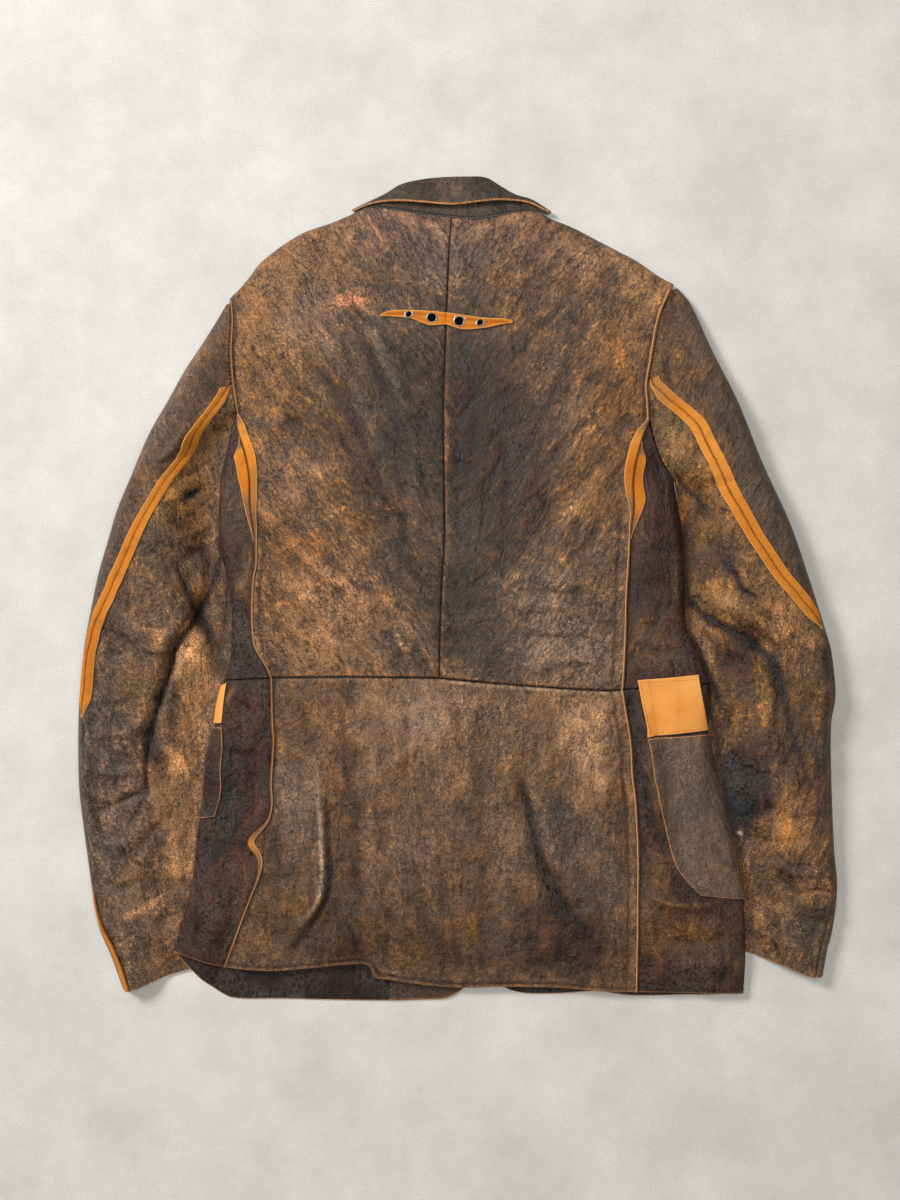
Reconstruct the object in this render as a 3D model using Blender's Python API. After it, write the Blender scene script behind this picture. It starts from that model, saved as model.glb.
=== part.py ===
"""A worn leather jacket laid on its front, back upwards, as a set of thin leather walls.

Plan sizes are millimetres: +X to the wearer's right, +Y to the neck, +Z up from the floor.
Every panel is a wall whose outer surface follows one height rule for its layer, so that
neighbours meet at their seams with a small gap.
"""
import math

import bmesh
import bpy
import numpy as np

# The outlines' middle, which goes to the origin, and the leather
MM = 0.001
MIDDLE = np.array([-1.158, 0.331, 0.0])
LEATHER = 1.3
SUEDE = 1.2
GAP = 0.3
SEAM = GAP / 2.0
PATCH_CLEAR = 0.8
TAB_CLEAR = 1.2

# Rise of the back over the fronts
ROLL = 11.0
EDGE = 0.5
EDGE_LEVEL = 0.22
CORNER_LIFT = 3.0
CORNER_REACH = 8.0
STAND_REACH = 0.985
CROWN = 12.0
CROWN_REACH = 60.0
HEM_SHARE = 0.30
HEM_REACH = 50.0
NECK_SHARE = 0.45
NECK_REACH = 45.0

# Fronts are carried over the inner edges of the sleeves
TUCK = 12.0
PRESSED = 2 * LEATHER + GAP
FRONT_LIFT = PRESSED + 0.5
LIFT_FLAT = 34.0
LIFT_RAMP = 20.0
LIFT_START = 14.0

# Sleeves
SLEEVE_ROLL = 13.0
SLEEVE_FOLD = 2.5
SLEEVE_EASE = 55.0
SLEEVE_ROWS = 22
SHARE_AT_ARMPIT = 0.24
BELOW_ARMPIT = 23.0 / 560.0
SLEEVE_CROWN_AT = (0.0, 0.06, 0.2, 0.5, 0.8, 1.0)
SLEEVE_CROWN = (7.0, 17.0, 24.0, 25.0, 20.0, 15.0)
ALLOWANCE = 8.0
RAW_EDGE = 2.4

# Rows of the body panels
SIDE_ROWS = 12
RIGHT_SIDE_ROWS = 13
LOWER_ARMHOLE_ROWS = 3
SKIRT_ROWS = 14
SHOULDER_COLUMNS = 6
NECK_COLUMNS = 5
ARMHOLE_SHARE = 0.38

# Outlines of the body, from the neck down
NECK_LEFT = [(-104, 361), (-84, 367), (-60, 364), (-34, 360), (-7, 357)]
NECK_RIGHT = [(-7, 357), (20, 356), (40, 359), (67, 364), (89, 357)]
SHOULDER_LEFT = [(-104, 361), (-123, 353), (-153, 342), (-190, 316), (-204, 298), (-220, 280)]
SHOULDER_RIGHT = [(89, 357), (111, 348), (132, 337), (155, 325), (172, 316), (189, 304), (207, 293)]
ARMHOLE_LEFT = [(-220, 280), (-218, 253), (-219, 228), (-218, 203), (-216, 185), (-213, 167)]
ARMHOLE_RIGHT = [(207, 293), (192, 259), (183, 213), (180, 195), (181, 177), (182, 161)]
ARMHOLE_RIGHT_LOW = [(182, 161), (187, 141), (194, 123), (207, 103)]
CENTRE_SEAM = [(-7, 357), (-9, 330), (-12, 262), (-14, 206), (-15, 163), (-14, 47), (-17, -5), (-19, -85)]
SIDE_SEAM_LEFT = [(-213, 167), (-211, 151), (-204, 129), (-200, 108), (-199, 77), (-196, 55),
                  (-195, 25), (-198, 6), (-199, -20), (-198, -47), (-195, -58), (-185, -75), (-181, -85)]
SIDE_SEAM_RIGHT = [(182, 161), (174, 141), (168, 117), (166, 99), (167, 79), (165, 61), (163, 28),
                   (161, -4), (160, -44), (158, -84), (157, -96)]
WAIST_LEFT = [(-181, -85), (-105, -84), (-19, -85)]
WAIST_RIGHT = [(-19, -85), (1, -87), (74, -93), (142, -97), (157, -96)]
FOLD_LEFT = [(-213, 167), (-224, 133), (-230, 100), (-231, 47), (-224, 12), (-219, -21), (-219, -49),
             (-221, -72), (-226, -87)]
FOLD_LEFT_LOW = [(-226, -87), (-232, -110), (-236, -137), (-242, -160), (-246, -205), (-252, -232),
                 (-255, -268), (-263, -308), (-275, -348)]
FOLD_RIGHT = [(207, 103), (216, 47), (219, -36), (225, -49), (235, -73), (242, -90)]
FOLD_RIGHT_LOW = [(242, -90), (243, -102), (240, -136), (245, -167), (254, -210), (268, -264),
                  (274, -296), (276, -349), (274, -389)]
SKIRT_SEAM_LEFT = [(-181, -85), (-180, -127), (-179, -147), (-181, -186), (-180, -205), (-184, -220),
                   (-200, -236), (-202, -244), (-193, -258), (-194, -276), (-202, -297), (-227, -363)]
SKIRT_SEAM_RIGHT = [(157, -96), (160, -115), (165, -147), (167, -182), (169, -195), (172, -248),
                    (172, -310), (172, -387)]
HEM = [(-227, -363), (-204, -366), (-180, -367), (-151, -365), (-111, -361), (-88, -361), (-80, -373),
       (-68, -375), (-34, -380), (6, -383), (39, -382), (98, -383), (144, -387), (172, -387)]
SIDE_HEM_LEFT = [(-274.3, -348.2), (-258, -354), (-243, -359), (-227, -363)]
SIDE_HEM_RIGHT = [(172, -387), (210, -389), (274, -389)]

# Fronts, underneath: neck edge and front edge, then the rounded hems that show below the back
FRONT_EDGE_LEFT = [(-104, 361), (-80, 300), (-40, 160), (8, 30), (19, -20), (20, -60), (20, -200),
                   (19, -310), (16, -360), (8, -383)]
FRONT_EDGE_RIGHT = [(89, 357), (70, 300), (45, 160), (29, 30), (24, -20), (23, -60), (23, -200),
                    (24, -310), (29, -360), (39, -382)]
FRONT_HEM_LEFT = [(-275, -348), (-260, -364), (-247, -377), (-233, -387), (-223, -393), (-210, -395),
                  (-172, -395), (-132, -396), (-68, -397), (-34, -396), (-13, -395), (-2, -390), (8, -383)]
FRONT_HEM_RIGHT = [(274, -389), (230, -391), (163, -392), (135, -388), (98, -390), (65, -390), (50, -387),
                   (39, -382)]
FACING_START = (-68, -396)
FACING_INNER = [(-68, -352), (-30, -352), (4, -352)]

# Sleeves: outer edge, cuff corner hidden under the body, and hind seam
SLEEVE_LEFT = [(-220, 280), (-246, 237), (-263, 211), (-280, 180), (-298, 148), (-315, 108), (-328, 77),
               (-337, 47), (-346, 16), (-352, -12), (-359, -49), (-362, -73), (-365, -108), (-366, -152),
               (-365, -193), (-361, -228), (-355, -273), (-353, -288), (-346, -326), (-335, -352),
               (-328, -371), (-323, -385)]
SLEEVE_RIGHT = [(207, 293), (222, 276), (244, 229), (268, 181), (292, 121), (318, 64), (336, 12),
                (353, -42), (358, -60), (362, -102), (358, -128), (358, -176), (361, -251), (364, -284),
                (362, -311), (358, -335), (355, -345), (350, -373)]
CUFF_CORNER_LEFT = (-258, -366)
CUFF_CORNER_RIGHT = (264, -345)
CUFF_LEFT = [(-258, -366), (-279, -372), (-300, -380), (-315, -385), (-323, -385)]
CUFF_RIGHT = [(264, -345), (295, -356), (315, -363), (335, -371), (350, -373)]
HIND_SEAM_LEFT = [(-218, 196), (-239, 166), (-252, 149), (-263, 126), (-276, 108), (-290, 85), (-301, 66),
                  (-312, 42), (-321, 21), (-335, -11), (-345, -32), (-352, -59), (-355, -87), (-359, -120)]
HIND_SEAM_RIGHT = [(183, 196), (200, 181), (226, 158), (236, 139), (250, 112), (262, 86), (280, 53),
                   (294, 31), (307, 12), (324, -8), (341, -30), (352, -54), (356, -100)]
SEAM_INSIDE = 5.0
ARMHOLE_GAP = 0.7
CUFF_SEAM_INSIDE = 9.0

# Collar: neck seam, raw edge of the fall, folded outline
COLLAR_NECK = [(-100, 361.3), (-84, 366.5), (-60, 364), (-34, 360), (-7, 357), (20, 356), (40, 359),
               (67, 363.5), (85, 359.5)]
COLLAR_RAW = [(-101.5, 363), (-84, 369.5), (-60, 371), (-34, 369), (-7, 367), (20, 370), (40, 372),
              (66, 370.5), (87, 361.5)]
COLLAR_FOLD = [(-103, 365), (-84, 374), (-70, 381), (-57, 389), (-43, 393), (-21, 396), (7, 397),
               (26, 396), (40, 388), (54, 380), (70, 375), (89, 363)]
COLLAR_ROWS = 20
COLLAR_LOW = 3.2
FALL_CLEAR = 1.4
FALL_RISE = 4.5

# Pockets and their suede tabs
POCKET_RIGHT = [(180.5, -142.5), (186, -176), (191, -204), (201, -247), (207, -265), (218, -280), (231, -292)]
POCKET_RIGHT_SPAN = (-139, -297)
TAB_RIGHT = [(170, -87), (180, -141)]
TAB_RIGHT_FOLD = [(228, -82), (237, -135)]
POCKET_LEFT = [(-226, -132), (-225, -148), (-227, -170), (-227, -195), (-233, -217)]
POCKET_LEFT_SPAN = (-133, -220)
TAB_LEFT = [(-221.5, -90), (-223, -100), (-226, -128)]
TAB_LEFT_SPAN = (-93, -129)

# Suede welt across the centre seam, with its metal eyelets: x, y, rim and hole radius
WELT_TOP_LEFT = [(-75, 261.5), (-64, 265), (-33, 265), (-12.3, 263)]
WELT_LOW_LEFT = [(-75, 259.5), (-61, 259), (-45, 257), (-29, 251), (-12.3, 251.5)]
WELT_TOP_RIGHT = [(-11.7, 263), (9, 260), (25, 258), (45, 257), (51, 255)]
WELT_LOW_RIGHT = [(-11.7, 251.5), (3, 247), (25, 248.5), (42, 252), (51, 253)]
EYELETS = [(-48, 261.2, 3.4, 2.3), (-26, 258, 5.2, 3.8), (0, 254.6, 5.4, 3.9), (20, 253.4, 3.7, 2.5)]
EYELET_SIDES = 16
CUTTER_DEPTH = 12.0
RIM_RISE = 1.1
BARREL_WALL = 0.5

# Large folds: path, half width, height (troughs are negative)
BODY_FOLDS = [
    ([(-134, -185), (-131, -240), (-132, -290), (-150, -320), (-172, -352)], 15, 3.6),
    ([(-131, -300), (-105, -330), (-84, -358)], 13, 3.2),
    ([(-112, -200), (-108, -260), (-100, -310)], 16, -2.6),
    ([(58, -180), (70, -226), (82, -268), (98, -300), (126, -330)], 16, -3.0),
    ([(-21, -150), (-19, -240), (-18, -360)], 18, 1.8),
    ([(20, -130), (24, -260), (22, -360)], 16, -1.8),
    ([(-152, 153), (-90, 60), (-30, -10)], 22, -2.2),
    ([(-165, 60), (-110, 0), (-60, -40)], 18, 1.8),
    ([(140, 150), (80, 70), (20, 10)], 22, -2.0),
    ([(66, -72), (110, -66), (140, -72)], 12, 2.2),
    ([(40, -20), (90, -18), (135, -24)], 12, 1.8),
    ([(-216, -95), (-222, -118)], 10, 1.8),
    ([(-224, -215), (-236, -240), (-246, -262)], 9, -3.0),
    ([(160, -104), (168, -150), (178, -215)], 12, -2.0),
]
SLEEVE_LEFT_FOLDS = [
    ([(-232, 47), (-229, 32), (-237, 5), (-259, -38), (-270, -54), (-287, -112), (-296, -150),
      (-298, -185)], 13, -5.0),
    ([(-273, 30), (-262, 2), (-252, -22)], 12, -3.0),
    ([(-309, -40), (-285, -36), (-272, -36)], 9, 2.4),
    ([(-310, -160), (-325, -190), (-346, -210)], 11, -2.8),
    ([(-298, -190), (-310, -215), (-317, -227)], 10, -2.4),
    ([(-253, 99), (-259, 92), (-267, 84)], 9, 2.4),
    ([(-352, -110), (-354, -180), (-350, -250)], 8, 2.2),
]
SLEEVE_RIGHT_FOLDS = [
    ([(221, -8), (245, -29), (266, -38), (284, -51), (300, -70), (308, -95), (315, -125), (326, -165),
      (332, -190)], 13, -4.6),
    ([(201, 122), (230, 86), (243, 66)], 12, -3.0),
    ([(252, 26), (262, 16), (272, 0), (284, -6)], 10, 2.6),
    ([(277, -243), (282, -313), (290, -340)], 11, 2.2),
    ([(318, -300), (345, -304), (360, -306)], 9, 2.4),
    ([(240, -30), (262, -80), (270, -130)], 16, 2.4),
]


def quarter(distance, radius):
    """Height share of a quarter round that starts upright at distance 0."""
    inside = 1.0 - np.clip(distance, 0.0, radius) / radius
    return np.sqrt(np.clip(1.0 - inside ** 2, 0.0, 1.0))


def smooth(value):
    """Ease from 0 to 1."""
    value = np.clip(value, 0.0, 1.0)
    return value * value * (3.0 - 2.0 * value)


def dense_curve(points, steps=14):
    """Smooth curve through the points, as a dense polyline."""
    pts = np.array(points, dtype=float)
    if len(pts) == 2:
        return pts
    ends = np.vstack([2 * pts[0] - pts[1], pts, 2 * pts[-1] - pts[-2]])
    out = []
    for k in range(len(pts) - 1):
        a, b, c, d = ends[k:k + 4]
        span = np.linalg.norm(c - b)
        before = (c - a) * span / (np.linalg.norm(b - a) + span)
        after = (d - b) * span / (np.linalg.norm(d - c) + span)
        for t in np.linspace(0.0, 1.0, steps, endpoint=False):
            h1 = 2 * t ** 3 - 3 * t ** 2 + 1
            h2 = t ** 3 - 2 * t ** 2 + t
            h3 = -2 * t ** 3 + 3 * t ** 2
            h4 = t ** 3 - t ** 2
            out.append(h1 * b + h2 * before + h3 * c + h4 * after)
    out.append(pts[-1])
    return np.array(out)


def sample(points, stations):
    """Points of the smooth curve at these shares of its length."""
    line = dense_curve(points)
    run = np.concatenate([[0.0], np.cumsum(np.linalg.norm(np.diff(line, axis=0), axis=1))])
    wanted = np.asarray(stations) * run[-1]
    return np.column_stack([np.interp(wanted, run, line[:, k]) for k in range(2)])


def even(count):
    """Even stations from 0 to 1."""
    return np.linspace(0.0, 1.0, count + 1)


def joined(*parts):
    """One rail from rails that meet end to start."""
    return np.vstack([parts[0]] + [part[1:] for part in parts[1:]])


def distance_to(plan, line):
    """Distance from each plan point to a polyline, and how far along it the nearest place is."""
    plan = plan.reshape(-1, 1, 2)
    start = line[:-1].reshape(1, -1, 2)
    step = np.diff(line, axis=0).reshape(1, -1, 2)
    size = (step ** 2).sum(axis=2)
    along = np.clip(((plan - start) * step).sum(axis=2) / size, 0.0, 1.0)
    gap = np.linalg.norm(plan - start - along[..., None] * step, axis=2)
    nearest = gap.argmin(axis=1)
    pick = np.arange(len(gap))
    share = (nearest + along[pick, nearest]) / (len(line) - 1)
    return gap[pick, nearest], share


def lines_of(folds):
    """Folds with their paths made smooth."""
    return [(dense_curve(path, 4), width, height) for path, width, height in folds]


ROLL_LINES = [dense_curve(SHOULDER_LEFT), joined(dense_curve(FOLD_LEFT), dense_curve(FOLD_LEFT_LOW)),
              dense_curve(SHOULDER_RIGHT), joined(dense_curve(FOLD_RIGHT), dense_curve(FOLD_RIGHT_LOW))]
SIDE_LINES = (ROLL_LINES[1], ROLL_LINES[3])
HEM_LINE = joined(dense_curve(SIDE_HEM_LEFT), dense_curve(HEM), dense_curve(SIDE_HEM_RIGHT))
NECK_LINE = joined(dense_curve(NECK_LEFT), dense_curve(NECK_RIGHT))
BODY_LINES = lines_of(BODY_FOLDS)


def fold_height(plan, folds):
    """Sum of the soft ridges and troughs at these points."""
    total = np.zeros(len(plan))
    for line, width, height in folds:
        gap, share = distance_to(plan, line)
        total += height * np.exp(-(gap / width) ** 2) * (0.35 + 0.65 * np.sin(math.pi * share))
    return total


def front_lift(plan):
    """How far the fronts are carried off the floor by the sleeves' inner edges."""
    total = np.zeros(len(plan))
    for line, armpit in zip(SIDE_LINES, (FOLD_LEFT[0], FOLD_RIGHT[0])):
        gap, _ = distance_to(plan, line)
        start = smooth((armpit[1] - plan[:, 1]) / LIFT_START)
        total += FRONT_LIFT * start * (1.0 - smooth((gap - LIFT_FLAT) / LIFT_RAMP))
    return total


def back_height(plan):
    """Outer surface of the back layer."""
    side = np.min([distance_to(plan, line)[0] for line in ROLL_LINES], axis=0)
    hem, _ = distance_to(plan, HEM_LINE)
    neck, _ = distance_to(plan, NECK_LINE)
    rise = ROLL * (quarter(side, ROLL) - quarter(EDGE_LEVEL, ROLL))
    rise = rise + CROWN * (1.0 - np.exp(-side / CROWN_REACH))
    ease = HEM_SHARE + (1.0 - HEM_SHARE) * (1.0 - np.exp(-hem / HEM_REACH))
    ease = ease * (NECK_SHARE + (1.0 - NECK_SHARE) * (1.0 - np.exp(-neck / NECK_REACH)))
    folds = fold_height(plan, BODY_LINES) * smooth(side / 14.0)
    corners = np.zeros(len(plan))
    for corner in (ARMHOLE_LEFT[0], ARMHOLE_LEFT[-1], ARMHOLE_RIGHT[0], ARMHOLE_RIGHT_LOW[-1]):
        apart = np.linalg.norm(plan - np.array(corner, dtype=float), axis=1)
        corners += CORNER_LIFT * np.exp(-(apart / CORNER_REACH) ** 2)
    return LEATHER * (2 - ease) + 2 * GAP + front_lift(plan) + rise * ease + folds + corners


def surface(plan, height):
    """Points and outward directions of a height rule over a plan grid."""
    flat = plan.reshape(-1, 2)
    reach = 0.1
    along_x = np.array([reach, 0.0])
    along_y = np.array([0.0, reach])
    slope_x = (height(flat + along_x) - height(flat - along_x)) / (2 * reach)
    slope_y = (height(flat + along_y) - height(flat - along_y)) / (2 * reach)
    out = np.column_stack([-slope_x, -slope_y, np.ones(len(flat))])
    out /= np.linalg.norm(out, axis=1)[:, None]
    points = np.column_stack([flat, height(flat)])
    return points.reshape(plan.shape[:2] + (3,)), out.reshape(plan.shape[:2] + (3,))


def rail_grid(rails, columns, top=None, bottom=None):
    """Plan grid between rails, bent to a top and a bottom edge where they are given."""
    strips = [rails[0][:, None, :]]
    for k, stations in enumerate(columns):
        share = np.asarray(stations)[1:][None, :, None]
        strips.append(rails[k][:, None, :] * (1 - share) + rails[k + 1][:, None, :] * share)
    grid = np.concatenate(strips, axis=1)
    run = sum(np.linalg.norm(np.diff(grid[:, column], axis=0), axis=1) for column in (0, -1))
    down = (np.concatenate([[0.0], np.cumsum(run)]) / run.sum())[:, None, None]
    bend = np.zeros_like(grid)
    if top is not None:
        bend += (1 - down) * (top - grid[0])[None]
    if bottom is not None:
        bend += down * (bottom - grid[-1])[None]
    return grid + bend


def drawn_in(grid, left=SEAM, right=SEAM, top=SEAM, bottom=SEAM):
    """The grid with its four edges moved in by these gaps."""
    grid = grid.copy()

    def toward(a, b, gap):
        way = b - a
        size = np.maximum(np.linalg.norm(way, axis=-1, keepdims=True), 1e-6)
        return a + way * np.minimum(gap / size, 0.4)

    grid[:, 0] = toward(grid[:, 0], grid[:, 1], left)
    grid[:, -1] = toward(grid[:, -1], grid[:, -2], right)
    grid[0] = toward(grid[0], grid[1], top)
    grid[-1] = toward(grid[-1], grid[-2], bottom)
    return grid


def beside(rail, widths):
    """The rail moved sideways; a rail that runs down the garment moves to +X."""
    way = np.gradient(rail, axis=0)
    way /= np.linalg.norm(way, axis=1)[:, None]
    return rail + np.column_stack([-way[:, 1], way[:, 0]]) * np.asarray(widths)[:, None]


def material(name, colour, roughness, metallic=0.0):
    """Plain surface of one kind."""
    if name in bpy.data.materials:
        return bpy.data.materials[name]
    made = bpy.data.materials.new(name)
    made.use_nodes = True
    shader = made.node_tree.nodes["Principled BSDF"]
    shader.inputs["Base Color"].default_value = colour + (1.0,)
    shader.inputs["Roughness"].default_value = roughness
    shader.inputs["Metallic"].default_value = metallic
    return made


def brown_leather():
    return material("brown_leather", (0.085, 0.045, 0.026), 0.5)


def collar_leather():
    return material("collar_leather", (0.06, 0.052, 0.048), 0.5)


def pocket_leather():
    return material("pocket_leather", (0.09, 0.068, 0.055), 0.5)


def raw_suede():
    return material("raw_suede", (0.60, 0.24, 0.055), 0.9)


def eyelet_metal():
    return material("eyelet_metal", (0.5, 0.5, 0.5), 0.3, 1.0)


def add_object(name, verts, faces, surface_material):
    """One closed body from points in millimetres."""
    mesh = bpy.data.meshes.new(name)
    mesh.from_pydata([tuple((point - MIDDLE) * MM) for point in verts], [], faces)
    body = bmesh.new()
    body.from_mesh(mesh)
    bmesh.ops.recalc_face_normals(body, faces=body.faces)
    body.to_mesh(mesh)
    body.free()
    mesh.shade_smooth()
    mesh.set_sharp_from_angle(angle=math.radians(40))
    mesh.materials.append(surface_material)
    made = bpy.data.objects.new(name, mesh)
    bpy.context.scene.collection.objects.link(made)
    return made


def wall(name, points, out, low, high, surface_material):
    """Closed wall between two offsets of a grid of points along its outward directions."""
    rows, cols = points.shape[:2]
    verts = np.vstack([(points + out * high).reshape(-1, 3), (points + out * low).reshape(-1, 3)])
    half = rows * cols
    faces = []
    for i in range(rows - 1):
        for j in range(cols - 1):
            a = i * cols + j
            quad = (a, a + cols, a + cols + 1, a + 1)
            for face in ((quad[0], quad[1], quad[2]), (quad[0], quad[2], quad[3])):
                faces.append(face)
                faces.append(tuple(half + v for v in reversed(face)))
    rim = list(range(cols))
    rim += [i * cols + cols - 1 for i in range(1, rows)]
    rim += [(rows - 1) * cols + j for j in range(cols - 2, -1, -1)]
    rim += [i * cols for i in range(rows - 2, 0, -1)]
    for k, a in enumerate(rim):
        b = rim[(k + 1) % len(rim)]
        faces.append((a, b, b + half, a + half))
    return add_object(name, verts, faces, surface_material)


def panel(name, grid, surface_material, height=back_height):
    """Leather panel whose outer face is the height rule."""
    points, out = surface(grid, height)
    return wall(name, points, out, -LEATHER, 0.0, surface_material)


def strip_on(name, grid, rows, cols, surface_material, height=back_height, clear=GAP, thick=SUEDE):
    """Thin strip on a panel, from the panel's own points."""
    points, out = surface(grid[rows[0]:rows[1] + 1, cols[0]:cols[1] + 1], height)
    return wall(name, points, out, clear, clear + thick, surface_material)


# Stations along the armholes, close together at the shoulder's round edge
STEPS_LEFT = np.array([0.0, 0.02, 0.06, 0.14, 0.28, 0.44, 0.6, 0.75, 1.0])
STEPS_RIGHT = np.array([0.0, 0.02, 0.06, 0.14, 0.30, 0.50, 0.72, 1.0])
HIND_ROW_LEFT = 7
HIND_ROW_RIGHT = 6
ARM_LEFT = sample(ARMHOLE_LEFT, STEPS_LEFT)
ARM_RIGHT = sample(ARMHOLE_RIGHT, STEPS_RIGHT)
ARM_RIGHT_LOW = sample(ARMHOLE_RIGHT_LOW, even(LOWER_ARMHOLE_ROWS))
SIDE_LEFT = sample(SIDE_SEAM_LEFT, even(SIDE_ROWS))
SIDE_RIGHT = sample(SIDE_SEAM_RIGHT, even(RIGHT_SIDE_ROWS))
EDGE_LEFT = sample(FOLD_LEFT, even(SIDE_ROWS))
EDGE_LEFT_LOW = sample(FOLD_LEFT_LOW, even(SKIRT_ROWS))
EDGE_RIGHT = sample(FOLD_RIGHT, even(RIGHT_SIDE_ROWS - LOWER_ARMHOLE_ROWS))
EDGE_RIGHT_LOW = sample(FOLD_RIGHT_LOW, even(SKIRT_ROWS))
BACK_COLUMNS = SHOULDER_COLUMNS + NECK_COLUMNS
INSIDE_LEFT = beside(joined(EDGE_LEFT, EDGE_LEFT_LOW), np.full(SIDE_ROWS + SKIRT_ROWS + 1, EDGE))
INSIDE_RIGHT = beside(joined(ARM_RIGHT_LOW, EDGE_RIGHT, EDGE_RIGHT_LOW),
                      np.full(RIGHT_SIDE_ROWS + SKIRT_ROWS + 1, -EDGE))
LEFT_SHARE = RAW_EDGE / 162
WAIST_L = sample(WAIST_LEFT, np.concatenate([[0.0], LEFT_SHARE + (1 - LEFT_SHARE) * even(BACK_COLUMNS)]))
WAIST_R = sample(WAIST_RIGHT, np.concatenate([(1 - RAW_EDGE / 177) * even(BACK_COLUMNS), [1.0]]))
FOLD_COLUMNS = even(6) ** 2


def in_line(row):
    """The row's points put on the straight line between its ends."""
    share = np.linalg.norm(row - row[0], axis=1) / np.linalg.norm(row[-1] - row[0])
    return row[0] + (row[-1] - row[0]) * share[:, None]


def lens_widths(stations, at, widths):
    """Width of an opened seam allowance along its seam."""
    return np.interp(stations, at, widths)


def back_panels():
    """Left and right back, joined by the centre seam, with their outward allowances."""
    seam = joined(ARM_LEFT, SIDE_LEFT)
    run = np.concatenate([np.full(len(ARM_LEFT) - 1, -1.0), even(SIDE_ROWS)])
    width = np.where(run < 0, RAW_EDGE, lens_widths(run, (0, 0.05, 0.17, 0.25, 0.33, 0.42, 0.5, 1),
                                                    (RAW_EDGE, 8, 9.5, 7.5, 7, 4, RAW_EDGE, RAW_EDGE)))
    centre = sample(CENTRE_SEAM, np.concatenate([ARMHOLE_SHARE * STEPS_LEFT[:-1],
                                                 ARMHOLE_SHARE + (1 - ARMHOLE_SHARE) * even(SIDE_ROWS)]))
    shoulder = sample(SHOULDER_LEFT[::-1], np.concatenate([[0.0], 0.02 + 0.98 * even(SHOULDER_COLUMNS)]))
    top = joined(shoulder, sample(NECK_LEFT, even(NECK_COLUMNS)))
    grid = rail_grid([seam, beside(seam, width), centre], [even(1), even(BACK_COLUMNS)], top, WAIST_L)
    left = drawn_in(grid, top=EDGE)
    panel("back_left", left, brown_leather())
    strip_on("allowance_left_back", left, (2, len(seam) - 1), (0, 1), raw_suede())

    seam = joined(ARM_RIGHT, SIDE_RIGHT)
    run = np.concatenate([np.full(len(ARM_RIGHT) - 1, -1.0), even(RIGHT_SIDE_ROWS)])
    width = np.where(run < 0, RAW_EDGE, lens_widths(run, (0, 0.05, 0.1, 0.2, 0.28, 0.36, 0.45, 1),
                                                    (RAW_EDGE, 7, 9.5, 9.5, 7, 3, RAW_EDGE, RAW_EDGE)))
    below_armpit = ARMHOLE_SHARE + (1 - ARMHOLE_SHARE) * even(RIGHT_SIDE_ROWS)
    centre = sample(CENTRE_SEAM, np.concatenate([ARMHOLE_SHARE * STEPS_RIGHT[:-1], below_armpit]))
    shoulder = sample(SHOULDER_RIGHT, np.concatenate([0.98 * even(SHOULDER_COLUMNS), [1.0]]))
    top = joined(sample(NECK_RIGHT, even(NECK_COLUMNS)), shoulder)
    grid = rail_grid([centre, beside(seam, -width), seam], [even(BACK_COLUMNS), even(1)], top, WAIST_R)
    right = drawn_in(grid, top=EDGE)
    panel("back_right", right, brown_leather())
    strip_on("allowance_right_back", right, (2, len(seam) - 1), (BACK_COLUMNS, BACK_COLUMNS + 1), raw_suede())


def side_panels():
    """Upper side panels between the side seams and the folds, with the inner leaves of the lenses."""
    width = lens_widths(even(SIDE_ROWS), (0, 0.11, 0.24, 0.33, 0.42, 1), (3, 11.5, 11, 6, 3, 3))
    width = np.minimum(width, 0.55 * np.linalg.norm(SIDE_LEFT - EDGE_LEFT, axis=1))
    edge = INSIDE_LEFT[:SIDE_ROWS + 1]
    grid = rail_grid([edge, beside(SIDE_LEFT, -width), SIDE_LEFT], [FOLD_COLUMNS, even(1)])
    grid[0] = np.linspace((-218.4, 150.0), (-211.4, 150.0), grid.shape[1])
    grid[-1] = in_line(grid[-1])
    left = drawn_in(grid, left=0.0, bottom=GAP)
    panel("side_left_upper", left, brown_leather())
    strip_on("allowance_left_side", left, (1, 5), (6, 7), raw_suede())

    outer = INSIDE_RIGHT[:RIGHT_SIDE_ROWS + 1]
    width = lens_widths(even(RIGHT_SIDE_ROWS), (0, 0.09, 0.15, 0.22, 0.3, 0.38, 0.45, 1),
                        (1, 9, 9, 9, 11, 5, 3, 3))
    width = np.minimum(width, 0.55 * np.linalg.norm(SIDE_RIGHT - outer, axis=1))
    grid = rail_grid([SIDE_RIGHT, beside(SIDE_RIGHT, width), outer], [even(1), 1 - FOLD_COLUMNS[::-1]])
    grid[0] = np.linspace((176.6, 147.0), (184.4, 146.4), grid.shape[1])
    grid[-1] = in_line(grid[-1])
    right = drawn_in(grid, right=0.0, bottom=GAP)
    panel("side_right_upper", right, brown_leather())
    strip_on("allowance_right_side", right, (1, 5), (0, 1), raw_suede())


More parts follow.
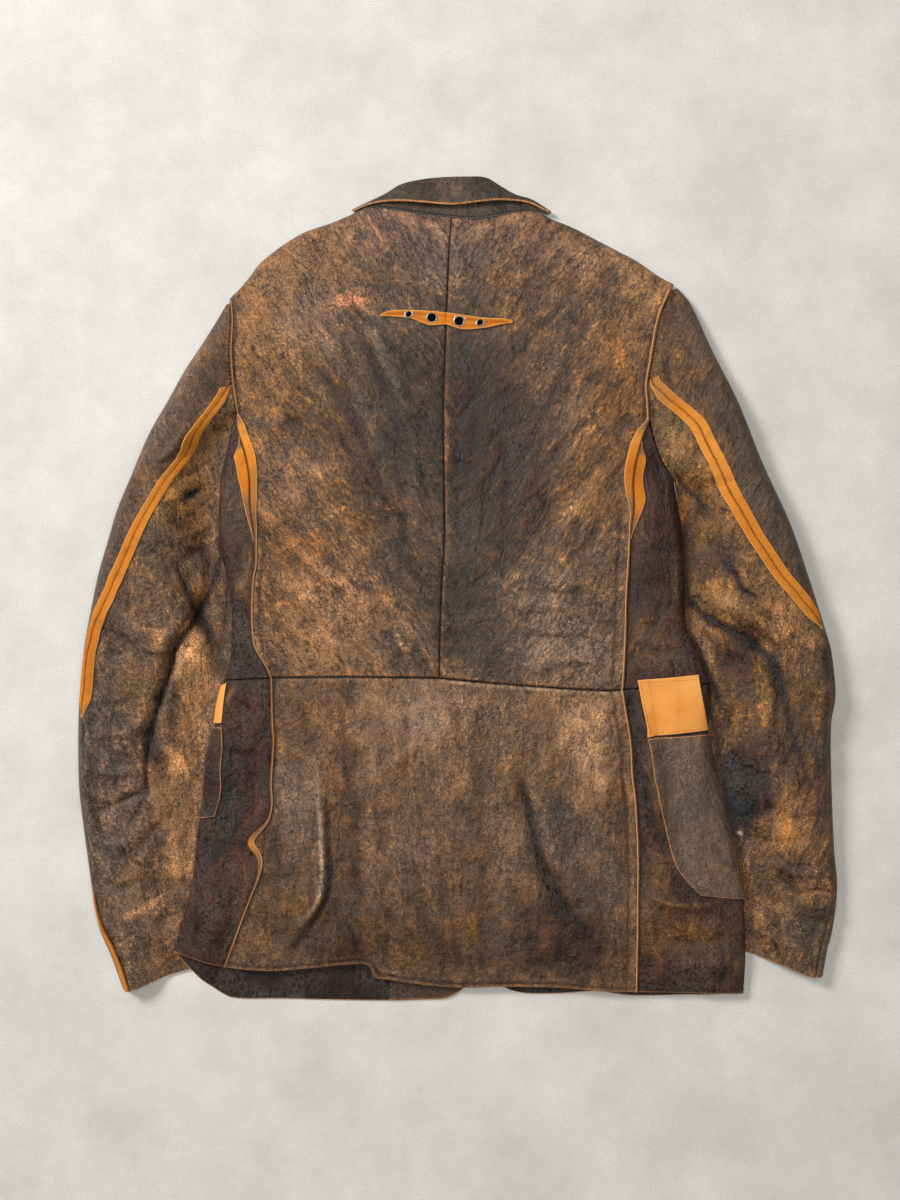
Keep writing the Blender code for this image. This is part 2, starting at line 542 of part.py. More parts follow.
def skirt_panels():
    """Back skirt below the waist, and the lower side panels, down to the hem."""
    left_seam = sample(SKIRT_SEAM_LEFT, even(SKIRT_ROWS))
    right_seam = sample(SKIRT_SEAM_RIGHT, even(SKIRT_ROWS))
    bulge = lens_widths(even(SKIRT_ROWS), (0, 0.44, 0.56, 0.64, 0.7, 1),
                        (RAW_EDGE, RAW_EDGE, 7, 5, RAW_EDGE, RAW_EDGE))
    right_inner = beside(right_seam, np.full(SKIRT_ROWS + 1, -RAW_EDGE))
    rails = [left_seam, beside(left_seam, bulge), right_inner, right_seam]
    top = joined(WAIST_L, WAIST_R)
    hem = sample(HEM, np.concatenate([[0.0], 0.006 + 0.988 * even(2 * BACK_COLUMNS), [1.0]]))
    grid = rail_grid(rails, [even(1), even(2 * BACK_COLUMNS), even(1)], top, hem)
    skirt = drawn_in(grid)
    panel("back_skirt", skirt, brown_leather())
    strip_on("allowance_skirt_left", skirt, (0, SKIRT_ROWS), (0, 1), raw_suede())
    last = skirt.shape[1] - 1
    strip_on("allowance_skirt_right", skirt, (0, SKIRT_ROWS), (last - 1, last), raw_suede())

    edge = INSIDE_LEFT[SIDE_ROWS:]
    grid = rail_grid([edge, left_seam], [even(8) ** 1.6], bottom=sample(SIDE_HEM_LEFT, even(8) ** 1.6))
    grid[0] = in_line(grid[0])
    panel("side_left_lower", drawn_in(grid, left=0.0, top=GAP), brown_leather())
    edge = INSIDE_RIGHT[RIGHT_SIDE_ROWS:]
    grid = rail_grid([right_seam, edge], [1 - (even(9) ** 1.7)[::-1]])
    grid[0] = in_line(grid[0])
    panel("side_right_lower", drawn_in(grid, right=0.0, top=GAP), brown_leather())


def front_height(plan):
    """Upper face of the fronts: on the floor, or carried by the sleeves' inner edges."""
    return LEATHER + front_lift(plan)


def front_panels():
    """Fronts under the back, edge to edge, with the open neck and the rounded hems."""
    columns = np.array([0.0, 0.045, 0.09, 0.16, 0.34, 0.56, 0.78, 0.95, 1.0])
    hem_columns = np.array([0.0, 0.06, 0.13, 0.2, 0.38, 0.6, 0.8, 0.95, 1.0])
    outer = joined(ARM_LEFT, EDGE_LEFT, EDGE_LEFT_LOW)
    inner = sample(FRONT_EDGE_LEFT, even(len(outer) - 1))
    top = sample(SHOULDER_LEFT[::-1], columns)
    grid = rail_grid([outer, inner], [columns], top, sample(FRONT_HEM_LEFT, hem_columns))
    panel("front_left", drawn_in(grid, left=EDGE, top=EDGE), brown_leather(), front_height)

    outer = joined(ARM_RIGHT, ARM_RIGHT_LOW, EDGE_RIGHT, EDGE_RIGHT_LOW)
    inner = sample(FRONT_EDGE_RIGHT, even(len(outer) - 1))
    top = sample(SHOULDER_RIGHT, 1 - columns[::-1])
    grid = rail_grid([inner, outer], [1 - columns[::-1]], top, sample(FRONT_HEM_RIGHT, hem_columns)[::-1])
    panel("front_right", drawn_in(grid, right=EDGE, top=EDGE), brown_leather(), front_height)


def front_facing():
    """Facing on the inside of the left front, where it shows below the back hem."""
    stations = even(8)
    hem = np.array([point for point in FRONT_HEM_LEFT if point[0] >= FACING_START[0]], dtype=float)
    low = sample(hem, stations)
    low[:, 1] += 1.2
    grid = np.stack([sample(FACING_INNER, stations), low])
    points = np.dstack([grid, np.full(grid.shape[:2], LEATHER + GAP)])
    out = np.zeros_like(points)
    out[..., 2] = 1.0
    wall("front_facing_left", points, out, 0.0, SUEDE, brown_leather())


def grid_normals(points):
    """Outward directions of a point grid whose rows run down and columns run to the outside."""
    way = np.cross(np.gradient(points, axis=0), np.gradient(points, axis=1))
    return way / np.linalg.norm(way, axis=2)[..., None]


def sleeve(side, sign, armhole, arm_steps, hind_row, outline, fold, corner, cuff, hind, folds):
    """Sleeve as a flat tube: under sleeve, top sleeve that turns under at the outer edge, allowances."""
    upper_rows = len(armhole) - 1
    rows = upper_rows + SLEEVE_ROWS
    steps = np.concatenate([arm_steps[:-1] ** 1.15 * SHARE_AT_ARMPIT,
                            SHARE_AT_ARMPIT + (1 - SHARE_AT_ARMPIT) * even(SLEEVE_ROWS)])
    outer = sample(outline, steps)
    tucked = [(x - sign * TUCK, y) for x, y in fold[1:] if y > corner[1] + 25]
    inner_low = sample([fold[0]] + tucked + [corner], even(SLEEVE_ROWS))
    inner_low[1] = sample(fold, [BELOW_ARMPIT])[0]
    inner = joined(armhole, inner_low)
    inner[upper_rows:upper_rows + 2, 0] += sign * 1.0
    span = outer - inner
    width = np.linalg.norm(span, axis=1)
    way = span / width[:, None]

    # Share of the width at which the hind seam crosses each row
    hind_line = dense_curve(hind)
    seam_at = np.zeros(rows + 1)
    for i in range(rows + 1):
        rel = hind_line - inner[i]
        across = rel @ way[i]
        off = np.abs(rel @ np.array([-way[i][1], way[i][0]]))
        seam_at[i] = across[off.argmin()] if i > hind_row else 0.0
    inside = np.interp(steps, (0.0, 0.88, 0.93, 1.0),
                       (SEAM_INSIDE, SEAM_INSIDE, CUFF_SEAM_INSIDE, CUFF_SEAM_INSIDE))
    passed = inner[:, 1] < hind[-1][1]
    seam_at = np.where(passed, width - inside, np.minimum(seam_at, width - inside))
    seam_at[hind_row] = 3.0

    # Distances from the inner edge, column by column
    leaf_in = np.minimum(ALLOWANCE, 0.5 * seam_at)
    leaf_out = np.minimum(ALLOWANCE, 0.5 * (width - seam_at))
    under = even(5)[None, :] * (seam_at - leaf_in)[:, None]
    pressed = np.where(np.arange(rows + 1) > upper_rows + 1, TUCK + 5.0, 0.0)
    pressed[upper_rows + 1] = 8.0
    under[:, 1] = np.where(pressed > 0, np.minimum(pressed, 0.3 * seam_at), under[:, 1])
    top_start = seam_at + leaf_out
    spread = 1.0 - (1.0 - even(5)) ** 2
    over = top_start[:, None] + spread[None, :] * (width - top_start)[:, None]
    reach = np.concatenate([under, seam_at[:, None], over], axis=1)
    seam_col = under.shape[1]
    outer_col = reach.shape[1] - 1

    # Heights across each row
    flat = inner[:, None, :] + way[:, None, :] * reach[..., None]
    height_in = np.full(rows + 1, PRESSED)
    height_in[:upper_rows + 1] = np.maximum(back_height(inner[:upper_rows + 1]), PRESSED + 0.4)
    crown = np.interp(steps, SLEEVE_CROWN_AT, SLEEVE_CROWN)
    ease = np.minimum(SLEEVE_EASE, 0.55 * width)
    core = smooth((reach - pressed[:, None]) / ease[:, None])
    core = height_in[:, None] + (crown - height_in)[:, None] * core
    roll = np.minimum(SLEEVE_ROLL, 0.7 * width)[:, None]
    rounded = quarter(width[:, None] - reach, roll)
    fade = smooth((reach - pressed[:, None]) / 16.0) * smooth((width[:, None] - reach) / 12.0)
    creased = fold_height(flat.reshape(-1, 2), lines_of(folds)).reshape(reach.shape) * fade
    high = SLEEVE_FOLD + (core - SLEEVE_FOLD) * rounded + creased
    high = np.maximum(high, np.where(reach < width[:, None] - 3.0, PRESSED, SLEEVE_FOLD))
    upper = np.dstack([flat, high])

    # Turn under at the outer edge, then the flat underside
    turn = []
    for angle in (45.0, 90.0):
        back = SLEEVE_FOLD * (1 - math.cos(math.radians(angle)))
        drop = SLEEVE_FOLD * (1 - math.sin(math.radians(angle)))
        turn.append(np.column_stack([outer - way * back, np.full(rows + 1, drop)])[:, None, :])
    last = outer - way * SLEEVE_FOLD
    below = []
    for share in (0.3, 0.65, 1.0):
        plan = last * (1 - share) + inner * share
        below.append(np.column_stack([plan, np.zeros(rows + 1)])[:, None, :])
    tube = np.concatenate([upper] + turn + below, axis=1)
    tube[-1, :, :2] = cuff_line(tube[-1, :, :2], cuff)

    normals = np.zeros_like(tube)
    normals[:hind_row + 1, seam_col:] = grid_normals(tube[:hind_row + 1, seam_col:])
    normals[hind_row:] = grid_normals(tube[hind_row:])
    normals *= np.sign(normals[rows // 2, seam_col, 2])
    normals[:, outer_col + 2:] = (0.0, 0.0, -1.0)

    def block(r0, c0, c1):
        points = drawn_in(tube[r0:, c0:c1 + 1])
        near_arm = upper_rows + 1 - r0
        points[:near_arm, 0] = drawn_in(tube[r0:, c0:c1 + 1], left=ARMHOLE_GAP)[:near_arm, 0]
        if r0 == 0:
            points[:2, 0] = drawn_in(tube[:, c0:c1 + 1], left=3.0 * ARMHOLE_GAP)[:2, 0]
        return points, normals[r0:, c0:c1 + 1]

    points, out = block(hind_row, 0, seam_col)
    wall("sleeve_%s_under" % side, points, out, -LEATHER, 0.0, brown_leather())
    strip_rows = 12
    wall("sleeve_%s_allowance_inner" % side, points[:strip_rows + 1, -2:], out[:strip_rows + 1, -2:],
         GAP, GAP + SUEDE, raw_suede())
    points, out = block(0, seam_col, tube.shape[1] - 1)
    wall("sleeve_%s_top" % side, points, out, -LEATHER, 0.0, brown_leather())
    outer_rows = slice(hind_row, hind_row + strip_rows + 1)
    wall("sleeve_%s_allowance_outer" % side, points[outer_rows, :2], out[outer_rows, :2],
         GAP, GAP + SUEDE, raw_suede())
    if side == "left":
        wall("sleeve_left_allowance_cuff", points[-5:, :2], out[-5:, :2], GAP, GAP + SUEDE, raw_suede())


def cuff_line(row, cuff):
    """Last row of a sleeve moved down or up to the cuff's curve."""
    line = dense_curve(cuff)
    order = np.argsort(line[:, 0])
    row = row.copy()
    row[:, 1] = np.interp(row[:, 0], line[order, 0], line[order, 1])
    return row


def sleeves():
    """Both sleeves, beside the body and just under its folded edges."""
    sleeve("left", -1.0, ARM_LEFT[2:], STEPS_LEFT[2:], HIND_ROW_LEFT - 2, SLEEVE_LEFT,
           FOLD_LEFT + FOLD_LEFT_LOW[1:], CUFF_CORNER_LEFT, CUFF_LEFT, HIND_SEAM_LEFT, SLEEVE_LEFT_FOLDS)
    share = 0.7
    steps = np.concatenate([STEPS_RIGHT * share, (share + (1 - share) * even(LOWER_ARMHOLE_ROWS))[1:]])
    sleeve("right", 1.0, joined(ARM_RIGHT, ARM_RIGHT_LOW)[2:], steps[2:], HIND_ROW_RIGHT - 2, SLEEVE_RIGHT,
           FOLD_RIGHT + FOLD_RIGHT_LOW[1:], CUFF_CORNER_RIGHT, CUFF_RIGHT, HIND_SEAM_RIGHT,
           SLEEVE_RIGHT_FOLDS)


def collar():
    """Collar at the back neck: the stand slopes down to the fold, the fall comes back over it."""
    stations = even(COLLAR_ROWS)
    neck = sample(COLLAR_NECK, stations)
    raw = sample(COLLAR_RAW, stations)
    fold = sample(COLLAR_FOLD, stations)
    neck[:, 1] += 1.0
    start = back_height(neck) + GAP

    def stand_height(share):
        drop = smooth(share)
        return start * (1 - drop) + COLLAR_LOW * drop

    shares = even(4)
    rows = [neck * (1 - s * STAND_REACH) + fold * s * STAND_REACH for s in shares]
    points = np.stack([np.column_stack([row, stand_height(s)]) for row, s in zip(rows, shares)])
    points = drawn_in(points, left=0.0, right=0.0, bottom=0.0, top=SEAM)
    out = grid_normals(points)
    out *= np.sign(out[2, COLLAR_ROWS // 2, 2])
    wall("collar_stand", points, out, -LEATHER, 0.0, collar_leather())

    # Fall from the raw edge to the fold, whose round edge comes down on the stand
    reach = np.linalg.norm(fold - neck, axis=1)
    rows = []
    for s in 1.0 - (1.0 - even(6)) ** 1.8:
        plan = raw * (1 - s) + fold * s
        share = np.linalg.norm(plan - neck, axis=1) / reach
        edge = np.linalg.norm(plan - fold, axis=1)
        bulge = FALL_RISE * math.sin(math.pi * min(1.0, 0.25 + 0.75 * s))
        base = stand_height(share) + FALL_CLEAR + LEATHER
        lift = np.minimum(1.0, reach / 30.0) * bulge
        dip = 0.8 * (1 - smooth(edge / 5.0)) * smooth(reach / 20.0)
        rows.append(np.column_stack([plan, base + lift - dip]))
    points = np.stack(rows)
    out = grid_normals(points)
    out *= np.sign(out[2, COLLAR_ROWS // 2, 2])
    wall("collar_fall", points, out, -LEATHER, 0.0, collar_leather())


def fold_part(points, span, side):
    """The stretch of a fold between two heights, just inside its edge."""
    line = dense_curve(points)
    kept = line[(line[:, 1] <= span[0]) & (line[:, 1] >= span[1])]
    ends = [(np.interp(-y, -line[:, 1], line[:, 0]), y) for y in span]
    line = np.vstack([ends[:1], kept[::4], ends[1:]])
    return beside(line, np.full(len(line), side * (EDGE + 0.2)))


def patch(name, left, right, rows, columns, surface_material, thick=SUEDE, clear=PATCH_CLEAR):
    """Patch on the back layer between two edges."""
    grid = rail_grid([sample(left, even(rows)), sample(right, even(rows))], [columns])
    points, out = surface(grid, back_height)
    return wall(name, points, out, clear, clear + thick, surface_material)


def pockets():
    """Patch pockets that wrap the side folds, and the raw suede tabs at their tops."""
    right = fold_part(FOLD_RIGHT_LOW, POCKET_RIGHT_SPAN, -1)
    patch("pocket_right", POCKET_RIGHT, right, 9, 1 - (even(7) ** 1.8)[::-1], pocket_leather(), clear=1.0)
    patch("pocket_tab_right", TAB_RIGHT, TAB_RIGHT_FOLD, 5, 1 - (even(6) ** 1.6)[::-1], raw_suede(),
          clear=TAB_CLEAR)
    patch("pocket_left", fold_part(FOLD_LEFT_LOW, POCKET_LEFT_SPAN, 1), POCKET_LEFT, 6, even(4) ** 1.5,
          pocket_leather())
    patch("pocket_tab_left", fold_part(FOLD_LEFT_LOW, TAB_LEFT_SPAN, 1), TAB_LEFT, 3, even(3) ** 1.3,
          raw_suede())


def eyelet(name, x, y, rim, hole):
    """Metal eyelet: a round rim on the suede and a barrel through it and the leather."""
    base = back_height(np.array([[x, y]]))[0] + PATCH_CLEAR + SUEDE + GAP
    foot = base - GAP - SUEDE - PATCH_CLEAR - LEATHER
    barrel = hole + BARREL_WALL
    profile = [(hole, foot), (barrel, foot), (barrel, base), (rim, base), (rim, base + 0.45),
               (rim - 0.5, base + RIM_RISE), (hole + 0.5, base + RIM_RISE), (hole, base + 0.5)]
    verts = []
    faces = []
    steps = len(profile)
    for k in range(EYELET_SIDES):
        turn = 2 * math.pi * k / EYELET_SIDES
        for radius, z in profile:
            verts.append(np.array([x + radius * math.cos(turn), y + radius * math.sin(turn), z]))
        nxt = (k + 1) % EYELET_SIDES
        for s in range(steps):
            t = (s + 1) % steps
            faces.append((k * steps + s, nxt * steps + s, nxt * steps + t, k * steps + t))
    return add_object(name, verts, faces, eyelet_metal())


def cut_round(target, x, y, radius):
    """Round hole through a wall, cut by a cylinder that is only a guide."""
    place = (np.array([x, y, back_height(np.array([[x, y]]))[0]]) - MIDDLE) * MM
    bpy.ops.mesh.primitive_cylinder_add(vertices=EYELET_SIDES, radius=radius * MM, depth=CUTTER_DEPTH * MM,
                                        location=place)
    cutter = bpy.context.object
    cutter.name = "guide_%s_%d" % (target.name, round(x))
    cutter.hide_render = True
    cutter.display_type = "WIRE"
    hole = target.modifiers.new("hole", "BOOLEAN")
    hole.operation = "DIFFERENCE"
    hole.solver = "EXACT"
    hole.object = cutter


def welt():
    """Raw suede welt across the centre seam, in two halves, with four eyelets through it."""
    halves = []
    for name, high, low in (("eyelet_band_left", WELT_TOP_LEFT, WELT_LOW_LEFT),
                            ("eyelet_band_right", WELT_TOP_RIGHT, WELT_LOW_RIGHT)):
        grid = np.stack([sample(high, even(7)), sample(low, even(7))])
        points, out = surface(grid, back_height)
        halves.append(wall(name, points, out, PATCH_CLEAR, PATCH_CLEAR + SUEDE, raw_suede()))
    for number, (x, y, rim, hole) in enumerate(EYELETS, 1):
        half = 0 if x < -12 else 1
        back = bpy.data.objects[("back_left", "back_right")[half]]
        for target in (halves[half], back):
            cut_round(target, x, y, hole + BARREL_WALL + GAP)
        eyelet("eyelet_%d" % number, x, y, rim, hole)


def build():
    for old in list(bpy.data.objects):
        bpy.data.objects.remove(old, do_unlink=True)
    back_panels()
    side_panels()
    skirt_panels()
    front_panels()
    front_facing()
    sleeves()
    collar()
    pockets()
    welt()


build()
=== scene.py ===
# %% [markdown]
# # A worn leather jacket, laid on its front
#
# The jacket lies back upwards on a pale floor, with its sleeves along its sides.
# It is made of brown leather whose seams were left with their raw, orange suede edges
# on the outside. In this lesson every leather piece becomes a thin shell that lies where
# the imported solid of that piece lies, with finer folds, rolled edges, grain and stitches.
#
# Plan sizes are in millimetres, as a pattern cutter would write them, and they are
# turned into metres only when a mesh is made.

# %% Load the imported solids
import math

import bmesh
import bpy
import numpy as np
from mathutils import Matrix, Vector


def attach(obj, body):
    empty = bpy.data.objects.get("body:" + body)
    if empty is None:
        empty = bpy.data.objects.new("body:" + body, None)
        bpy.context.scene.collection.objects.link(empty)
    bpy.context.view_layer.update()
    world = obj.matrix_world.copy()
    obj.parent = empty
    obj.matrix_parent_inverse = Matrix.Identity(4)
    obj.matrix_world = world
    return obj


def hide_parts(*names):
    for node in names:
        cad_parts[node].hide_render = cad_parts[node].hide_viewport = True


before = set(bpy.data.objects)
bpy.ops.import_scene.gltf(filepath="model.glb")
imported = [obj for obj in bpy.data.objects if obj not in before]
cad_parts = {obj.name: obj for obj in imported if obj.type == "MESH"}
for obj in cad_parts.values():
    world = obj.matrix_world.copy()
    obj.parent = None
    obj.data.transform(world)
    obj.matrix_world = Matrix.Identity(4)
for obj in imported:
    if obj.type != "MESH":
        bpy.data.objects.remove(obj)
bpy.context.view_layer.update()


# %% [markdown]
# ## The sizes of the leather
#
# Leather for a jacket is a little over a millimetre thick. Two layers that meet at a
# seam are kept a hair apart, so that no two shells share a surface. The fine step is the
# distance between neighbouring points of a shell; it decides how small a fold can be
# real geometry and not only shading.

# %% Leather, gaps and the fine step
MM = 0.001
MIDDLE = np.array([-1.158, 0.331, 0.0])
LEATHER = 1.3
SUEDE = 1.2
GAP = 0.3
SEAM = GAP / 2.0
PATCH_CLEAR = 0.8
TAB_CLEAR = 1.2
FINE_STEP = 2.1
CREASE_GAIN = 2.3

# %% Rise of the back over the fronts
ROLL = 11.0
EDGE = 0.5
EDGE_LEVEL = 0.22
CORNER_LIFT = 3.0
CORNER_REACH = 8.0
CROWN = 12.0
CROWN_REACH = 60.0
HEM_SHARE = 0.30
HEM_REACH = 50.0
NECK_SHARE = 0.45
NECK_REACH = 45.0
FADE_REACH = 14.0
CALM_HEM = 0.3
CALM_REACH = 30.0
# The hide's waviness: height, size and seed of each layer of lumps
BODY_WAVES = ((0.8, 34.0, 1), (0.45, 13.0, 2))
SLEEVE_WAVES = ((0.9, 24.0, 5), (0.5, 10.0, 6))

# %% Stitched seams: the dip of a topstitched row, and the puckers that fade beside a seam
# The drift is how far the puckers wander along a seam, and the size of that wander
ROW_DIP = 0.55
ROW_WIDTH = 1.5
PUCKER = 0.35
PUCKER_REACH = 7.0
PUCKER_DRIFT = (2.2, 31.0)
PUCKER_LUMPS = 44.0

# %% How the fronts are carried over the sleeves' inner edges
TUCK = 12.0
PRESSED = 2 * LEATHER + GAP
FRONT_LIFT = PRESSED + 0.5
LIFT_FLAT = 34.0
LIFT_RAMP = 20.0
LIFT_START = 14.0

# %% Sleeve sizes
SLEEVE_ROLL = 13.0
SLEEVE_FOLD = 2.5
SLEEVE_EASE = 55.0
SLEEVE_CROWN_AT = (0.0, 0.06, 0.2, 0.5, 0.8, 1.0)
SLEEVE_CROWN = (7.0, 17.0, 24.0, 25.0, 20.0, 15.0)
ALLOWANCE = 8.0
RAW_EDGE = 2.4
SLEEVE_LONG = 560.0
SLEEVE_ROWS = 22
SIDE_ROWS = 12
RIGHT_SIDE_ROWS = 13
LOWER_ARMHOLE_ROWS = 3
SKIRT_ROWS = 14
SHOULDER_COLUMNS = 6
NECK_COLUMNS = 5
ARMHOLE_SHARE = 0.38
ARMPIT_SHARE = 0.24
SEAM_DIP = 0.9
SEAM_DIP_WIDTH = 1.6

# %% [markdown]
# ## The outlines
#
# Each outline is a short list of points along a seam, an edge or a fold, with the
# wearer's right at +X and the neck at +Y. Smooth curves run through them, so that few
# points are needed. Neighbouring pieces share the same line, which is what keeps a seam
# closed all along its length.

# %% Outlines of the pieces
NECK_LEFT = [(-104, 361), (-84, 367), (-60, 364), (-34, 360), (-7, 357)]
NECK_RIGHT = [(-7, 357), (20, 356), (40, 359), (67, 364), (89, 357)]
SHOULDER_LEFT = [(-104, 361), (-123, 353), (-153, 342), (-190, 316), (-204, 298), (-220, 280)]
SHOULDER_RIGHT = [(89, 357), (111, 348), (132, 337), (155, 325), (172, 316), (189, 304), (207, 293)]
ARMHOLE_LEFT = [(-220, 280), (-218, 253), (-219, 228), (-218, 203), (-216, 185), (-213, 167)]
ARMHOLE_RIGHT = [(207, 293), (192, 259), (183, 213), (180, 195), (181, 177), (182, 161)]
ARMHOLE_RIGHT_LOW = [(182, 161), (187, 141), (194, 123), (207, 103)]
CENTRE_SEAM = [(-7, 357), (-9, 330), (-12, 262), (-14, 206), (-15, 163), (-14, 47), (-17, -5), (-19, -85)]
SIDE_SEAM_LEFT = [(-213, 167), (-211, 151), (-204, 129), (-200, 108), (-199, 77), (-196, 55),
                  (-195, 25), (-198, 6), (-199, -20), (-198, -47), (-195, -58), (-185, -75), (-181, -85)]
SIDE_SEAM_RIGHT = [(182, 161), (174, 141), (168, 117), (166, 99), (167, 79), (165, 61), (163, 28),
                   (161, -4), (160, -44), (158, -84), (157, -96)]
WAIST_LEFT = [(-181, -85), (-105, -84), (-19, -85)]
WAIST_RIGHT = [(-19, -85), (1, -87), (74, -93), (142, -97), (157, -96)]
FOLD_LEFT = [(-213, 167), (-224, 133), (-230, 100), (-231, 47), (-224, 12), (-219, -21), (-219, -49),
             (-221, -72), (-226, -87)]
FOLD_LEFT_LOW = [(-226, -87), (-232, -110), (-236, -137), (-242, -160), (-246, -205), (-252, -232),
                 (-255, -268), (-263, -308), (-275, -348)]
FOLD_RIGHT = [(207, 103), (216, 47), (219, -36), (225, -49), (235, -73), (242, -90)]
FOLD_RIGHT_LOW = [(242, -90), (243, -102), (240, -136), (245, -167), (254, -210), (268, -264),
                  (274, -296), (276, -349), (274, -389)]
SKIRT_SEAM_LEFT = [(-181, -85), (-180, -127), (-179, -147), (-181, -186), (-180, -205), (-184, -220),
                   (-200, -236), (-202, -244), (-193, -258), (-194, -276), (-202, -297), (-227, -363)]
SKIRT_SEAM_RIGHT = [(157, -96), (160, -115), (165, -147), (167, -182), (169, -195), (172, -248),
                    (172, -310), (172, -387)]
HEM = [(-227, -363), (-204, -366), (-180, -367), (-151, -365), (-111, -361), (-88, -361), (-80, -373),
       (-68, -375), (-34, -380), (6, -383), (39, -382), (98, -383), (144, -387), (172, -387)]
SIDE_HEM_LEFT = [(-274.3, -348.2), (-258, -354), (-243, -359), (-227, -363)]
SIDE_HEM_RIGHT = [(172, -387), (210, -389), (274, -389)]

# %% Fronts, underneath: neck edge and front edge, then the rounded hems that show below the back
FRONT_EDGE_LEFT = [(-104, 361), (-80, 300), (-40, 160), (8, 30), (19, -20), (20, -60), (20, -200),
                   (19, -310), (16, -360), (8, -383)]
FRONT_EDGE_RIGHT = [(89, 357), (70, 300), (45, 160), (29, 30), (24, -20), (23, -60), (23, -200),
                    (24, -310), (29, -360), (39, -382)]
FRONT_HEM_LEFT = [(-275, -348), (-260, -364), (-247, -377), (-233, -387), (-223, -393), (-210, -395),
                  (-172, -395), (-132, -396), (-68, -397), (-34, -396), (-13, -395), (-2, -390), (8, -383)]
FRONT_HEM_RIGHT = [(274, -389), (230, -391), (163, -392), (135, -388), (98, -390), (65, -390), (50, -387),
                   (39, -382)]
FACING_START = (-68, -396)
FACING_INNER = [(-68, -352), (-30, -352), (4, -352)]

# %% Sleeves: outer edge, cuff corner hidden under the body, and hind seam
SLEEVE_LEFT = [(-220, 280), (-246, 237), (-263, 211), (-280, 180), (-298, 148), (-315, 108), (-328, 77),
               (-337, 47), (-346, 16), (-352, -12), (-359, -49), (-362, -73), (-365, -108), (-366, -152),
               (-365, -193), (-361, -228), (-355, -273), (-353, -288), (-346, -326), (-335, -352),
               (-328, -371), (-323, -385)]
SLEEVE_RIGHT = [(207, 293), (222, 276), (244, 229), (268, 181), (292, 121), (318, 64), (336, 12),
                (353, -42), (358, -60), (362, -102), (358, -128), (358, -176), (361, -251), (364, -284),
                (362, -311), (358, -335), (355, -345), (350, -373)]
CUFF_CORNER_LEFT = (-258, -366)
CUFF_CORNER_RIGHT = (264, -345)
CUFF_LEFT = [(-258, -366), (-279, -372), (-300, -380), (-315, -385), (-323, -385)]
CUFF_RIGHT = [(264, -345), (295, -356), (315, -363), (335, -371), (350, -373)]
HIND_SEAM_LEFT = [(-218, 196), (-239, 166), (-252, 149), (-263, 126), (-276, 108), (-290, 85), (-301, 66),
                  (-312, 42), (-321, 21), (-335, -11), (-345, -32), (-352, -59), (-355, -87), (-359, -120)]
HIND_SEAM_RIGHT = [(183, 196), (200, 181), (226, 158), (236, 139), (250, 112), (262, 86), (280, 53),
                   (294, 31), (307, 12), (324, -8), (341, -30), (352, -54), (356, -100)]
SEAM_INSIDE = 5.0
ARMHOLE_GAP = 0.7
CUFF_SEAM_INSIDE = 9.0

# %% Collar: neck seam, raw edge of the fall, folded outline
COLLAR_NECK = [(-100, 361.3), (-84, 366.5), (-60, 364), (-34, 360), (-7, 357), (20, 356), (40, 359),
               (67, 363.5), (85, 359.5)]
COLLAR_RAW = [(-101.5, 363), (-84, 369.5), (-60, 371), (-34, 369), (-7, 367), (20, 370), (40, 372),
              (66, 370.5), (87, 361.5)]
COLLAR_FOLD = [(-103, 365), (-84, 374), (-70, 381), (-57, 389), (-43, 393), (-21, 396), (7, 397),
               (26, 396), (40, 388), (54, 380), (70, 375), (89, 363)]
COLLAR_LOW = 3.2
FALL_CLEAR = 1.4
FALL_RISE = 4.5

# %% Pockets and their suede tabs
POCKET_RIGHT = [(180.5, -142.5), (186, -176), (191, -204), (201, -247), (207, -265), (218, -280), (231, -292)]
POCKET_RIGHT_SPAN = (-139, -297)
TAB_RIGHT = [(170, -87), (180, -141)]
TAB_RIGHT_FOLD = [(228, -82), (237, -135)]
POCKET_LEFT = [(-226, -132), (-225, -148), (-227, -170), (-227, -195), (-233, -217)]
POCKET_LEFT_SPAN = (-133, -220)
TAB_LEFT = [(-221.5, -90), (-223, -100), (-226, -128)]
TAB_LEFT_SPAN = (-93, -129)

# %% Suede welt across the centre seam, with its metal eyelets: x, y, rim and hole radius
WELT_TOP_LEFT = [(-75, 261.5), (-64, 265), (-33, 265), (-12.3, 263)]
WELT_LOW_LEFT = [(-75, 259.5), (-61, 259), (-45, 257), (-29, 251), (-12.3, 251.5)]
WELT_TOP_RIGHT = [(-11.7, 263), (9, 260), (25, 258), (45, 257), (51, 255)]
WELT_LOW_RIGHT = [(-11.7, 251.5), (3, 247), (25, 248.5), (42, 252), (51, 253)]
EYELETS = [(-48, 261.2, 3.4, 2.3), (-26, 258, 5.2, 3.8), (0, 254.6, 5.4, 3.9), (20, 253.4, 3.7, 2.5)]

# %% [markdown]
# ## Large folds and fine creases
#
# Leather that was worn and then laid down keeps broad folds, and the small creases that
# bending pressed into it. Every fold here is a line with a half width and a height; a
# trough has a negative height. The first lists are the folds that the solids have too,
# and the finer ones are added on top of them.

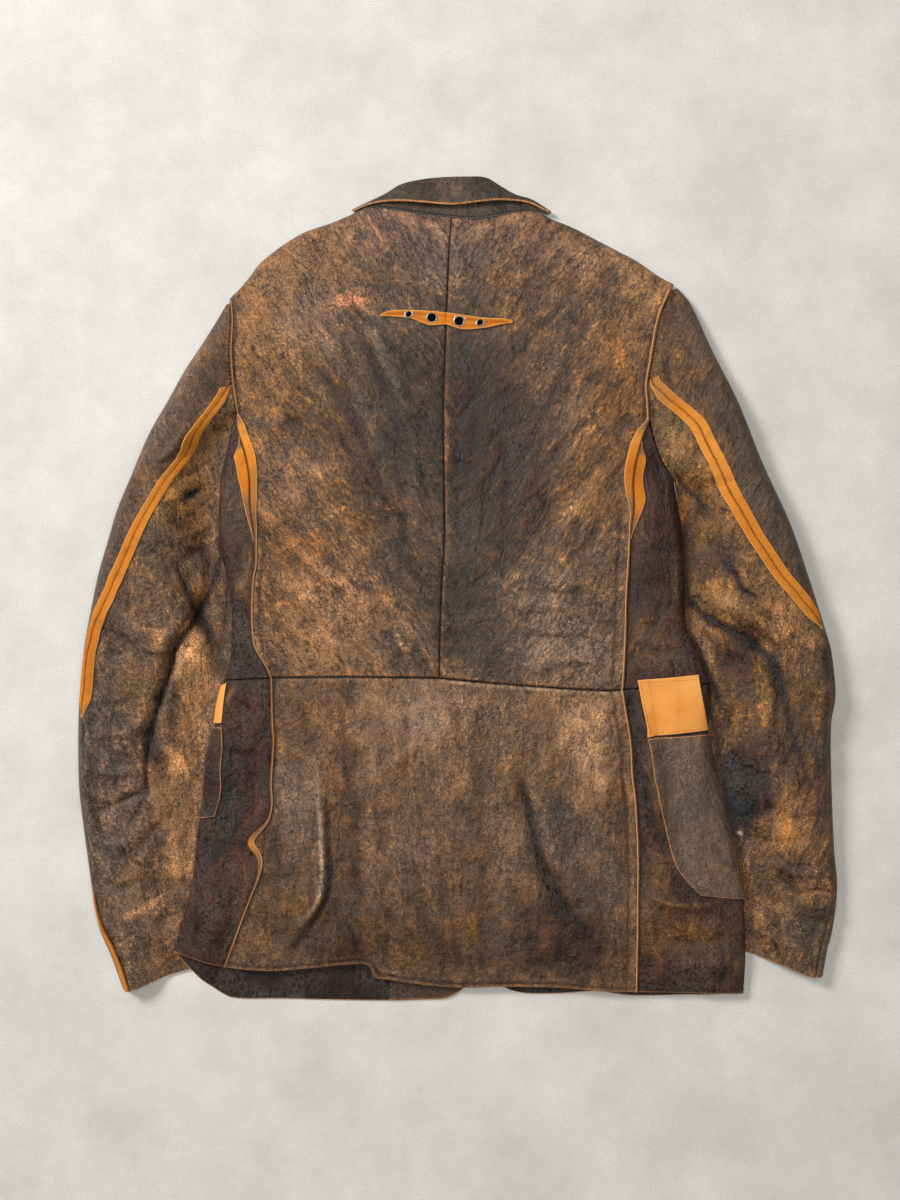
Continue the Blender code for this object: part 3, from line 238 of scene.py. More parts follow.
# %% Large folds, as in the solids
BODY_FOLDS = [
    ([(-134, -185), (-131, -240), (-132, -290), (-150, -320), (-172, -352)], 15, 3.6),
    ([(-131, -300), (-105, -330), (-84, -358)], 13, 3.2),
    ([(-112, -200), (-108, -260), (-100, -310)], 16, -2.6),
    ([(58, -180), (70, -226), (82, -268), (98, -300), (126, -330)], 16, -3.0),
    ([(-21, -150), (-19, -240), (-18, -360)], 18, 1.8),
    ([(20, -130), (24, -260), (22, -360)], 16, -1.8),
    ([(-152, 153), (-90, 60), (-30, -10)], 22, -2.2),
    ([(-165, 60), (-110, 0), (-60, -40)], 18, 1.8),
    ([(140, 150), (80, 70), (20, 10)], 22, -2.0),
    ([(66, -72), (110, -66), (140, -72)], 12, 2.2),
    ([(40, -20), (90, -18), (135, -24)], 12, 1.8),
    ([(-216, -95), (-222, -118)], 10, 1.8),
    ([(-224, -215), (-236, -240), (-246, -262)], 9, -3.0),
    ([(160, -104), (168, -150), (178, -215)], 12, -2.0),
]

# %% Large folds of the sleeves, as in the solids
SLEEVE_LEFT_FOLDS = [
    ([(-232, 47), (-229, 32), (-237, 5), (-259, -38), (-270, -54), (-287, -112), (-296, -150),
      (-298, -185)], 13, -5.0),
    ([(-273, 30), (-262, 2), (-252, -22)], 12, -3.0),
    ([(-309, -40), (-285, -36), (-272, -36)], 9, 2.4),
    ([(-310, -160), (-325, -190), (-346, -210)], 11, -2.8),
    ([(-298, -190), (-310, -215), (-317, -227)], 10, -2.4),
    ([(-253, 99), (-259, 92), (-267, 84)], 9, 2.4),
    ([(-352, -110), (-354, -180), (-350, -250)], 8, 2.2),
]
SLEEVE_RIGHT_FOLDS = [
    ([(221, -8), (245, -29), (266, -38), (284, -51), (300, -70), (308, -95), (315, -125), (326, -165),
      (332, -190)], 13, -4.6),
    ([(201, 122), (230, 86), (243, 66)], 12, -3.0),
    ([(252, 26), (262, 16), (272, 0), (284, -6)], 10, 2.6),
    ([(277, -243), (282, -313), (290, -340)], 11, 2.2),
    ([(318, -300), (345, -304), (360, -306)], 9, 2.4),
    ([(240, -30), (262, -80), (270, -130)], 16, 2.4),
]

# %% Fine creases of the body
BODY_CREASES = [
    ([(-134, -185), (-131, -240), (-132, -290), (-150, -320), (-172, -352)], 4.5, 1.5),
    ([(-127, -190), (-124, -240), (-125, -290), (-142, -324), (-162, -350)], 5.0, -1.3),
    ([(-131, -300), (-105, -330), (-84, -358)], 4.5, 1.3),
    ([(-122, -300), (-98, -324), (-78, -350)], 5.0, -1.2),
    ([(58, -180), (70, -226), (82, -268), (98, -300), (126, -330)], 5.5, -1.6),
    ([(68, -172), (81, -222), (93, -262), (110, -294)], 6.0, 1.3),
    ([(54, -1), (78, 0), (104, -3), (124, -1)], 3.2, -0.8),
    ([(52, -20), (80, -19), (112, -22)], 3.0, 0.9),
    ([(58, -42), (86, -45), (120, -44)], 3.2, -0.8),
    ([(78, -78), (96, -71), (116, -70), (135, -76)], 4.0, 1.1),
    ([(60, -66), (92, -62), (128, -62)], 3.0, -0.7),
    ([(-192, 92), (-160, 60), (-120, 30)], 5.0, 0.9),
    ([(-190, 60), (-150, 22), (-110, -6)], 5.0, -0.8),
    ([(-192, 12), (-158, -14), (-120, -38)], 5.5, 0.8),
    ([(-186, -30), (-150, -52), (-112, -66)], 5.0, -0.7),
    ([(-176, 128), (-132, 88), (-92, 40), (-66, 2)], 6.0, 0.9),
    ([(-152, 178), (-112, 140), (-78, 92)], 6.0, -0.8),
    ([(152, 120), (118, 84), (86, 36), (60, -8)], 6.0, 0.9),
    ([(150, 80), (120, 40), (88, 8)], 5.0, -0.8),
    ([(154, 36), (122, 12), (92, -10)], 5.0, 0.8),
    ([(140, 168), (100, 140), (66, 92)], 6.0, -0.8),
    ([(-36, 200), (-44, 150), (-38, 90), (-42, 30)], 6.0, 0.7),
    ([(20, 210), (26, 150), (18, 90), (22, 20)], 6.0, 0.7),
    ([(-60, 130), (-52, 70), (-56, 10)], 5.0, -0.6),
    ([(42, 150), (48, 100), (40, 40)], 5.0, -0.6),
    ([(-86, 318), (-60, 300), (-34, 306)], 5.0, -0.6),
    ([(12, 310), (44, 300), (80, 318)], 5.0, -0.6),
    ([(-170, -100), (-172, -160), (-168, -220)], 5.0, -0.7),
    ([(-150, -96), (-148, -150), (-140, -182)], 6.0, 0.8),
    ([(-104, -96), (-114, -150), (-112, -200)], 6.0, -0.8),
    ([(-80, -96), (-76, -150), (-84, -210), (-78, -262)], 6.0, 0.9),
    ([(-54, -96), (-48, -160), (-56, -220)], 5.0, -0.7),
    ([(-4, -100), (2, -160), (-4, -230)], 6.0, -0.8),
    ([(44, -100), (50, -150), (46, -200)], 6.0, 0.8),
    ([(84, -104), (92, -150), (96, -200)], 6.0, -0.7),
    ([(118, -106), (122, -170), (116, -230)], 6.0, 0.8),
    ([(142, -104), (146, -180), (140, -250)], 5.0, -0.7),
    ([(-178, -236), (-160, -262), (-150, -300), (-164, -340)], 6.0, -0.9),
    ([(-66, -300), (-40, -330), (-22, -360)], 6.0, 0.8),
    ([(-50, -262), (-30, -300), (-26, -350)], 5.0, -0.6),
    ([(40, -270), (50, -310), (44, -360)], 6.0, 0.8),
    ([(60, -240), (76, -290), (110, -318), (146, -346)], 6.0, 0.9),
    ([(110, -254), (136, -300), (150, -352)], 5.0, -0.7),
]
FLANK_CREASES = [
    ([(-214, 60), (-206, 40), (-210, 10)], 5.0, -1.2),
    ([(-224, 36), (-212, 24), (-200, 20)], 4.0, 1.0),
    ([(-218, -8), (-208, -20), (-200, -40)], 4.5, -1.0),
    ([(-214, -52), (-204, -66), (-190, -74)], 4.0, 0.9),
    ([(-222, -100), (-208, -112), (-190, -120)], 4.0, -0.9),
    ([(-232, -140), (-214, -150), (-192, -152)], 5.0, 0.8),
    ([(-212, -132), (-214, -180), (-206, -226)], 6.0, -1.4),
    ([(-238, -262), (-230, -300), (-236, -340)], 6.0, 1.2),
    ([(-250, -290), (-246, -320), (-254, -346)], 5.0, -1.0),
    ([(-218, -276), (-214, -310), (-232, -352)], 5.0, -0.8),
    ([(170, 60), (184, 44), (206, 40)], 4.5, 1.0),
    ([(168, 20), (186, 6), (212, 2)], 4.5, -1.0),
    ([(166, -20), (186, -30), (212, -26)], 4.5, 1.0),
    ([(164, -52), (184, -60), (214, -58)], 4.5, -1.0),
    ([(170, -112), (176, -132), (192, -150)], 4.0, 1.2),
    ([(170, -150), (178, -172), (190, -190)], 4.0, -1.2),
    ([(172, -190), (182, -210), (194, -226)], 4.0, 1.0),
    ([(174, -236), (186, -256), (204, -276)], 5.0, -1.0),
    ([(178, -290), (200, -300), (232, -302)], 5.0, 1.2),
    ([(176, -330), (206, -340), (262, -334)], 6.0, -0.9),
    ([(186, -352), (220, -362), (266, -360)], 6.0, 0.9),
]

# %% Fine creases of the sleeves
LEFT_SLEEVE_CREASES = [
    ([(-232, 47), (-229, 32), (-237, 5), (-248, -21), (-259, -38), (-270, -54), (-276, -80), (-287, -112),
      (-296, -150), (-299, -176), (-297, -195)], 3.0, -2.6),
    ([(-244, 34), (-246, 8), (-260, -18), (-272, -38), (-284, -62), (-294, -96), (-304, -140),
      (-308, -176)], 7.0, 1.8),
    ([(-297, -190), (-318, -200), (-347, -212)], 3.4, -1.6),
    ([(-248, 96), (-256, 92), (-262, 86)], 4.0, -2.2),
    ([(-309, -36), (-292, -38), (-272, -40)], 3.5, -1.2),
    ([(-302, -54), (-286, -60), (-270, -60)], 3.5, 1.2),
    ([(-306, -52), (-318, -62), (-332, -64)], 4.0, -1.0),
    ([(-230, 70), (-246, 58), (-268, 48)], 5.0, 1.4),
    ([(-236, 36), (-252, 34), (-270, 22)], 4.5, -1.4),
    ([(-240, 120), (-256, 112), (-276, 110)], 4.0, -1.0),
    ([(-262, 150), (-274, 130), (-292, 116)], 4.5, 1.0),
    ([(-246, -20), (-262, -30), (-276, -56)], 5.0, 1.6),
    ([(-264, -70), (-274, -96), (-278, -130)], 5.0, 1.6),
    ([(-306, -100), (-322, -112), (-340, -112)], 4.5, -1.2),
    ([(-300, -124), (-318, -138), (-338, -136)], 4.5, 1.2),
    ([(-310, -172), (-328, -176), (-348, -172)], 4.5, 1.4),
    ([(-306, -236), (-322, -244), (-344, -240)], 4.5, 1.0),
    ([(-280, -220), (-296, -236), (-312, -256)], 5.0, -1.2),
    ([(-262, -200), (-270, -240), (-262, -280)], 7.0, 1.2),
    ([(-300, -276), (-316, -286), (-336, -284)], 4.5, -1.0),
    ([(-282, -300), (-296, -320), (-300, -352)], 6.0, 1.0),
    ([(-262, -320), (-278, -336), (-300, -344)], 5.0, -0.8),
    ([(-344, -120), (-347, -180), (-343, -236)], 4.0, -1.2),
    ([(-358, -120), (-360, -170), (-356, -230)], 3.5, 1.0),
    ([(-330, 20), (-318, -6), (-300, -20)], 5.0, 1.0),
    ([(-340, -20), (-328, -50), (-330, -84)], 5.0, -1.0),
]
RIGHT_SLEEVE_CREASES = [
    ([(221, -8), (232, -22), (250, -34), (268, -44), (286, -58)], 4.5, -2.6),
    ([(224, 4), (244, -12), (266, -24), (288, -36), (304, -52), (314, -80)], 8.0, 2.0),
    ([(222, -40), (232, -62), (244, -90), (252, -112)], 3.6, -2.2),
    ([(201, 122), (216, 100), (232, 84), (243, 66)], 4.5, -1.6),
    ([(252, 22), (264, 10), (268, -2), (282, -10)], 3.5, -1.6),
    ([(246, 12), (258, 0), (262, -12)], 3.5, 1.4),
    ([(212, 96), (226, 78), (238, 54)], 5.0, 1.4),
    ([(204, 70), (224, 48), (246, 40)], 5.0, -1.2),
    ([(222, 150), (236, 128), (252, 110)], 5.0, -1.0),
    ([(238, 96), (250, 80), (266, 74)], 4.0, 1.0),
    ([(222, 18), (240, 4), (256, -14)], 5.0, 1.4),
    ([(226, -24), (246, -44), (262, -60)], 5.0, 1.8),
    ([(270, -60), (290, -82), (300, -110)], 5.0, 1.8),
    ([(282, -30), (302, -46), (322, -60)], 5.0, 1.2),
    ([(298, -8), (316, -26), (334, -44)], 4.5, -1.0),
    ([(320, -80), (334, -96), (346, -98)], 4.5, 1.2),
    ([(326, -130), (340, -140), (352, -136)], 4.5, -1.0),
    ([(244, -90), (256, -120), (258, -156)], 6.0, -1.2),
    ([(262, -160), (280, -176), (306, -180)], 5.0, -1.0),
    ([(300, -200), (320, -212), (346, -208)], 5.0, 1.2),
    ([(276, -236), (300, -244), (330, -240)], 5.0, -0.9),
    ([(300, -262), (324, -272), (350, -270)], 5.0, 1.2),
    ([(276, -290), (300, -300), (324, -300)], 5.0, -0.9),
    ([(322, -294), (340, -290), (358, -292)], 3.5, -1.4),
    ([(322, -312), (342, -318), (358, -322)], 4.0, -1.0),
    ([(284, -322), (300, -336), (330, -346)], 5.0, 0.9),
    ([(340, -120), (346, -180), (342, -236)], 5.0, 1.0),
]

# %% [markdown]
# ## Curves and distances
#
# A smooth curve through a few points, and points at chosen shares of its length, are
# all that is needed to lay out a garment. The distance from a point to such a curve says
# how much of a fold, a rolled edge or a seam's dip that point gets.

# %% Curves
def smooth(value):
    value = np.clip(value, 0.0, 1.0)
    return value * value * (3.0 - 2.0 * value)


def quarter(distance, radius):
    inside = 1.0 - np.clip(distance, 0.0, radius) / radius
    return np.sqrt(np.clip(1.0 - inside ** 2, 0.0, 1.0))


def dense_curve(points, steps=14):
    pts = np.array(points, dtype=float)
    if len(pts) == 2:
        return pts
    ends = np.vstack([2 * pts[0] - pts[1], pts, 2 * pts[-1] - pts[-2]])
    out = []
    for k in range(len(pts) - 1):
        a, b, c, d = ends[k:k + 4]
        span = np.linalg.norm(c - b)
        before = (c - a) * span / (np.linalg.norm(b - a) + span)
        after = (d - b) * span / (np.linalg.norm(d - c) + span)
        for t in np.linspace(0.0, 1.0, steps, endpoint=False):
            h1 = 2 * t ** 3 - 3 * t ** 2 + 1
            h2 = t ** 3 - 2 * t ** 2 + t
            h3 = -2 * t ** 3 + 3 * t ** 2
            h4 = t ** 3 - t ** 2
            out.append(h1 * b + h2 * before + h3 * c + h4 * after)
    out.append(pts[-1])
    return np.array(out)


def sample(points, stations):
    line = dense_curve(points)
    run = np.concatenate([[0.0], np.cumsum(np.linalg.norm(np.diff(line, axis=0), axis=1))])
    wanted = np.asarray(stations) * run[-1]
    return np.column_stack([np.interp(wanted, run, line[:, k]) for k in range(2)])


def even(count):
    return np.linspace(0.0, 1.0, count + 1)


def joined(*parts):
    return np.concatenate([parts[0]] + [part[1:] for part in parts[1:]])


def split(stations, length):
    """More stations between the given ones, about a fine step apart on a line of this length."""
    out = [np.asarray(stations[:1], dtype=float)]
    for a, b in zip(stations[:-1], stations[1:]):
        count = max(1, round(abs(b - a) * length / FINE_STEP))
        out.append(np.linspace(a, b, count + 1)[1:])
    return np.concatenate(out)


# %% Distances to a line
def distance_to(plan, line):
    start = line[:-1]
    step = np.diff(line, axis=0)
    size = (step ** 2).sum(axis=1)
    gaps = np.empty(len(plan))
    shares = np.empty(len(plan))
    for first in range(0, len(plan), 2000):
        rel = plan[first:first + 2000, None, :] - start[None]
        along = np.clip((rel * step).sum(axis=2) / size, 0.0, 1.0)
        gap = np.linalg.norm(rel - along[..., None] * step, axis=2)
        nearest = gap.argmin(axis=1)
        pick = np.arange(len(gap))
        gaps[first:first + len(gap)] = gap[pick, nearest]
        shares[first:first + len(gap)] = (nearest + along[pick, nearest]) / (len(line) - 1)
    return gaps, shares


def nearest_of(plan, lines):
    return np.min([distance_to(plan, line)[0] for line in lines], axis=0)


def lines_of(folds):
    return [(dense_curve(path, 4), width, height) for path, width, height in folds]


def fold_height(plan, lines):
    """Sum of the ridges and troughs, each worked out only near its line."""
    total = np.zeros(len(plan))
    for line, width, height in lines:
        low = line.min(axis=0) - 3 * width
        high = line.max(axis=0) + 3 * width
        near = np.flatnonzero(((plan > low) & (plan < high)).all(axis=1))
        if len(near):
            gap, share = distance_to(plan[near], line)
            total[near] += height * np.exp(-(gap / width) ** 2) * (0.35 + 0.65 * np.sin(math.pi * share))
    return total


# %% [markdown]
# ## Unevenness
#
# No leather lies as smooth as a formula. A lattice of seeded random values, eased between
# its points, gives gentle lumps of any size: in height for the hide's waviness, and in
# colour for the ragged borders of worn patches.

# %% Seeded lumps
def lumps(plan, size, seed):
    lattice = np.random.default_rng(seed).uniform(-1.0, 1.0, (64, 64))
    place = plan / size + 500.0
    cell = np.floor(place).astype(int)
    part = smooth(place - cell)
    x0, y0 = cell[:, 0] % 64, cell[:, 1] % 64
    x1, y1 = (x0 + 1) % 64, (y0 + 1) % 64
    top = lattice[x0, y0] * (1 - part[:, 0]) + lattice[x1, y0] * part[:, 0]
    low = lattice[x0, y1] * (1 - part[:, 0]) + lattice[x1, y1] * part[:, 0]
    return top * (1 - part[:, 1]) + low * part[:, 1]


def wavy(height, plan, waves):
    for share, size, seed in waves:
        height = height + share * lumps(plan, size, seed)
    return height


# %% [markdown]
# ## One height rule for each layer
#
# The back layer rises steeply out of its folded sides, crowns gently, and comes down to
# the hem and the neck. Every back piece is cut out of this one surface, so the pieces
# meet at their seams. The fronts lie flat on the floor, and rise only where the sleeves'
# inner edges lie under them.

# %% Lines that the height rule measures from
def measured(*outlines):
    return joined(*(dense_curve(points, 5) for points in outlines))


ROLL_LINES = [measured(SHOULDER_LEFT), measured(FOLD_LEFT, FOLD_LEFT_LOW),
              measured(SHOULDER_RIGHT), measured(FOLD_RIGHT, FOLD_RIGHT_LOW)]
SIDE_LINES = (ROLL_LINES[1], ROLL_LINES[3])
HEM_LINE = measured(SIDE_HEM_LEFT, HEM, SIDE_HEM_RIGHT)
NECK_LINE = measured(NECK_LEFT, NECK_RIGHT)
# Each seam with its dip, the dip's width and the pitch of its puckers
SEAM_LINES = [(measured(WAIST_LEFT, WAIST_RIGHT), -0.8, 2.2, 8.0),
              (dense_curve(CENTRE_SEAM, 4), -0.9, 2.2, 14.0)]
SEAM_LINES += [(measured(seam), 0.0, 1.0, 9.0)
               for seam in (ARMHOLE_LEFT, ARMHOLE_RIGHT, SIDE_SEAM_LEFT, SIDE_SEAM_RIGHT)]
SEAM_LINES += [(measured(seam), 0.0, 1.0, 10.0) for seam in (SKIRT_SEAM_LEFT, SKIRT_SEAM_RIGHT)]
BODY_LINES = lines_of(BODY_FOLDS)
CREASE_LINES = lines_of(BODY_CREASES + FLANK_CREASES)


def beside(rail, widths):
    way = np.gradient(rail, axis=0)
    way /= np.linalg.norm(way, axis=1)[:, None]
    return rail + np.column_stack([-way[:, 1], way[:, 0]]) * np.broadcast_to(widths, len(rail))[:, None]


def shifted(points, shift, first=0.0):
    """A seam's line moved sideways, such as to its row of topstitching."""
    line = dense_curve(points, 8)
    return beside(line[int(first * (len(line) - 1)):], shift)


TOPSTITCH_LINES = [shifted(SIDE_SEAM_LEFT, 8.0, 0.42), shifted(SIDE_SEAM_RIGHT, -11.5, 0.38),
                   shifted(SKIRT_SEAM_LEFT, -11.5), shifted(SKIRT_SEAM_RIGHT, -11.5),
                   shifted(HEM, 4.0), shifted(ARMHOLE_LEFT, 4.4), shifted(ARMHOLE_RIGHT, -4.4)]


# %% Height of the fronts and of the back
def front_lift(plan):
    total = np.zeros(len(plan))
    for line, armpit in zip(SIDE_LINES, (FOLD_LEFT[0], FOLD_RIGHT[0])):
        gap, _ = distance_to(plan, line)
        start = smooth((armpit[1] - plan[:, 1]) / LIFT_START)
        total += FRONT_LIFT * start * (1.0 - smooth((gap - LIFT_FLAT) / LIFT_RAMP))
    return total


def front_height(plan):
    return LEATHER + front_lift(plan)


def seam_height(plan):
    """Dips along pressed seams, and the small puckers that stitching draws up beside a seam."""
    total = -ROW_DIP * np.exp(-(nearest_of(plan, TOPSTITCH_LINES) / ROW_WIDTH) ** 2)
    for number, (line, dip, width, pitch) in enumerate(SEAM_LINES):
        length = np.linalg.norm(np.diff(line, axis=0), axis=1).sum()
        gap, share = distance_to(plan, line)
        drift = PUCKER_DRIFT[0] * lumps(plan, PUCKER_DRIFT[1], 70 + number)
        along = share * length / pitch * 2 * math.pi + drift
        total += dip * np.exp(-(gap / width) ** 2)
        uneven = 0.5 + 0.5 * lumps(plan, PUCKER_LUMPS, 90 + number)
        total += PUCKER * np.sin(along) * np.exp(-gap / PUCKER_REACH) * uneven
    return total


def back_height(plan):
    side = nearest_of(plan, ROLL_LINES)
    hem, _ = distance_to(plan, HEM_LINE)
    neck, _ = distance_to(plan, NECK_LINE)
    rise = ROLL * (quarter(side, ROLL) - quarter(EDGE_LEVEL, ROLL))
    rise = rise + CROWN * (1.0 - np.exp(-side / CROWN_REACH))
    ease = HEM_SHARE + (1.0 - HEM_SHARE) * (1.0 - np.exp(-hem / HEM_REACH))
    ease = ease * (NECK_SHARE + (1.0 - NECK_SHARE) * (1.0 - np.exp(-neck / NECK_REACH)))
    fade = smooth(side / FADE_REACH)
    folds = fold_height(plan, BODY_LINES) * fade
    fine = wavy(CREASE_GAIN * fold_height(plan, CREASE_LINES), plan, BODY_WAVES)
    fine = fine * (CALM_HEM + (1.0 - CALM_HEM) * smooth(hem / CALM_REACH))
    corners = np.zeros(len(plan))
    for corner in (ARMHOLE_LEFT[0], ARMHOLE_LEFT[-1], ARMHOLE_RIGHT[0], ARMHOLE_RIGHT_LOW[-1]):
        apart = np.linalg.norm(plan - np.array(corner, dtype=float), axis=1)
        corners += CORNER_LIFT * np.exp(-(apart / CORNER_REACH) ** 2)
    base = LEATHER * (2 - ease) + 2 * GAP + front_lift(plan) + rise * ease + folds + corners
    return base + (fine + seam_height(plan)) * fade


# %% [markdown]
# ## Grids between rails
#
# A panel is a grid whose columns follow its long seams. Two or more rails give the long
# sides, and the top and bottom rows are bent to their own outlines. A few extra rows and
# columns close to the borders give each piece a softly rounded cut edge.

# %% Plan grids
def rail_grid(rails, columns, top=None, bottom=None):
    strips = [rails[0][:, None, :]]
    for k, stations in enumerate(columns):
        share = np.asarray(stations)[1:][None, :, None]
        strips.append(rails[k][:, None, :] * (1 - share) + rails[k + 1][:, None, :] * share)
    grid = np.concatenate(strips, axis=1)
    run = sum(np.linalg.norm(np.diff(grid[:, side], axis=0), axis=1) for side in (0, -1))
    down = (np.concatenate([[0.0], np.cumsum(run)]) / run.sum())[:, None, None]
    bend = np.zeros_like(grid)
    if top is not None:
        bend += (1 - down) * (top - grid[0])[None]
    if bottom is not None:
        bend += down * (bottom - grid[-1])[None]
    return grid + bend


def drawn_in(grid, left=SEAM, right=SEAM, top=SEAM, bottom=SEAM):
    grid = grid.copy()

    def toward(a, b, gap):
        way = b - a
        size = np.maximum(np.linalg.norm(way, axis=-1, keepdims=True), 1e-6)
        return a + way * np.minimum(gap / size, 0.4)

    grid[:, 0] = toward(grid[:, 0], grid[:, 1], left)
    grid[:, -1] = toward(grid[:, -1], grid[:, -2], right)
    grid[0] = toward(grid[0], grid[1], top)
    grid[-1] = toward(grid[-1], grid[-2], bottom)
    return grid


def in_line(row):
    share = np.linalg.norm(row - row[0], axis=1) / np.linalg.norm(row[-1] - row[0])
    return row[0] + (row[-1] - row[0]) * share[:, None]


def bordered(points, reach=(0.25, 0.7)):
    """The grid with two more lines just inside each of its four borders."""
    for axis in (0, 1):
        points = np.moveaxis(points, axis, 0)
        for _ in range(2):
            way = points[1] - points[0]
            size = np.maximum(np.linalg.norm(way, axis=-1, keepdims=True), 1e-6)
            extra = [points[0] + way * np.minimum(step / size, 0.3 * (k + 1))
                     for k, step in enumerate(reach)]
            points = np.concatenate([points[:1], np.stack(extra), points[1:]])[::-1]
        points = np.moveaxis(points, 0, axis)
    return points


# %% [markdown]
# ## From a grid to a leather shell
#
# The outer face follows the grid, the inner face lies one leather thickness below it,
# and a rim closes the two, so each piece is a closed body that can be measured and
# exported. The plan position is kept as a UV map, and the painted tone of each point as
# a colour attribute that the materials read.

# %% Directions, rounding and the shell itself
def placed(name, data):
    made = bpy.data.objects.new(name, data)
    bpy.context.scene.collection.objects.link(made)
    return made


def directions(points):
    way = np.cross(np.gradient(points, axis=0), np.gradient(points, axis=1))
    return way / np.maximum(np.linalg.norm(way, axis=2), 1e-9)[..., None]


def border_distance(points, sides="lrtb"):
    """Distance along the surface to the nearest of these borders: left, right, top, bottom."""
    across = np.linalg.norm(np.diff(points, axis=1), axis=2)
    down = np.linalg.norm(np.diff(points, axis=0), axis=2)
    zero_col = np.zeros((points.shape[0], 1))
    zero_row = np.zeros((1, points.shape[1]))
    left = np.concatenate([zero_col, np.cumsum(across, axis=1)], axis=1)
    top = np.concatenate([zero_row, np.cumsum(down, axis=0)], axis=0)
    ways = {"l": left, "r": left[:, -1:] - left, "t": top, "b": top[-1:] - top}
    return np.minimum.reduce([np.full(left.shape, 50.0)] + [ways[side] for side in sides])


def shell(name, points, low, high, finish, paint, soft_edge=0.45, raw="", turned=""):
    """Closed shell between two offsets of a point grid; raw and turned name its borders of those kinds."""
    out = directions(points)
    rows, cols = points.shape[:2]
    soft = soft_edge * (1.0 - quarter(border_distance(points), 0.7))[..., None]
    upper = points + out * (high - soft)
    lower = points + out * (low + soft)
    verts = (np.vstack([upper.reshape(-1, 3), lower.reshape(-1, 3)]) - MIDDLE) * MM
    half = rows * cols
    a = (np.arange(rows - 1)[:, None] * cols + np.arange(cols - 1)[None]).reshape(-1)
    top_faces = np.column_stack([a, a + cols, a + cols + 1, a + 1])
    faces = [top_faces, half + top_faces[:, ::-1]]
    rim = list(range(cols)) + [i * cols + cols - 1 for i in range(1, rows)]
    rim += [(rows - 1) * cols + j for j in range(cols - 2, -1, -1)]
    rim += [i * cols for i in range(rows - 2, 0, -1)]
    rim = np.array(rim)
    after = np.roll(rim, -1)
    faces.append(np.column_stack([rim, after, after + half, rim + half]))
    faces = np.vstack(faces)
    mesh = bpy.data.meshes.new(name)
    mesh.from_pydata(verts, [], faces)
    mesh.shade_smooth()
    mesh.set_sharp_from_angle(angle=math.radians(55))
    plan = points[..., :2].reshape(-1, 2)
    tone = paint(plan)
    keep_attributes(mesh, plan, tone, border_distance(points, raw).reshape(-1),
                    border_distance(points, turned).reshape(-1))
    mesh.materials.append(finish)
    return placed(name, mesh)


def keep_attributes(mesh, plan, tone, to_raw, to_turned):
    """UV map from the plan, tone, and distances to raw and turned borders, on both faces."""
    uv = mesh.uv_layers.new(name="plan")
    corner = np.zeros(len(mesh.loops), dtype=np.int32)
    mesh.loops.foreach_get("vertex_index", corner)
    both = np.vstack([plan, plan]) * MM
    uv.data.foreach_set("uv", both[corner].astype(np.float32).ravel())
    colour = mesh.color_attributes.new("tone", "FLOAT_COLOR", "POINT")
    rgba = np.column_stack([tone, np.ones(len(tone))])
    colour.data.foreach_set("color", np.vstack([rgba, rgba]).astype(np.float32).ravel())
    for label, values in (("border", to_raw), ("pressed", to_turned)):
        made = mesh.attributes.new(label, "FLOAT", "POINT")
        made.data.foreach_set("value", np.concatenate([values, values]).astype(np.float32))


# %% [markdown]
# ## Declaring the cut of each piece
#
# A leather panel is a flat sheet that was cut and then worn into shape. The outer face
# is measured, and its widest row and longest column give the size of the blank that it
# was cut from. A seam allowance is cut about 10 mm wide, although less of it shows.

# %% Declare a piece
PIECES = {}
NARROWEST = 0.0101
TRIM = 1.002
LEAST_FILL = 0.302


def declare(piece, points, node, slot, rests_on, with_pieces=()):
    down = np.linalg.norm(np.diff(points, axis=0), axis=2).sum(axis=0).max()
    across = np.linalg.norm(np.diff(points, axis=1), axis=2).sum(axis=1).max()
    a, b, c, d = points[:-1, :-1], points[1:, :-1], points[1:, 1:], points[:-1, 1:]
    halves = [np.linalg.norm(np.cross(b - a, c - a), axis=2), np.linalg.norm(np.cross(c - a, d - a), axis=2)]
    area = (halves[0] + halves[1]).sum() / 2
    width = max(round(across * MM * TRIM, 4), NARROWEST)
    length = max(round(down * MM * TRIM, 4), NARROWEST)
    area = min(max(area * MM * MM, LEAST_FILL * width * length), width * length)
    PIECES[piece.name] = (piece, node, slot, (width, length), area, list(rests_on), list(with_pieces))
    print("%-30s cut %4.0f x %4.0f mm, %6.0f cm2" % (piece.name, width * 1000, length * 1000, area * 10000))
    return piece


def piece_of(name, node_name, points, low, high, finish, paint, slot, rests_on, **borders):
    """A shell between two offsets of these points, declared with its cut."""
    made = shell(name, points, low, high, finish, paint, **borders)
    return declare(made, points, node_name, slot, rests_on)
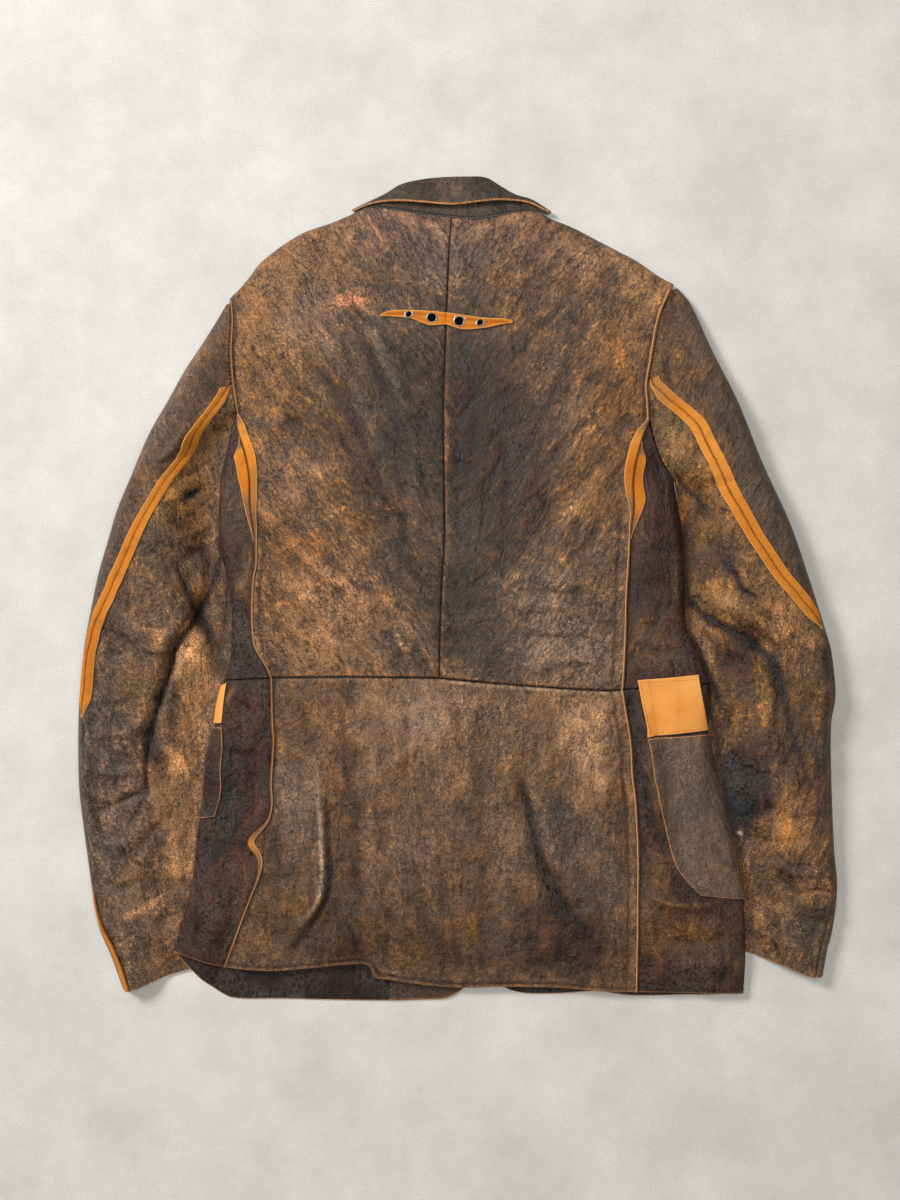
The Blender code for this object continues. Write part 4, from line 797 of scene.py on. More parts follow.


# %% [markdown]
# ## Painting the wear, with painted shade and highlights along the creases
#
# The hide was dyed dark brown and has rubbed back to tan wherever it bent or was
# touched. The tones are soft spots, each with a place, a reach across and down, a turn
# in degrees and a colour as it looks on a screen. The places were chosen one by one, and
# the colours were set by comparing mean tones of the photograph and of a render at named
# places. The spots' borders are made ragged with the seeded lumps.

# %% Tones of the body (x, y, reach across, reach down, turn, colour)
BODY_TONE = (112, 85, 65)
BODY_SPOTS = [
    (-57, 345, 55, 26, 0, (120, 92, 78)), (39, 345, 60, 26, 0, (128, 97, 79)),
    (-150, 314, 50, 34, -28, (136, 100, 70)), (-200, 270, 30, 50, 0, (146, 103, 66)),
    (135, 311, 50, 34, 26, (137, 105, 82)), (180, 270, 28, 50, 0, (142, 106, 76)),
    (-124, 249, 52, 40, 0, (120, 96, 80)), (97, 256, 50, 44, 0, (104, 79, 62)),
    (-9, 318, 24, 34, 0, (106, 88, 78)), (-84, 215, 34, 40, 20, (104, 82, 66)),
    (-124, 162, 44, 44, 0, (97, 72, 53)), (97, 162, 38, 40, 0, (116, 89, 69)),
    (-186, 181, 26, 60, 0, (126, 90, 59)), (155, 181, 26, 60, 0, (117, 80, 51)),
    (-152, 106, 34, 26, -20, (132, 99, 78)), (-95, 85, 36, 34, 0, (95, 70, 51)),
    (-162, 28, 30, 46, 10, (124, 86, 56)), (-114, -8, 44, 24, -14, (164, 118, 84)),
    (-110, -50, 56, 26, 0, (143, 105, 75)), (126, 40, 30, 50, 0, (114, 85, 63)),
    (80, -8, 34, 28, 0, (120, 100, 85)), (97, -60, 50, 24, 0, (134, 111, 95)),
    (62, 96, 30, 50, 0, (74, 58, 49)), (142, 110, 22, 36, 0, (128, 90, 58)),
    (-42, 160, 38, 90, 0, (62, 56, 53)), (22, 162, 34, 92, 0, (56, 47, 43)),
    (-44, 30, 30, 60, 0, (86, 70, 60)), (10, 26, 32, 66, 0, (66, 58, 53)),
    (20, -52, 38, 34, 0, (68, 58, 53)), (-56, -52, 24, 24, 0, (102, 82, 68)),
    (-97, 273, 17, 7, -12, (182, 118, 88)), (-112, 268, 14, 5, 10, (158, 108, 84)),
    (60, 110, 20, 12, 30, (74, 58, 50)), (-20, 250, 34, 14, 0, (84, 70, 62)),
    (-170, 220, 26, 20, -30, (128, 94, 66)), (120, 208, 26, 18, 30, (112, 82, 62)),
]
SKIRT_TONE = (110, 84, 65)
SKIRT_SPOTS = [
    (-150, -126, 30, 30, 0, (103, 75, 54)), (-28, -122, 66, 24, 0, (142, 114, 93)),
    (97, -126, 50, 24, 0, (146, 111, 84)), (134, -160, 22, 40, 0, (166, 126, 94)),
    (-153, -215, 30, 40, 0, (120, 98, 82)), (-37, -226, 56, 34, 0, (109, 84, 66)),
    (97, -236, 40, 34, 0, (99, 81, 70)), (62, -150, 24, 30, 10, (116, 88, 67)),
    (-108, -262, 18, 46, 12, (100, 71, 50)), (-160, -314, 34, 34, 0, (98, 73, 54)),
    (-9, -326, 60, 30, 0, (100, 75, 56)), (112, -336, 40, 34, -10, (64, 49, 40)),
    (-85, -316, 26, 28, 0, (90, 70, 58)), (150, -290, 18, 50, 0, (98, 80, 68)),
    (-57, -251, 30, 26, 0, (113, 89, 75)), (-105, -170, 14, 50, 0, (92, 66, 48)),
    (-120, -140, 10, 40, 0, (132, 96, 70)), (20, -180, 12, 46, 0, (94, 70, 52)),
    (-6, -180, 10, 40, 0, (134, 102, 80)), (30, -350, 60, 16, 0, (86, 64, 48)),
    (-120, -340, 30, 20, 0, (84, 62, 46)), (76, -320, 22, 30, 0, (78, 60, 50)),
    (-186, -240, 12, 40, 0, (92, 70, 54)), (160, -200, 10, 70, 0, (92, 68, 50)),
    (-78, -150, 12, 40, 0, (124, 96, 76)), (44, -250, 14, 36, 0, (118, 92, 74)),
]
SIDE_TONE = (70, 52, 41)
SIDE_SPOTS = [
    (-212, 80, 16, 30, 0, (88, 70, 58)), (-210, -45, 20, 36, 0, (60, 44, 33)),
    (-203, -160, 26, 44, 0, (68, 49, 36)), (-215, -290, 24, 40, 0, (90, 64, 47)),
    (-239, -338, 22, 18, 0, (74, 58, 51)), (-228, -210, 16, 30, 0, (58, 42, 33)),
    (-200, 10, 10, 26, 0, (100, 76, 58)), (-212, -120, 12, 22, 0, (80, 58, 42)),
    (174, 60, 14, 34, 0, (84, 63, 50)), (184, -49, 22, 28, 0, (103, 78, 61)),
    (184, -183, 14, 50, 0, (84, 68, 57)), (212, -337, 46, 24, 0, (103, 76, 56)),
    (256, -347, 16, 30, 0, (88, 66, 50)), (186, -279, 14, 40, 0, (112, 81, 60)),
    (206, -10, 14, 30, 0, (74, 56, 45)), (176, -110, 10, 20, 0, (78, 60, 48)),
    (196, -366, 26, 14, 0, (74, 54, 42)), (240, -376, 30, 10, 0, (70, 52, 40)),
]

# %% Tones of the sleeves
LEFT_SLEEVE_TONE = (106, 83, 66)
LEFT_SLEEVE_SPOTS = [
    (-246, 220, 20, 44, -24, (104, 79, 62)), (-234, 150, 18, 30, 0, (138, 102, 72)),
    (-280, 150, 18, 50, -24, (100, 80, 67)), (-318, 66, 20, 44, -20, (80, 66, 58)),
    (-254, 90, 26, 34, 0, (132, 94, 62)), (-284, -8, 22, 30, 0, (104, 79, 62)),
    (-256, -56, 14, 28, 14, (178, 132, 92)), (-236, 6, 12, 30, 0, (150, 106, 70)),
    (-335, -145, 16, 50, 0, (90, 75, 69)), (-282, -172, 14, 34, 10, (164, 122, 88)),
    (-254, -100, 13, 40, 10, (182, 136, 96)), (-335, -245, 18, 44, 0, (94, 80, 73)),
    (-268, -258, 15, 34, 6, (166, 122, 86)), (-290, -330, 24, 28, 0, (140, 108, 84)),
    (-318, -330, 14, 34, 0, (102, 82, 70)), (-318, -200, 14, 24, 0, (108, 87, 76)),
    (-356, -170, 10, 60, 0, (78, 68, 65)), (-246, -28, 9, 44, 22, (66, 48, 36)),
    (-292, -150, 8, 30, 10, (62, 47, 38)), (-246, 36, 8, 40, 30, (74, 53, 38)),
    (-262, -320, 10, 26, 0, (84, 62, 47)), (-330, 0, 16, 40, -12, (88, 70, 60)),
    (-300, 96, 14, 30, -26, (112, 84, 64)), (-302, -92, 16, 26, 0, (118, 88, 62)),
    (-270, -350, 16, 12, 0, (88, 66, 50)), (-310, -276, 12, 18, 0, (126, 96, 72)),
]
RIGHT_SLEEVE_TONE = (106, 79, 58)
RIGHT_SLEEVE_SPOTS = [
    (226, 240, 20, 40, 24, (98, 77, 64)), (236, 200, 16, 40, 24, (104, 80, 62)),
    (262, 160, 16, 50, 24, (84, 68, 60)), (300, 80, 16, 50, 22, (82, 66, 58)),
    (330, 4, 14, 40, 16, (88, 69, 58)), (206, 138, 13, 30, 0, (154, 115, 77)),
    (222, 70, 18, 34, 0, (106, 76, 51)), (248, 28, 20, 26, 0, (94, 68, 46)),
    (232, -30, 16, 28, 0, (146, 106, 74)), (268, -8, 20, 18, -20, (160, 118, 78)),
    (306, -38, 24, 18, -24, (146, 108, 75)), (244, 96, 14, 30, 20, (140, 100, 62)),
    (288, -104, 22, 30, 0, (120, 87, 58)), (330, -122, 16, 34, 0, (96, 71, 52)),
    (314, -228, 22, 26, 0, (138, 100, 68)), (332, -272, 18, 20, 0, (102, 80, 66)),
    (326, -327, 22, 22, 0, (92, 76, 63)), (296, -296, 16, 26, 0, (120, 89, 66)),
    (346, -356, 12, 16, 0, (106, 84, 68)), (272, -192, 14, 32, 6, (48, 40, 42)),
    (264, -228, 10, 16, 0, (66, 54, 50)), (284, -168, 9, 14, 0, (56, 46, 46)),
    (268, -66, 10, 40, -14, (66, 48, 36)), (258, -118, 12, 34, 0, (104, 76, 52)),
    (340, -180, 14, 40, 0, (88, 66, 52)), (296, -150, 18, 18, 0, (84, 62, 46)),
    (352, -60, 8, 50, 0, (84, 68, 58)), (214, 20, 8, 30, 0, (72, 53, 40)),
]
POCKET_TONE = (108, 90, 77)
POCKET_SPOTS = [
    (222, -164, 24, 22, 0, (112, 93, 77)), (226, -222, 18, 34, 0, (106, 90, 80)),
    (244, -272, 22, 16, 0, (108, 86, 72)), (196, -190, 8, 40, 10, (84, 68, 58)),
    (238, -180, 8, 50, 0, (98, 80, 68)), (-240, -180, 20, 60, 0, (64, 48, 37)),
]
COLLAR_TONE = (78, 68, 62)
COLLAR_SPOTS = [
    (-70, 372, 26, 14, 0, (66, 60, 57)), (-9, 384, 13, 16, 0, (96, 80, 70)),
    (50, 380, 28, 14, 0, (68, 62, 59)), (-40, 388, 12, 8, 0, (62, 56, 54)),
    (22, 390, 12, 8, 0, (64, 57, 54)),
]
FRONT_TONE = (58, 45, 39)
FACING_TONE = (80, 61, 48)
SUEDE_TONE = (186, 114, 48)
SUEDE_SPOTS = [
    (-206, 140, 12, 16, 0, (208, 136, 60)), (-206, 100, 8, 24, 0, (176, 104, 40)),
    (174, 140, 12, 16, 0, (210, 138, 62)), (168, 110, 8, 20, 0, (172, 100, 38)),
    (-280, 90, 20, 50, 0, (180, 110, 48)), (-350, -60, 10, 40, 0, (168, 98, 42)),
    (240, 140, 30, 40, 0, (204, 132, 60)), (330, -10, 20, 40, 0, (184, 114, 50)),
    (-345, -330, 20, 40, 0, (174, 102, 40)), (-180, -150, 10, 60, 0, (170, 110, 62)),
    (166, -250, 10, 120, 0, (158, 104, 62)), (-216, 250, 14, 60, 0, (150, 106, 70)),
    (190, 240, 14, 60, 0, (158, 110, 72)), (-200, -250, 14, 20, 0, (212, 132, 60)),
    (-196, -10, 10, 60, 0, (196, 120, 52)), (162, -10, 10, 60, 0, (206, 130, 60)),
    (360, -200, 10, 90, 0, (186, 116, 54)),
]
TAB_TONE = (216, 146, 78)
TAB_SPOTS = [(182, -130, 14, 12, 0, (200, 130, 64)), (226, -92, 14, 10, 0, (224, 158, 90)),
             (206, -116, 12, 10, 0, (212, 140, 70))]

# %% Painted shade in creases, troughs and seam rows, painted highlights on ridges and beside seams, and rubbed wear (path, half width, colour, share)
# Painted shade for creases, troughs and the grooves of stitched rows
CREASE_SHADE = (40, 28, 22)
# Painted highlight along the ridges of creases
RIDGE_HIGHLIGHT = (186, 136, 92)
# Painted highlight on the edge beside a seam
SEAM_HIGHLIGHT = (176, 116, 70)
# The dark lines here are painted shade in troughs and stitched rows; the pale ones by the centre and waist
# seams and on the creases' ridges are painted highlights, and the grey ones painted sheen
BODY_MARKS = [
    (shifted(CENTRE_SEAM, 2.4), 1.6, (150, 92, 56), 0.5), (shifted(WAIST_LEFT, 3.0), 1.6, SEAM_HIGHLIGHT, 0.65),
    (shifted(WAIST_RIGHT, 2.8), 1.6, SEAM_HIGHLIGHT, 0.35),
    (shifted(SIDE_SEAM_RIGHT, -6.0, 0.4), 4.0, (136, 104, 80), 0.4),
    (shifted(SIDE_SEAM_LEFT, 4.5, 0.45), 3.0, (132, 96, 68), 0.45),
    (shifted(ARMHOLE_LEFT, 8.0), 3.0, (156, 108, 70), 0.4),
    ([(-146, 226), (-112, 180), (-84, 120), (-66, 60)], 5.0, (44, 34, 28), 0.55),
    ([(-130, 236), (-100, 190), (-74, 136)], 4.0, (128, 112, 102), 0.3),
    ([(-104, 262), (-82, 216), (-62, 160), (-50, 110)], 5.0, (40, 34, 32), 0.5),
    ([(-90, 262), (-68, 212), (-50, 168)], 4.0, (120, 112, 106), 0.35),
    ([(-196, 90), (-160, 44), (-124, 16), (-84, 2)], 4.0, (170, 122, 84), 0.4),
    ([(-190, 34), (-156, 2), (-112, -24), (-70, -36)], 4.0, (164, 120, 84), 0.35),
    ([(-170, 70), (-132, 32), (-94, 4), (-52, -14)], 4.0, (62, 44, 34), 0.45),
    ([(112, 232), (84, 176), (56, 120), (36, 76)], 5.0, (42, 34, 30), 0.5),
    ([(146, 130), (104, 96), (70, 56), (44, 8)], 4.0, (56, 42, 34), 0.45),
    ([(126, 196), (96, 150), (66, 110)], 4.0, (138, 108, 86), 0.3),
    ([(150, 52), (110, 26), (70, -8)], 3.6, (150, 116, 90), 0.35),
    ([(20, 236), (30, 170), (26, 100)], 5.0, (110, 102, 96), 0.25),
    (shifted(SIDE_SEAM_LEFT, 8.0, 0.42), 1.6, CREASE_SHADE, 0.55),
    (shifted(SIDE_SEAM_RIGHT, -11.5, 0.38), 1.6, CREASE_SHADE, 0.55),
    (shifted(ARMHOLE_LEFT, 4.4), 1.5, CREASE_SHADE, 0.6), (shifted(ARMHOLE_RIGHT, -4.4), 1.5, CREASE_SHADE, 0.6),
    ([(54, -1), (78, 0), (104, -3), (124, -1)], 1.8, CREASE_SHADE, 0.6),
    ([(58, -42), (86, -45), (120, -44)], 1.8, CREASE_SHADE, 0.6),
    ([(52, -20), (80, -19), (112, -22)], 1.8, CREASE_SHADE, 0.35),
    ([(78, -78), (96, -71), (116, -70), (135, -76)], 1.8, CREASE_SHADE, 0.5),
    ([(-190, 60), (-150, 22), (-110, -6)], 3.5, (74, 50, 34), 0.45),
    ([(-186, -30), (-150, -52), (-112, -66)], 3.5, (84, 58, 40), 0.45),
    ([(-152, 178), (-112, 140), (-78, 92)], 4.5, (60, 44, 34), 0.45),
    ([(-176, 128), (-132, 88), (-92, 40), (-66, 2)], 4.0, (150, 108, 76), 0.4),
    ([(150, 80), (120, 40), (88, 8)], 3.5, (70, 52, 40), 0.4),
    ([(140, 168), (100, 140), (66, 92)], 4.5, (60, 46, 38), 0.45),
    ([(152, 120), (118, 84), (86, 36), (60, -8)], 4.0, (140, 104, 76), 0.35),
    ([(-60, 130), (-52, 70), (-56, 10)], 4.0, (48, 42, 40), 0.4),
    ([(42, 150), (48, 100), (40, 40)], 4.0, (46, 40, 38), 0.4),
]
# Painted highlights below the waist seam and on the fold ridges, and painted shade in the fold valleys beside
# them
SKIRT_MARKS = [
    (shifted(SKIRT_SEAM_RIGHT, -6.0), 4.2, (148, 114, 86), 0.5),
    (shifted(SKIRT_SEAM_RIGHT, -13.0, 0.3), 1.5, (160, 104, 62), 0.5),
    (shifted(WAIST_RIGHT, -2.6), 1.5, (176, 146, 120), 0.6),
    (shifted(WAIST_LEFT, -2.4), 1.5, (160, 120, 88), 0.35),
    (shifted(HEM, 2.0), 1.6, (160, 118, 86), 0.5), (shifted(HEM, 7.5), 2.0, (150, 122, 98), 0.3),
    ([(-44, -250), (-34, -310), (-10, -345)], 7.0, (70, 50, 38), 0.4),
    ([(6, -290), (2, -330), (8, -360)], 4.0, (140, 104, 78), 0.4),
    ([(-60, -200), (-64, -240), (-72, -270)], 7.0, (150, 108, 74), 0.4),
    ([(-100, -200), (-96, -250), (-104, -292)], 5.0, (64, 46, 36), 0.5),
    (shifted(SKIRT_SEAM_LEFT, 3.6), 1.4, CREASE_SHADE, 0.6), (shifted(SKIRT_SEAM_RIGHT, -11.5), 1.6, CREASE_SHADE, 0.6),
    (shifted(HEM, 4.0), 1.5, CREASE_SHADE, 0.5),
    ([(-134, -185), (-131, -240), (-132, -290), (-150, -320)], 2.2, (186, 166, 148), 0.7),
    ([(-127, -195), (-124, -240), (-125, -290), (-142, -322), (-160, -345)], 3.0, (44, 32, 26), 0.75),
    ([(-131, -300), (-105, -330), (-84, -358)], 4.0, (60, 44, 36), 0.5),
    ([(58, -180), (70, -226), (82, -268), (98, -300), (126, -330)], 3.6, (30, 22, 19), 0.85),
    ([(66, -176), (80, -226), (92, -262)], 4.5, (140, 112, 92), 0.35),
    ([(-112, -110), (-108, -160), (-112, -210)], 4.0, (74, 54, 40), 0.5),
    ([(-96, -110), (-92, -160), (-96, -200)], 4.0, (138, 110, 90), 0.35),
    ([(-54, -96), (-48, -160), (-56, -220)], 3.5, (84, 64, 50), 0.4),
    ([(-4, -100), (2, -160), (-4, -230)], 3.5, (84, 64, 50), 0.45),
    ([(84, -104), (92, -150), (96, -200)], 3.5, (90, 68, 52), 0.35),
    ([(142, -104), (146, -180), (140, -250)], 3.0, (88, 66, 52), 0.4),
    ([(-18, -230), (-16, -300), (-20, -360)], 4.0, (70, 52, 40), 0.4),
    ([(22, -250), (24, -310), (20, -360)], 4.5, (64, 46, 36), 0.4),
    ([(-150, -240), (-140, -290), (-150, -330)], 4.0, (78, 58, 46), 0.4),
]
# The near-black lines are painted shade in the flanks' troughs, and the pale short lines painted highlights
# on ridges
SIDE_MARKS = [
    (shifted(SKIRT_SEAM_LEFT, -11.5), 1.6, (120, 74, 42), 0.5),
    ([(-212, -220), (-224, -246), (-240, -262)], 4.0, (20, 14, 12), 0.8),
    (shifted(SIDE_HEM_RIGHT, 4.0), 1.5, CREASE_SHADE, 0.5),
    ([(-214, -92), (-220, -104), (-226, -120)], 1.6, (130, 104, 84), 0.6),
    ([(161, -104), (168, -150), (180, -215), (196, -256)], 5.0, (46, 36, 32), 0.75),
    ([(170, -112), (182, -140)], 1.6, (110, 88, 70), 0.4),
    ([(168, -150), (186, -184)], 1.6, (108, 86, 70), 0.4),
    ([(-222, -150), (-222, -210), (-236, -250)], 3.0, (30, 22, 18), 0.6),
    ([(178, -290), (200, -300), (232, -302), (262, -292)], 2.0, (140, 106, 80), 0.5),
    ([(250, -340), (254, -370)], 3.0, (40, 30, 26), 0.5),
    ([(206, 40), (208, -20), (212, -60)], 3.0, (120, 88, 62), 0.4),
]
# The near-black line is painted shade in the sleeve's deep crease; the other dark lines are painted shade in
# creases and beside the body, and the pale and grey ones painted highlights on ridges
LEFT_SLEEVE_MARKS = [
    ([(-238, 240), (-256, 210), (-282, 160), (-300, 118)], 4.0, (122, 104, 92), 0.5),
    ([(-206, 244), (-228, 210), (-262, 156), (-290, 108)], 12.0, (78, 60, 52), 0.5),
    ([(-214, 96), (-220, 66), (-226, 36)], 7.0, (60, 42, 35), 0.7),
    ([(-338, 30), (-324, 70), (-308, 100)], 6.0, (120, 84, 62), 0.35),
    ([(-262, 110), (-276, 84), (-292, 50), (-300, 10)], 10.0, (126, 98, 62), 0.45),
    ([(-262, 68), (-266, 52)], 6.0, (74, 54, 42), 0.5),
    ([(-330, -70), (-322, -110), (-324, -170)], 12.0, (84, 70, 62), 0.5),
    ([(-246, -60), (-256, -110), (-268, -160), (-276, -200)], 12.0, (176, 128, 86), 0.65),
    ([(-244, -90), (-248, -170), (-256, -240), (-264, -262)], 9.0, (166, 120, 82), 0.6),
    ([(-296, -40), (-280, -70), (-270, -90)], 8.0, (150, 108, 72), 0.55),
    ([(-240, 24), (-246, -4), (-256, -26)], 6.0, (150, 104, 66), 0.6),
    ([(-300, -325), (-286, -345), (-272, -330)], 9.0, (140, 104, 76), 0.5),
    ([(-252, 60), (-270, 20), (-282, -10)], 9.0, (126, 92, 66), 0.5),
    ([(-232, 47), (-229, 32), (-237, 5), (-248, -21), (-259, -38), (-270, -54), (-276, -80), (-287, -112),
      (-296, -150),
      (-299, -176), (-297, -195)], 2.3, (14, 9, 7), 1.0),
    ([(-297, -190), (-318, -200), (-347, -212)], 2.0, CREASE_SHADE, 0.7),
    ([(-297, -192), (-308, -212), (-317, -227)], 2.0, CREASE_SHADE, 0.6),
    ([(-273, 30), (-262, 2), (-252, -22)], 2.2, CREASE_SHADE, 0.7),
    ([(-309, -36), (-292, -38), (-272, -40)], 2.0, RIDGE_HIGHLIGHT, 0.6),
    ([(-302, -60), (-286, -61), (-270, -60)], 1.8, CREASE_SHADE, 0.6),
    ([(-248, 96), (-256, 92), (-262, 86)], 2.4, (24, 17, 14), 0.9),
    ([(-249, 88), (-254, 84)], 2.4, (150, 104, 70), 0.7),
    ([(-330, -318), (-300, -306), (-278, -286)], 3.5, RIDGE_HIGHLIGHT, 0.55),
    ([(-290, 60), (-280, 20), (-270, -8)], 4.0, (80, 58, 42), 0.5),
    ([(-340, -120), (-345, -180), (-343, -240)], 2.0, (60, 52, 50), 0.6),
    ([(-352, -110), (-355, -180), (-351, -240)], 1.8, (112, 98, 90), 0.5),
    ([(-322, -250), (-306, -262), (-290, -262)], 2.0, CREASE_SHADE, 0.4),
    ([(-246, 118), (-262, 108), (-282, 100)], 3.0, (84, 60, 42), 0.5),
    ([(-226, 60), (-222, 20), (-226, -30), (-230, -60)], 3.0, CREASE_SHADE, 0.6),
    ([(-258, -130), (-252, -170), (-246, -220), (-250, -262)], 3.4, (96, 68, 50), 0.4),
    ([(-268, -326), (-262, -344), (-266, -360)], 3.0, CREASE_SHADE, 0.4),
    ([(-216, 240), (-222, 200), (-226, 160)], 3.4, (64, 48, 40), 0.5),
    ([(-266, 214), (-246, 244)], 2.2, (140, 116, 98), 0.45),
]
STAIN = (44, 38, 42)
RIGHT_SLEEVE_MARKS = [
    ([(263, -166), (266, -200), (270, -226)], 9.5, STAIN, 1.0),
    ([(276, -170), (279, -200), (276, -230)], 9.0, STAIN, 1.0),
    ([(258, -184), (262, -206), (268, -220)], 5.0, STAIN, 1.0),
    ([(262, -156), (264, -172)], 3.0, STAIN, 0.9),
    ([(272, -160), (273, -176)], 2.6, STAIN, 0.9),
    ([(291, -164), (294, -186), (296, -202)], 2.6, STAIN, 0.9),
    ([(304, -204), (316, -232), (310, -248)], 9.0, (172, 116, 66), 0.7),
    ([(250, -124), (246, -150), (244, -178)], 5.0, (140, 96, 60), 0.7),
    ([(296, -262), (312, -270), (320, -290)], 7.0, (62, 52, 50), 0.7),
    ([(270, -252), (276, -262)], 5.0, (84, 78, 80), 0.6),
    ([(268, -234), (273, -236)], 1.6, (196, 190, 190), 0.8),
    ([(292, -10), (312, -36), (328, -52)], 9.0, (166, 116, 70), 0.6),
    ([(252, 46), (262, 8), (284, -18)], 7.0, (62, 44, 34), 0.5),
    # Painted shade in the sleeve's deep creases and beside the body, with painted highlights on the ridges
    # next to them
    ([(221, -8), (232, -22), (250, -34), (268, -44), (286, -58), (300, -70), (308, -95),
      (314, -125)], 3.4, (26, 18, 14), 0.9),
    ([(300, -70), (308, -95), (314, -125), (326, -165), (332, -190)], 3.0, CREASE_SHADE, 0.6),
    ([(222, -40), (232, -62), (244, -90), (252, -112)], 2.4, (24, 17, 14), 0.85),
    ([(252, 26), (264, 12), (268, 0), (284, -8)], 2.4, (30, 21, 17), 0.85),
    ([(256, 34), (272, 30), (284, 20)], 2.6, RIDGE_HIGHLIGHT, 0.45),
    ([(286, -30), (306, -40), (318, -56), (324, -80)], 3.4, RIDGE_HIGHLIGHT, 0.5),
    ([(201, 122), (216, 100), (232, 84), (243, 66)], 2.8, CREASE_SHADE, 0.6),
    ([(290, -60), (302, -90), (300, -130)], 3.0, (40, 28, 22), 0.55),
    ([(240, -110), (248, -140), (252, -166)], 2.4, CREASE_SHADE, 0.5),
    ([(322, -294), (340, -290), (358, -292)], 1.8, RIDGE_HIGHLIGHT, 0.6),
    ([(322, -304), (342, -306), (358, -308)], 2.0, CREASE_SHADE, 0.6),
    ([(277, -243), (282, -313), (290, -340)], 1.8, (168, 112, 66), 0.5),
    ([(336, -130), (342, -180), (340, -240)], 2.4, CREASE_SHADE, 0.5),
    ([(346, -60), (350, -110), (346, -170)], 2.2, CREASE_SHADE, 0.5),
    ([(286, -176), (292, -196), (296, -212)], 2.6, CREASE_SHADE, 0.6),
    ([(214, 60), (218, 10), (222, -30)], 3.0, CREASE_SHADE, 0.55),
    ([(300, -250), (316, -262), (340, -262)], 3.0, (64, 50, 44), 0.5),
    ([(276, -300), (300, -306), (330, -322)], 2.0, (150, 104, 66), 0.35),
    ([(196, 226), (200, 190), (206, 160)], 3.0, CREASE_SHADE, 0.4),
    ([(256, 200), (286, 130), (312, 70)], 3.4, (66, 52, 46), 0.4),
]


# %% Paint functions
def to_linear(colour):
    share = np.asarray(colour, dtype=float) / 255.0
    return np.where(share <= 0.04045, share / 12.92, ((share + 0.055) / 1.055) ** 2.4)


# What the light adds to a tone, and the sheen that lies over it
LIGHT_SHARE = 1.16
MIDDLE_TONE = 114.0
DEPTH = 0.42
SHEEN = np.array([0.011, 0.0155, 0.021])


def painter(base, spots, seed, ragged=11.0, lines=(), deep=True):
    """A function that gives the linear tone of plan points; lines add painted shade in creases, painted
    highlights on ridges, rubbed wear and stains.
    """
    drawn = [(dense_curve(path, 5), half_width, tone, share) for path, half_width, tone, share in lines]

    def paint(plan):
        wobble = np.column_stack([lumps(plan, 23.0, seed), lumps(plan, 23.0, seed + 1)]) * ragged
        wobble += np.column_stack([lumps(plan, 8.0, seed + 2), lumps(plan, 8.0, seed + 3)]) * ragged * 0.45
        moved = plan + wobble
        colour = np.tile(np.array(base, dtype=float), (len(plan), 1))
        for x, y, across, down, turn, tone in spots:
            angle = math.radians(turn)
            rel = moved - (x, y)
            u = (rel[:, 0] * math.cos(angle) + rel[:, 1] * math.sin(angle)) / across
            v = (-rel[:, 0] * math.sin(angle) + rel[:, 1] * math.cos(angle)) / down
            weight = np.exp(-0.7 * (u ** 2 + v ** 2) ** 1.2)[:, None]
            colour += (np.array(tone, dtype=float) - colour) * weight
        nearly = plan + wobble * 0.07
        for line, half_width, tone, share in drawn:
            near = np.flatnonzero(((nearly > line.min(axis=0) - 3 * half_width)
                                   & (nearly < line.max(axis=0) + 3 * half_width)).all(axis=1))
            if len(near):
                gap, along = distance_to(nearly[near], line)
                ends = 0.3 + 0.7 * np.sin(math.pi * along) ** 0.6
                weight = share * np.exp(-(gap / half_width) ** 2) * ends
                colour[near] += (np.array(tone, dtype=float) - colour[near]) * weight[:, None]
        depth = (colour.mean(axis=1, keepdims=True) / MIDDLE_TONE) ** DEPTH if deep else 1.0
        lit = to_linear(colour * depth) * LIGHT_SHARE
        return np.maximum(lit - SHEEN, 0.3 * lit)
    return paint


body_paint = painter(BODY_TONE, BODY_SPOTS, 11, 11.0, BODY_MARKS)
skirt_paint = painter(SKIRT_TONE, SKIRT_SPOTS, 21, 11.0, SKIRT_MARKS)
side_paint = painter(SIDE_TONE, SIDE_SPOTS, 31, 7.0, SIDE_MARKS)
left_sleeve_paint = painter(LEFT_SLEEVE_TONE, LEFT_SLEEVE_SPOTS, 41, 7.0, LEFT_SLEEVE_MARKS)
right_sleeve_paint = painter(RIGHT_SLEEVE_TONE, RIGHT_SLEEVE_SPOTS, 51, 7.0, RIGHT_SLEEVE_MARKS)
pocket_paint = painter(POCKET_TONE, POCKET_SPOTS, 61, 5.0)
collar_paint = painter(COLLAR_TONE, COLLAR_SPOTS, 71, 4.0)
front_paint = painter(FRONT_TONE, [], 81)
facing_paint = painter(FACING_TONE, [], 91)
suede_paint = painter(SUEDE_TONE, SUEDE_SPOTS, 101, 4.0, deep=False)
WELT_STITCHING = (138, 74, 30)
WELT_MARKS = [(shifted(WELT_TOP_LEFT, -3.4), 1.1, WELT_STITCHING, 0.8),
              (shifted(WELT_LOW_LEFT, 3.2), 1.0, (150, 84, 36), 0.6),
              (shifted(WELT_TOP_RIGHT, -3.4), 1.1, WELT_STITCHING, 0.8),
              (shifted(WELT_LOW_RIGHT, 3.4), 1.0, (150, 84, 36), 0.6)]
welt_paint = painter(SUEDE_TONE, [], 121, 4.0, WELT_MARKS, deep=False)
tab_paint = painter(TAB_TONE, TAB_SPOTS, 111, 3.0, deep=False)
print("named tones:", sum(len(s) for s in (BODY_SPOTS, SKIRT_SPOTS, SIDE_SPOTS, LEFT_SLEEVE_SPOTS,
                                           RIGHT_SLEEVE_SPOTS, POCKET_SPOTS, COLLAR_SPOTS, SUEDE_SPOTS)))

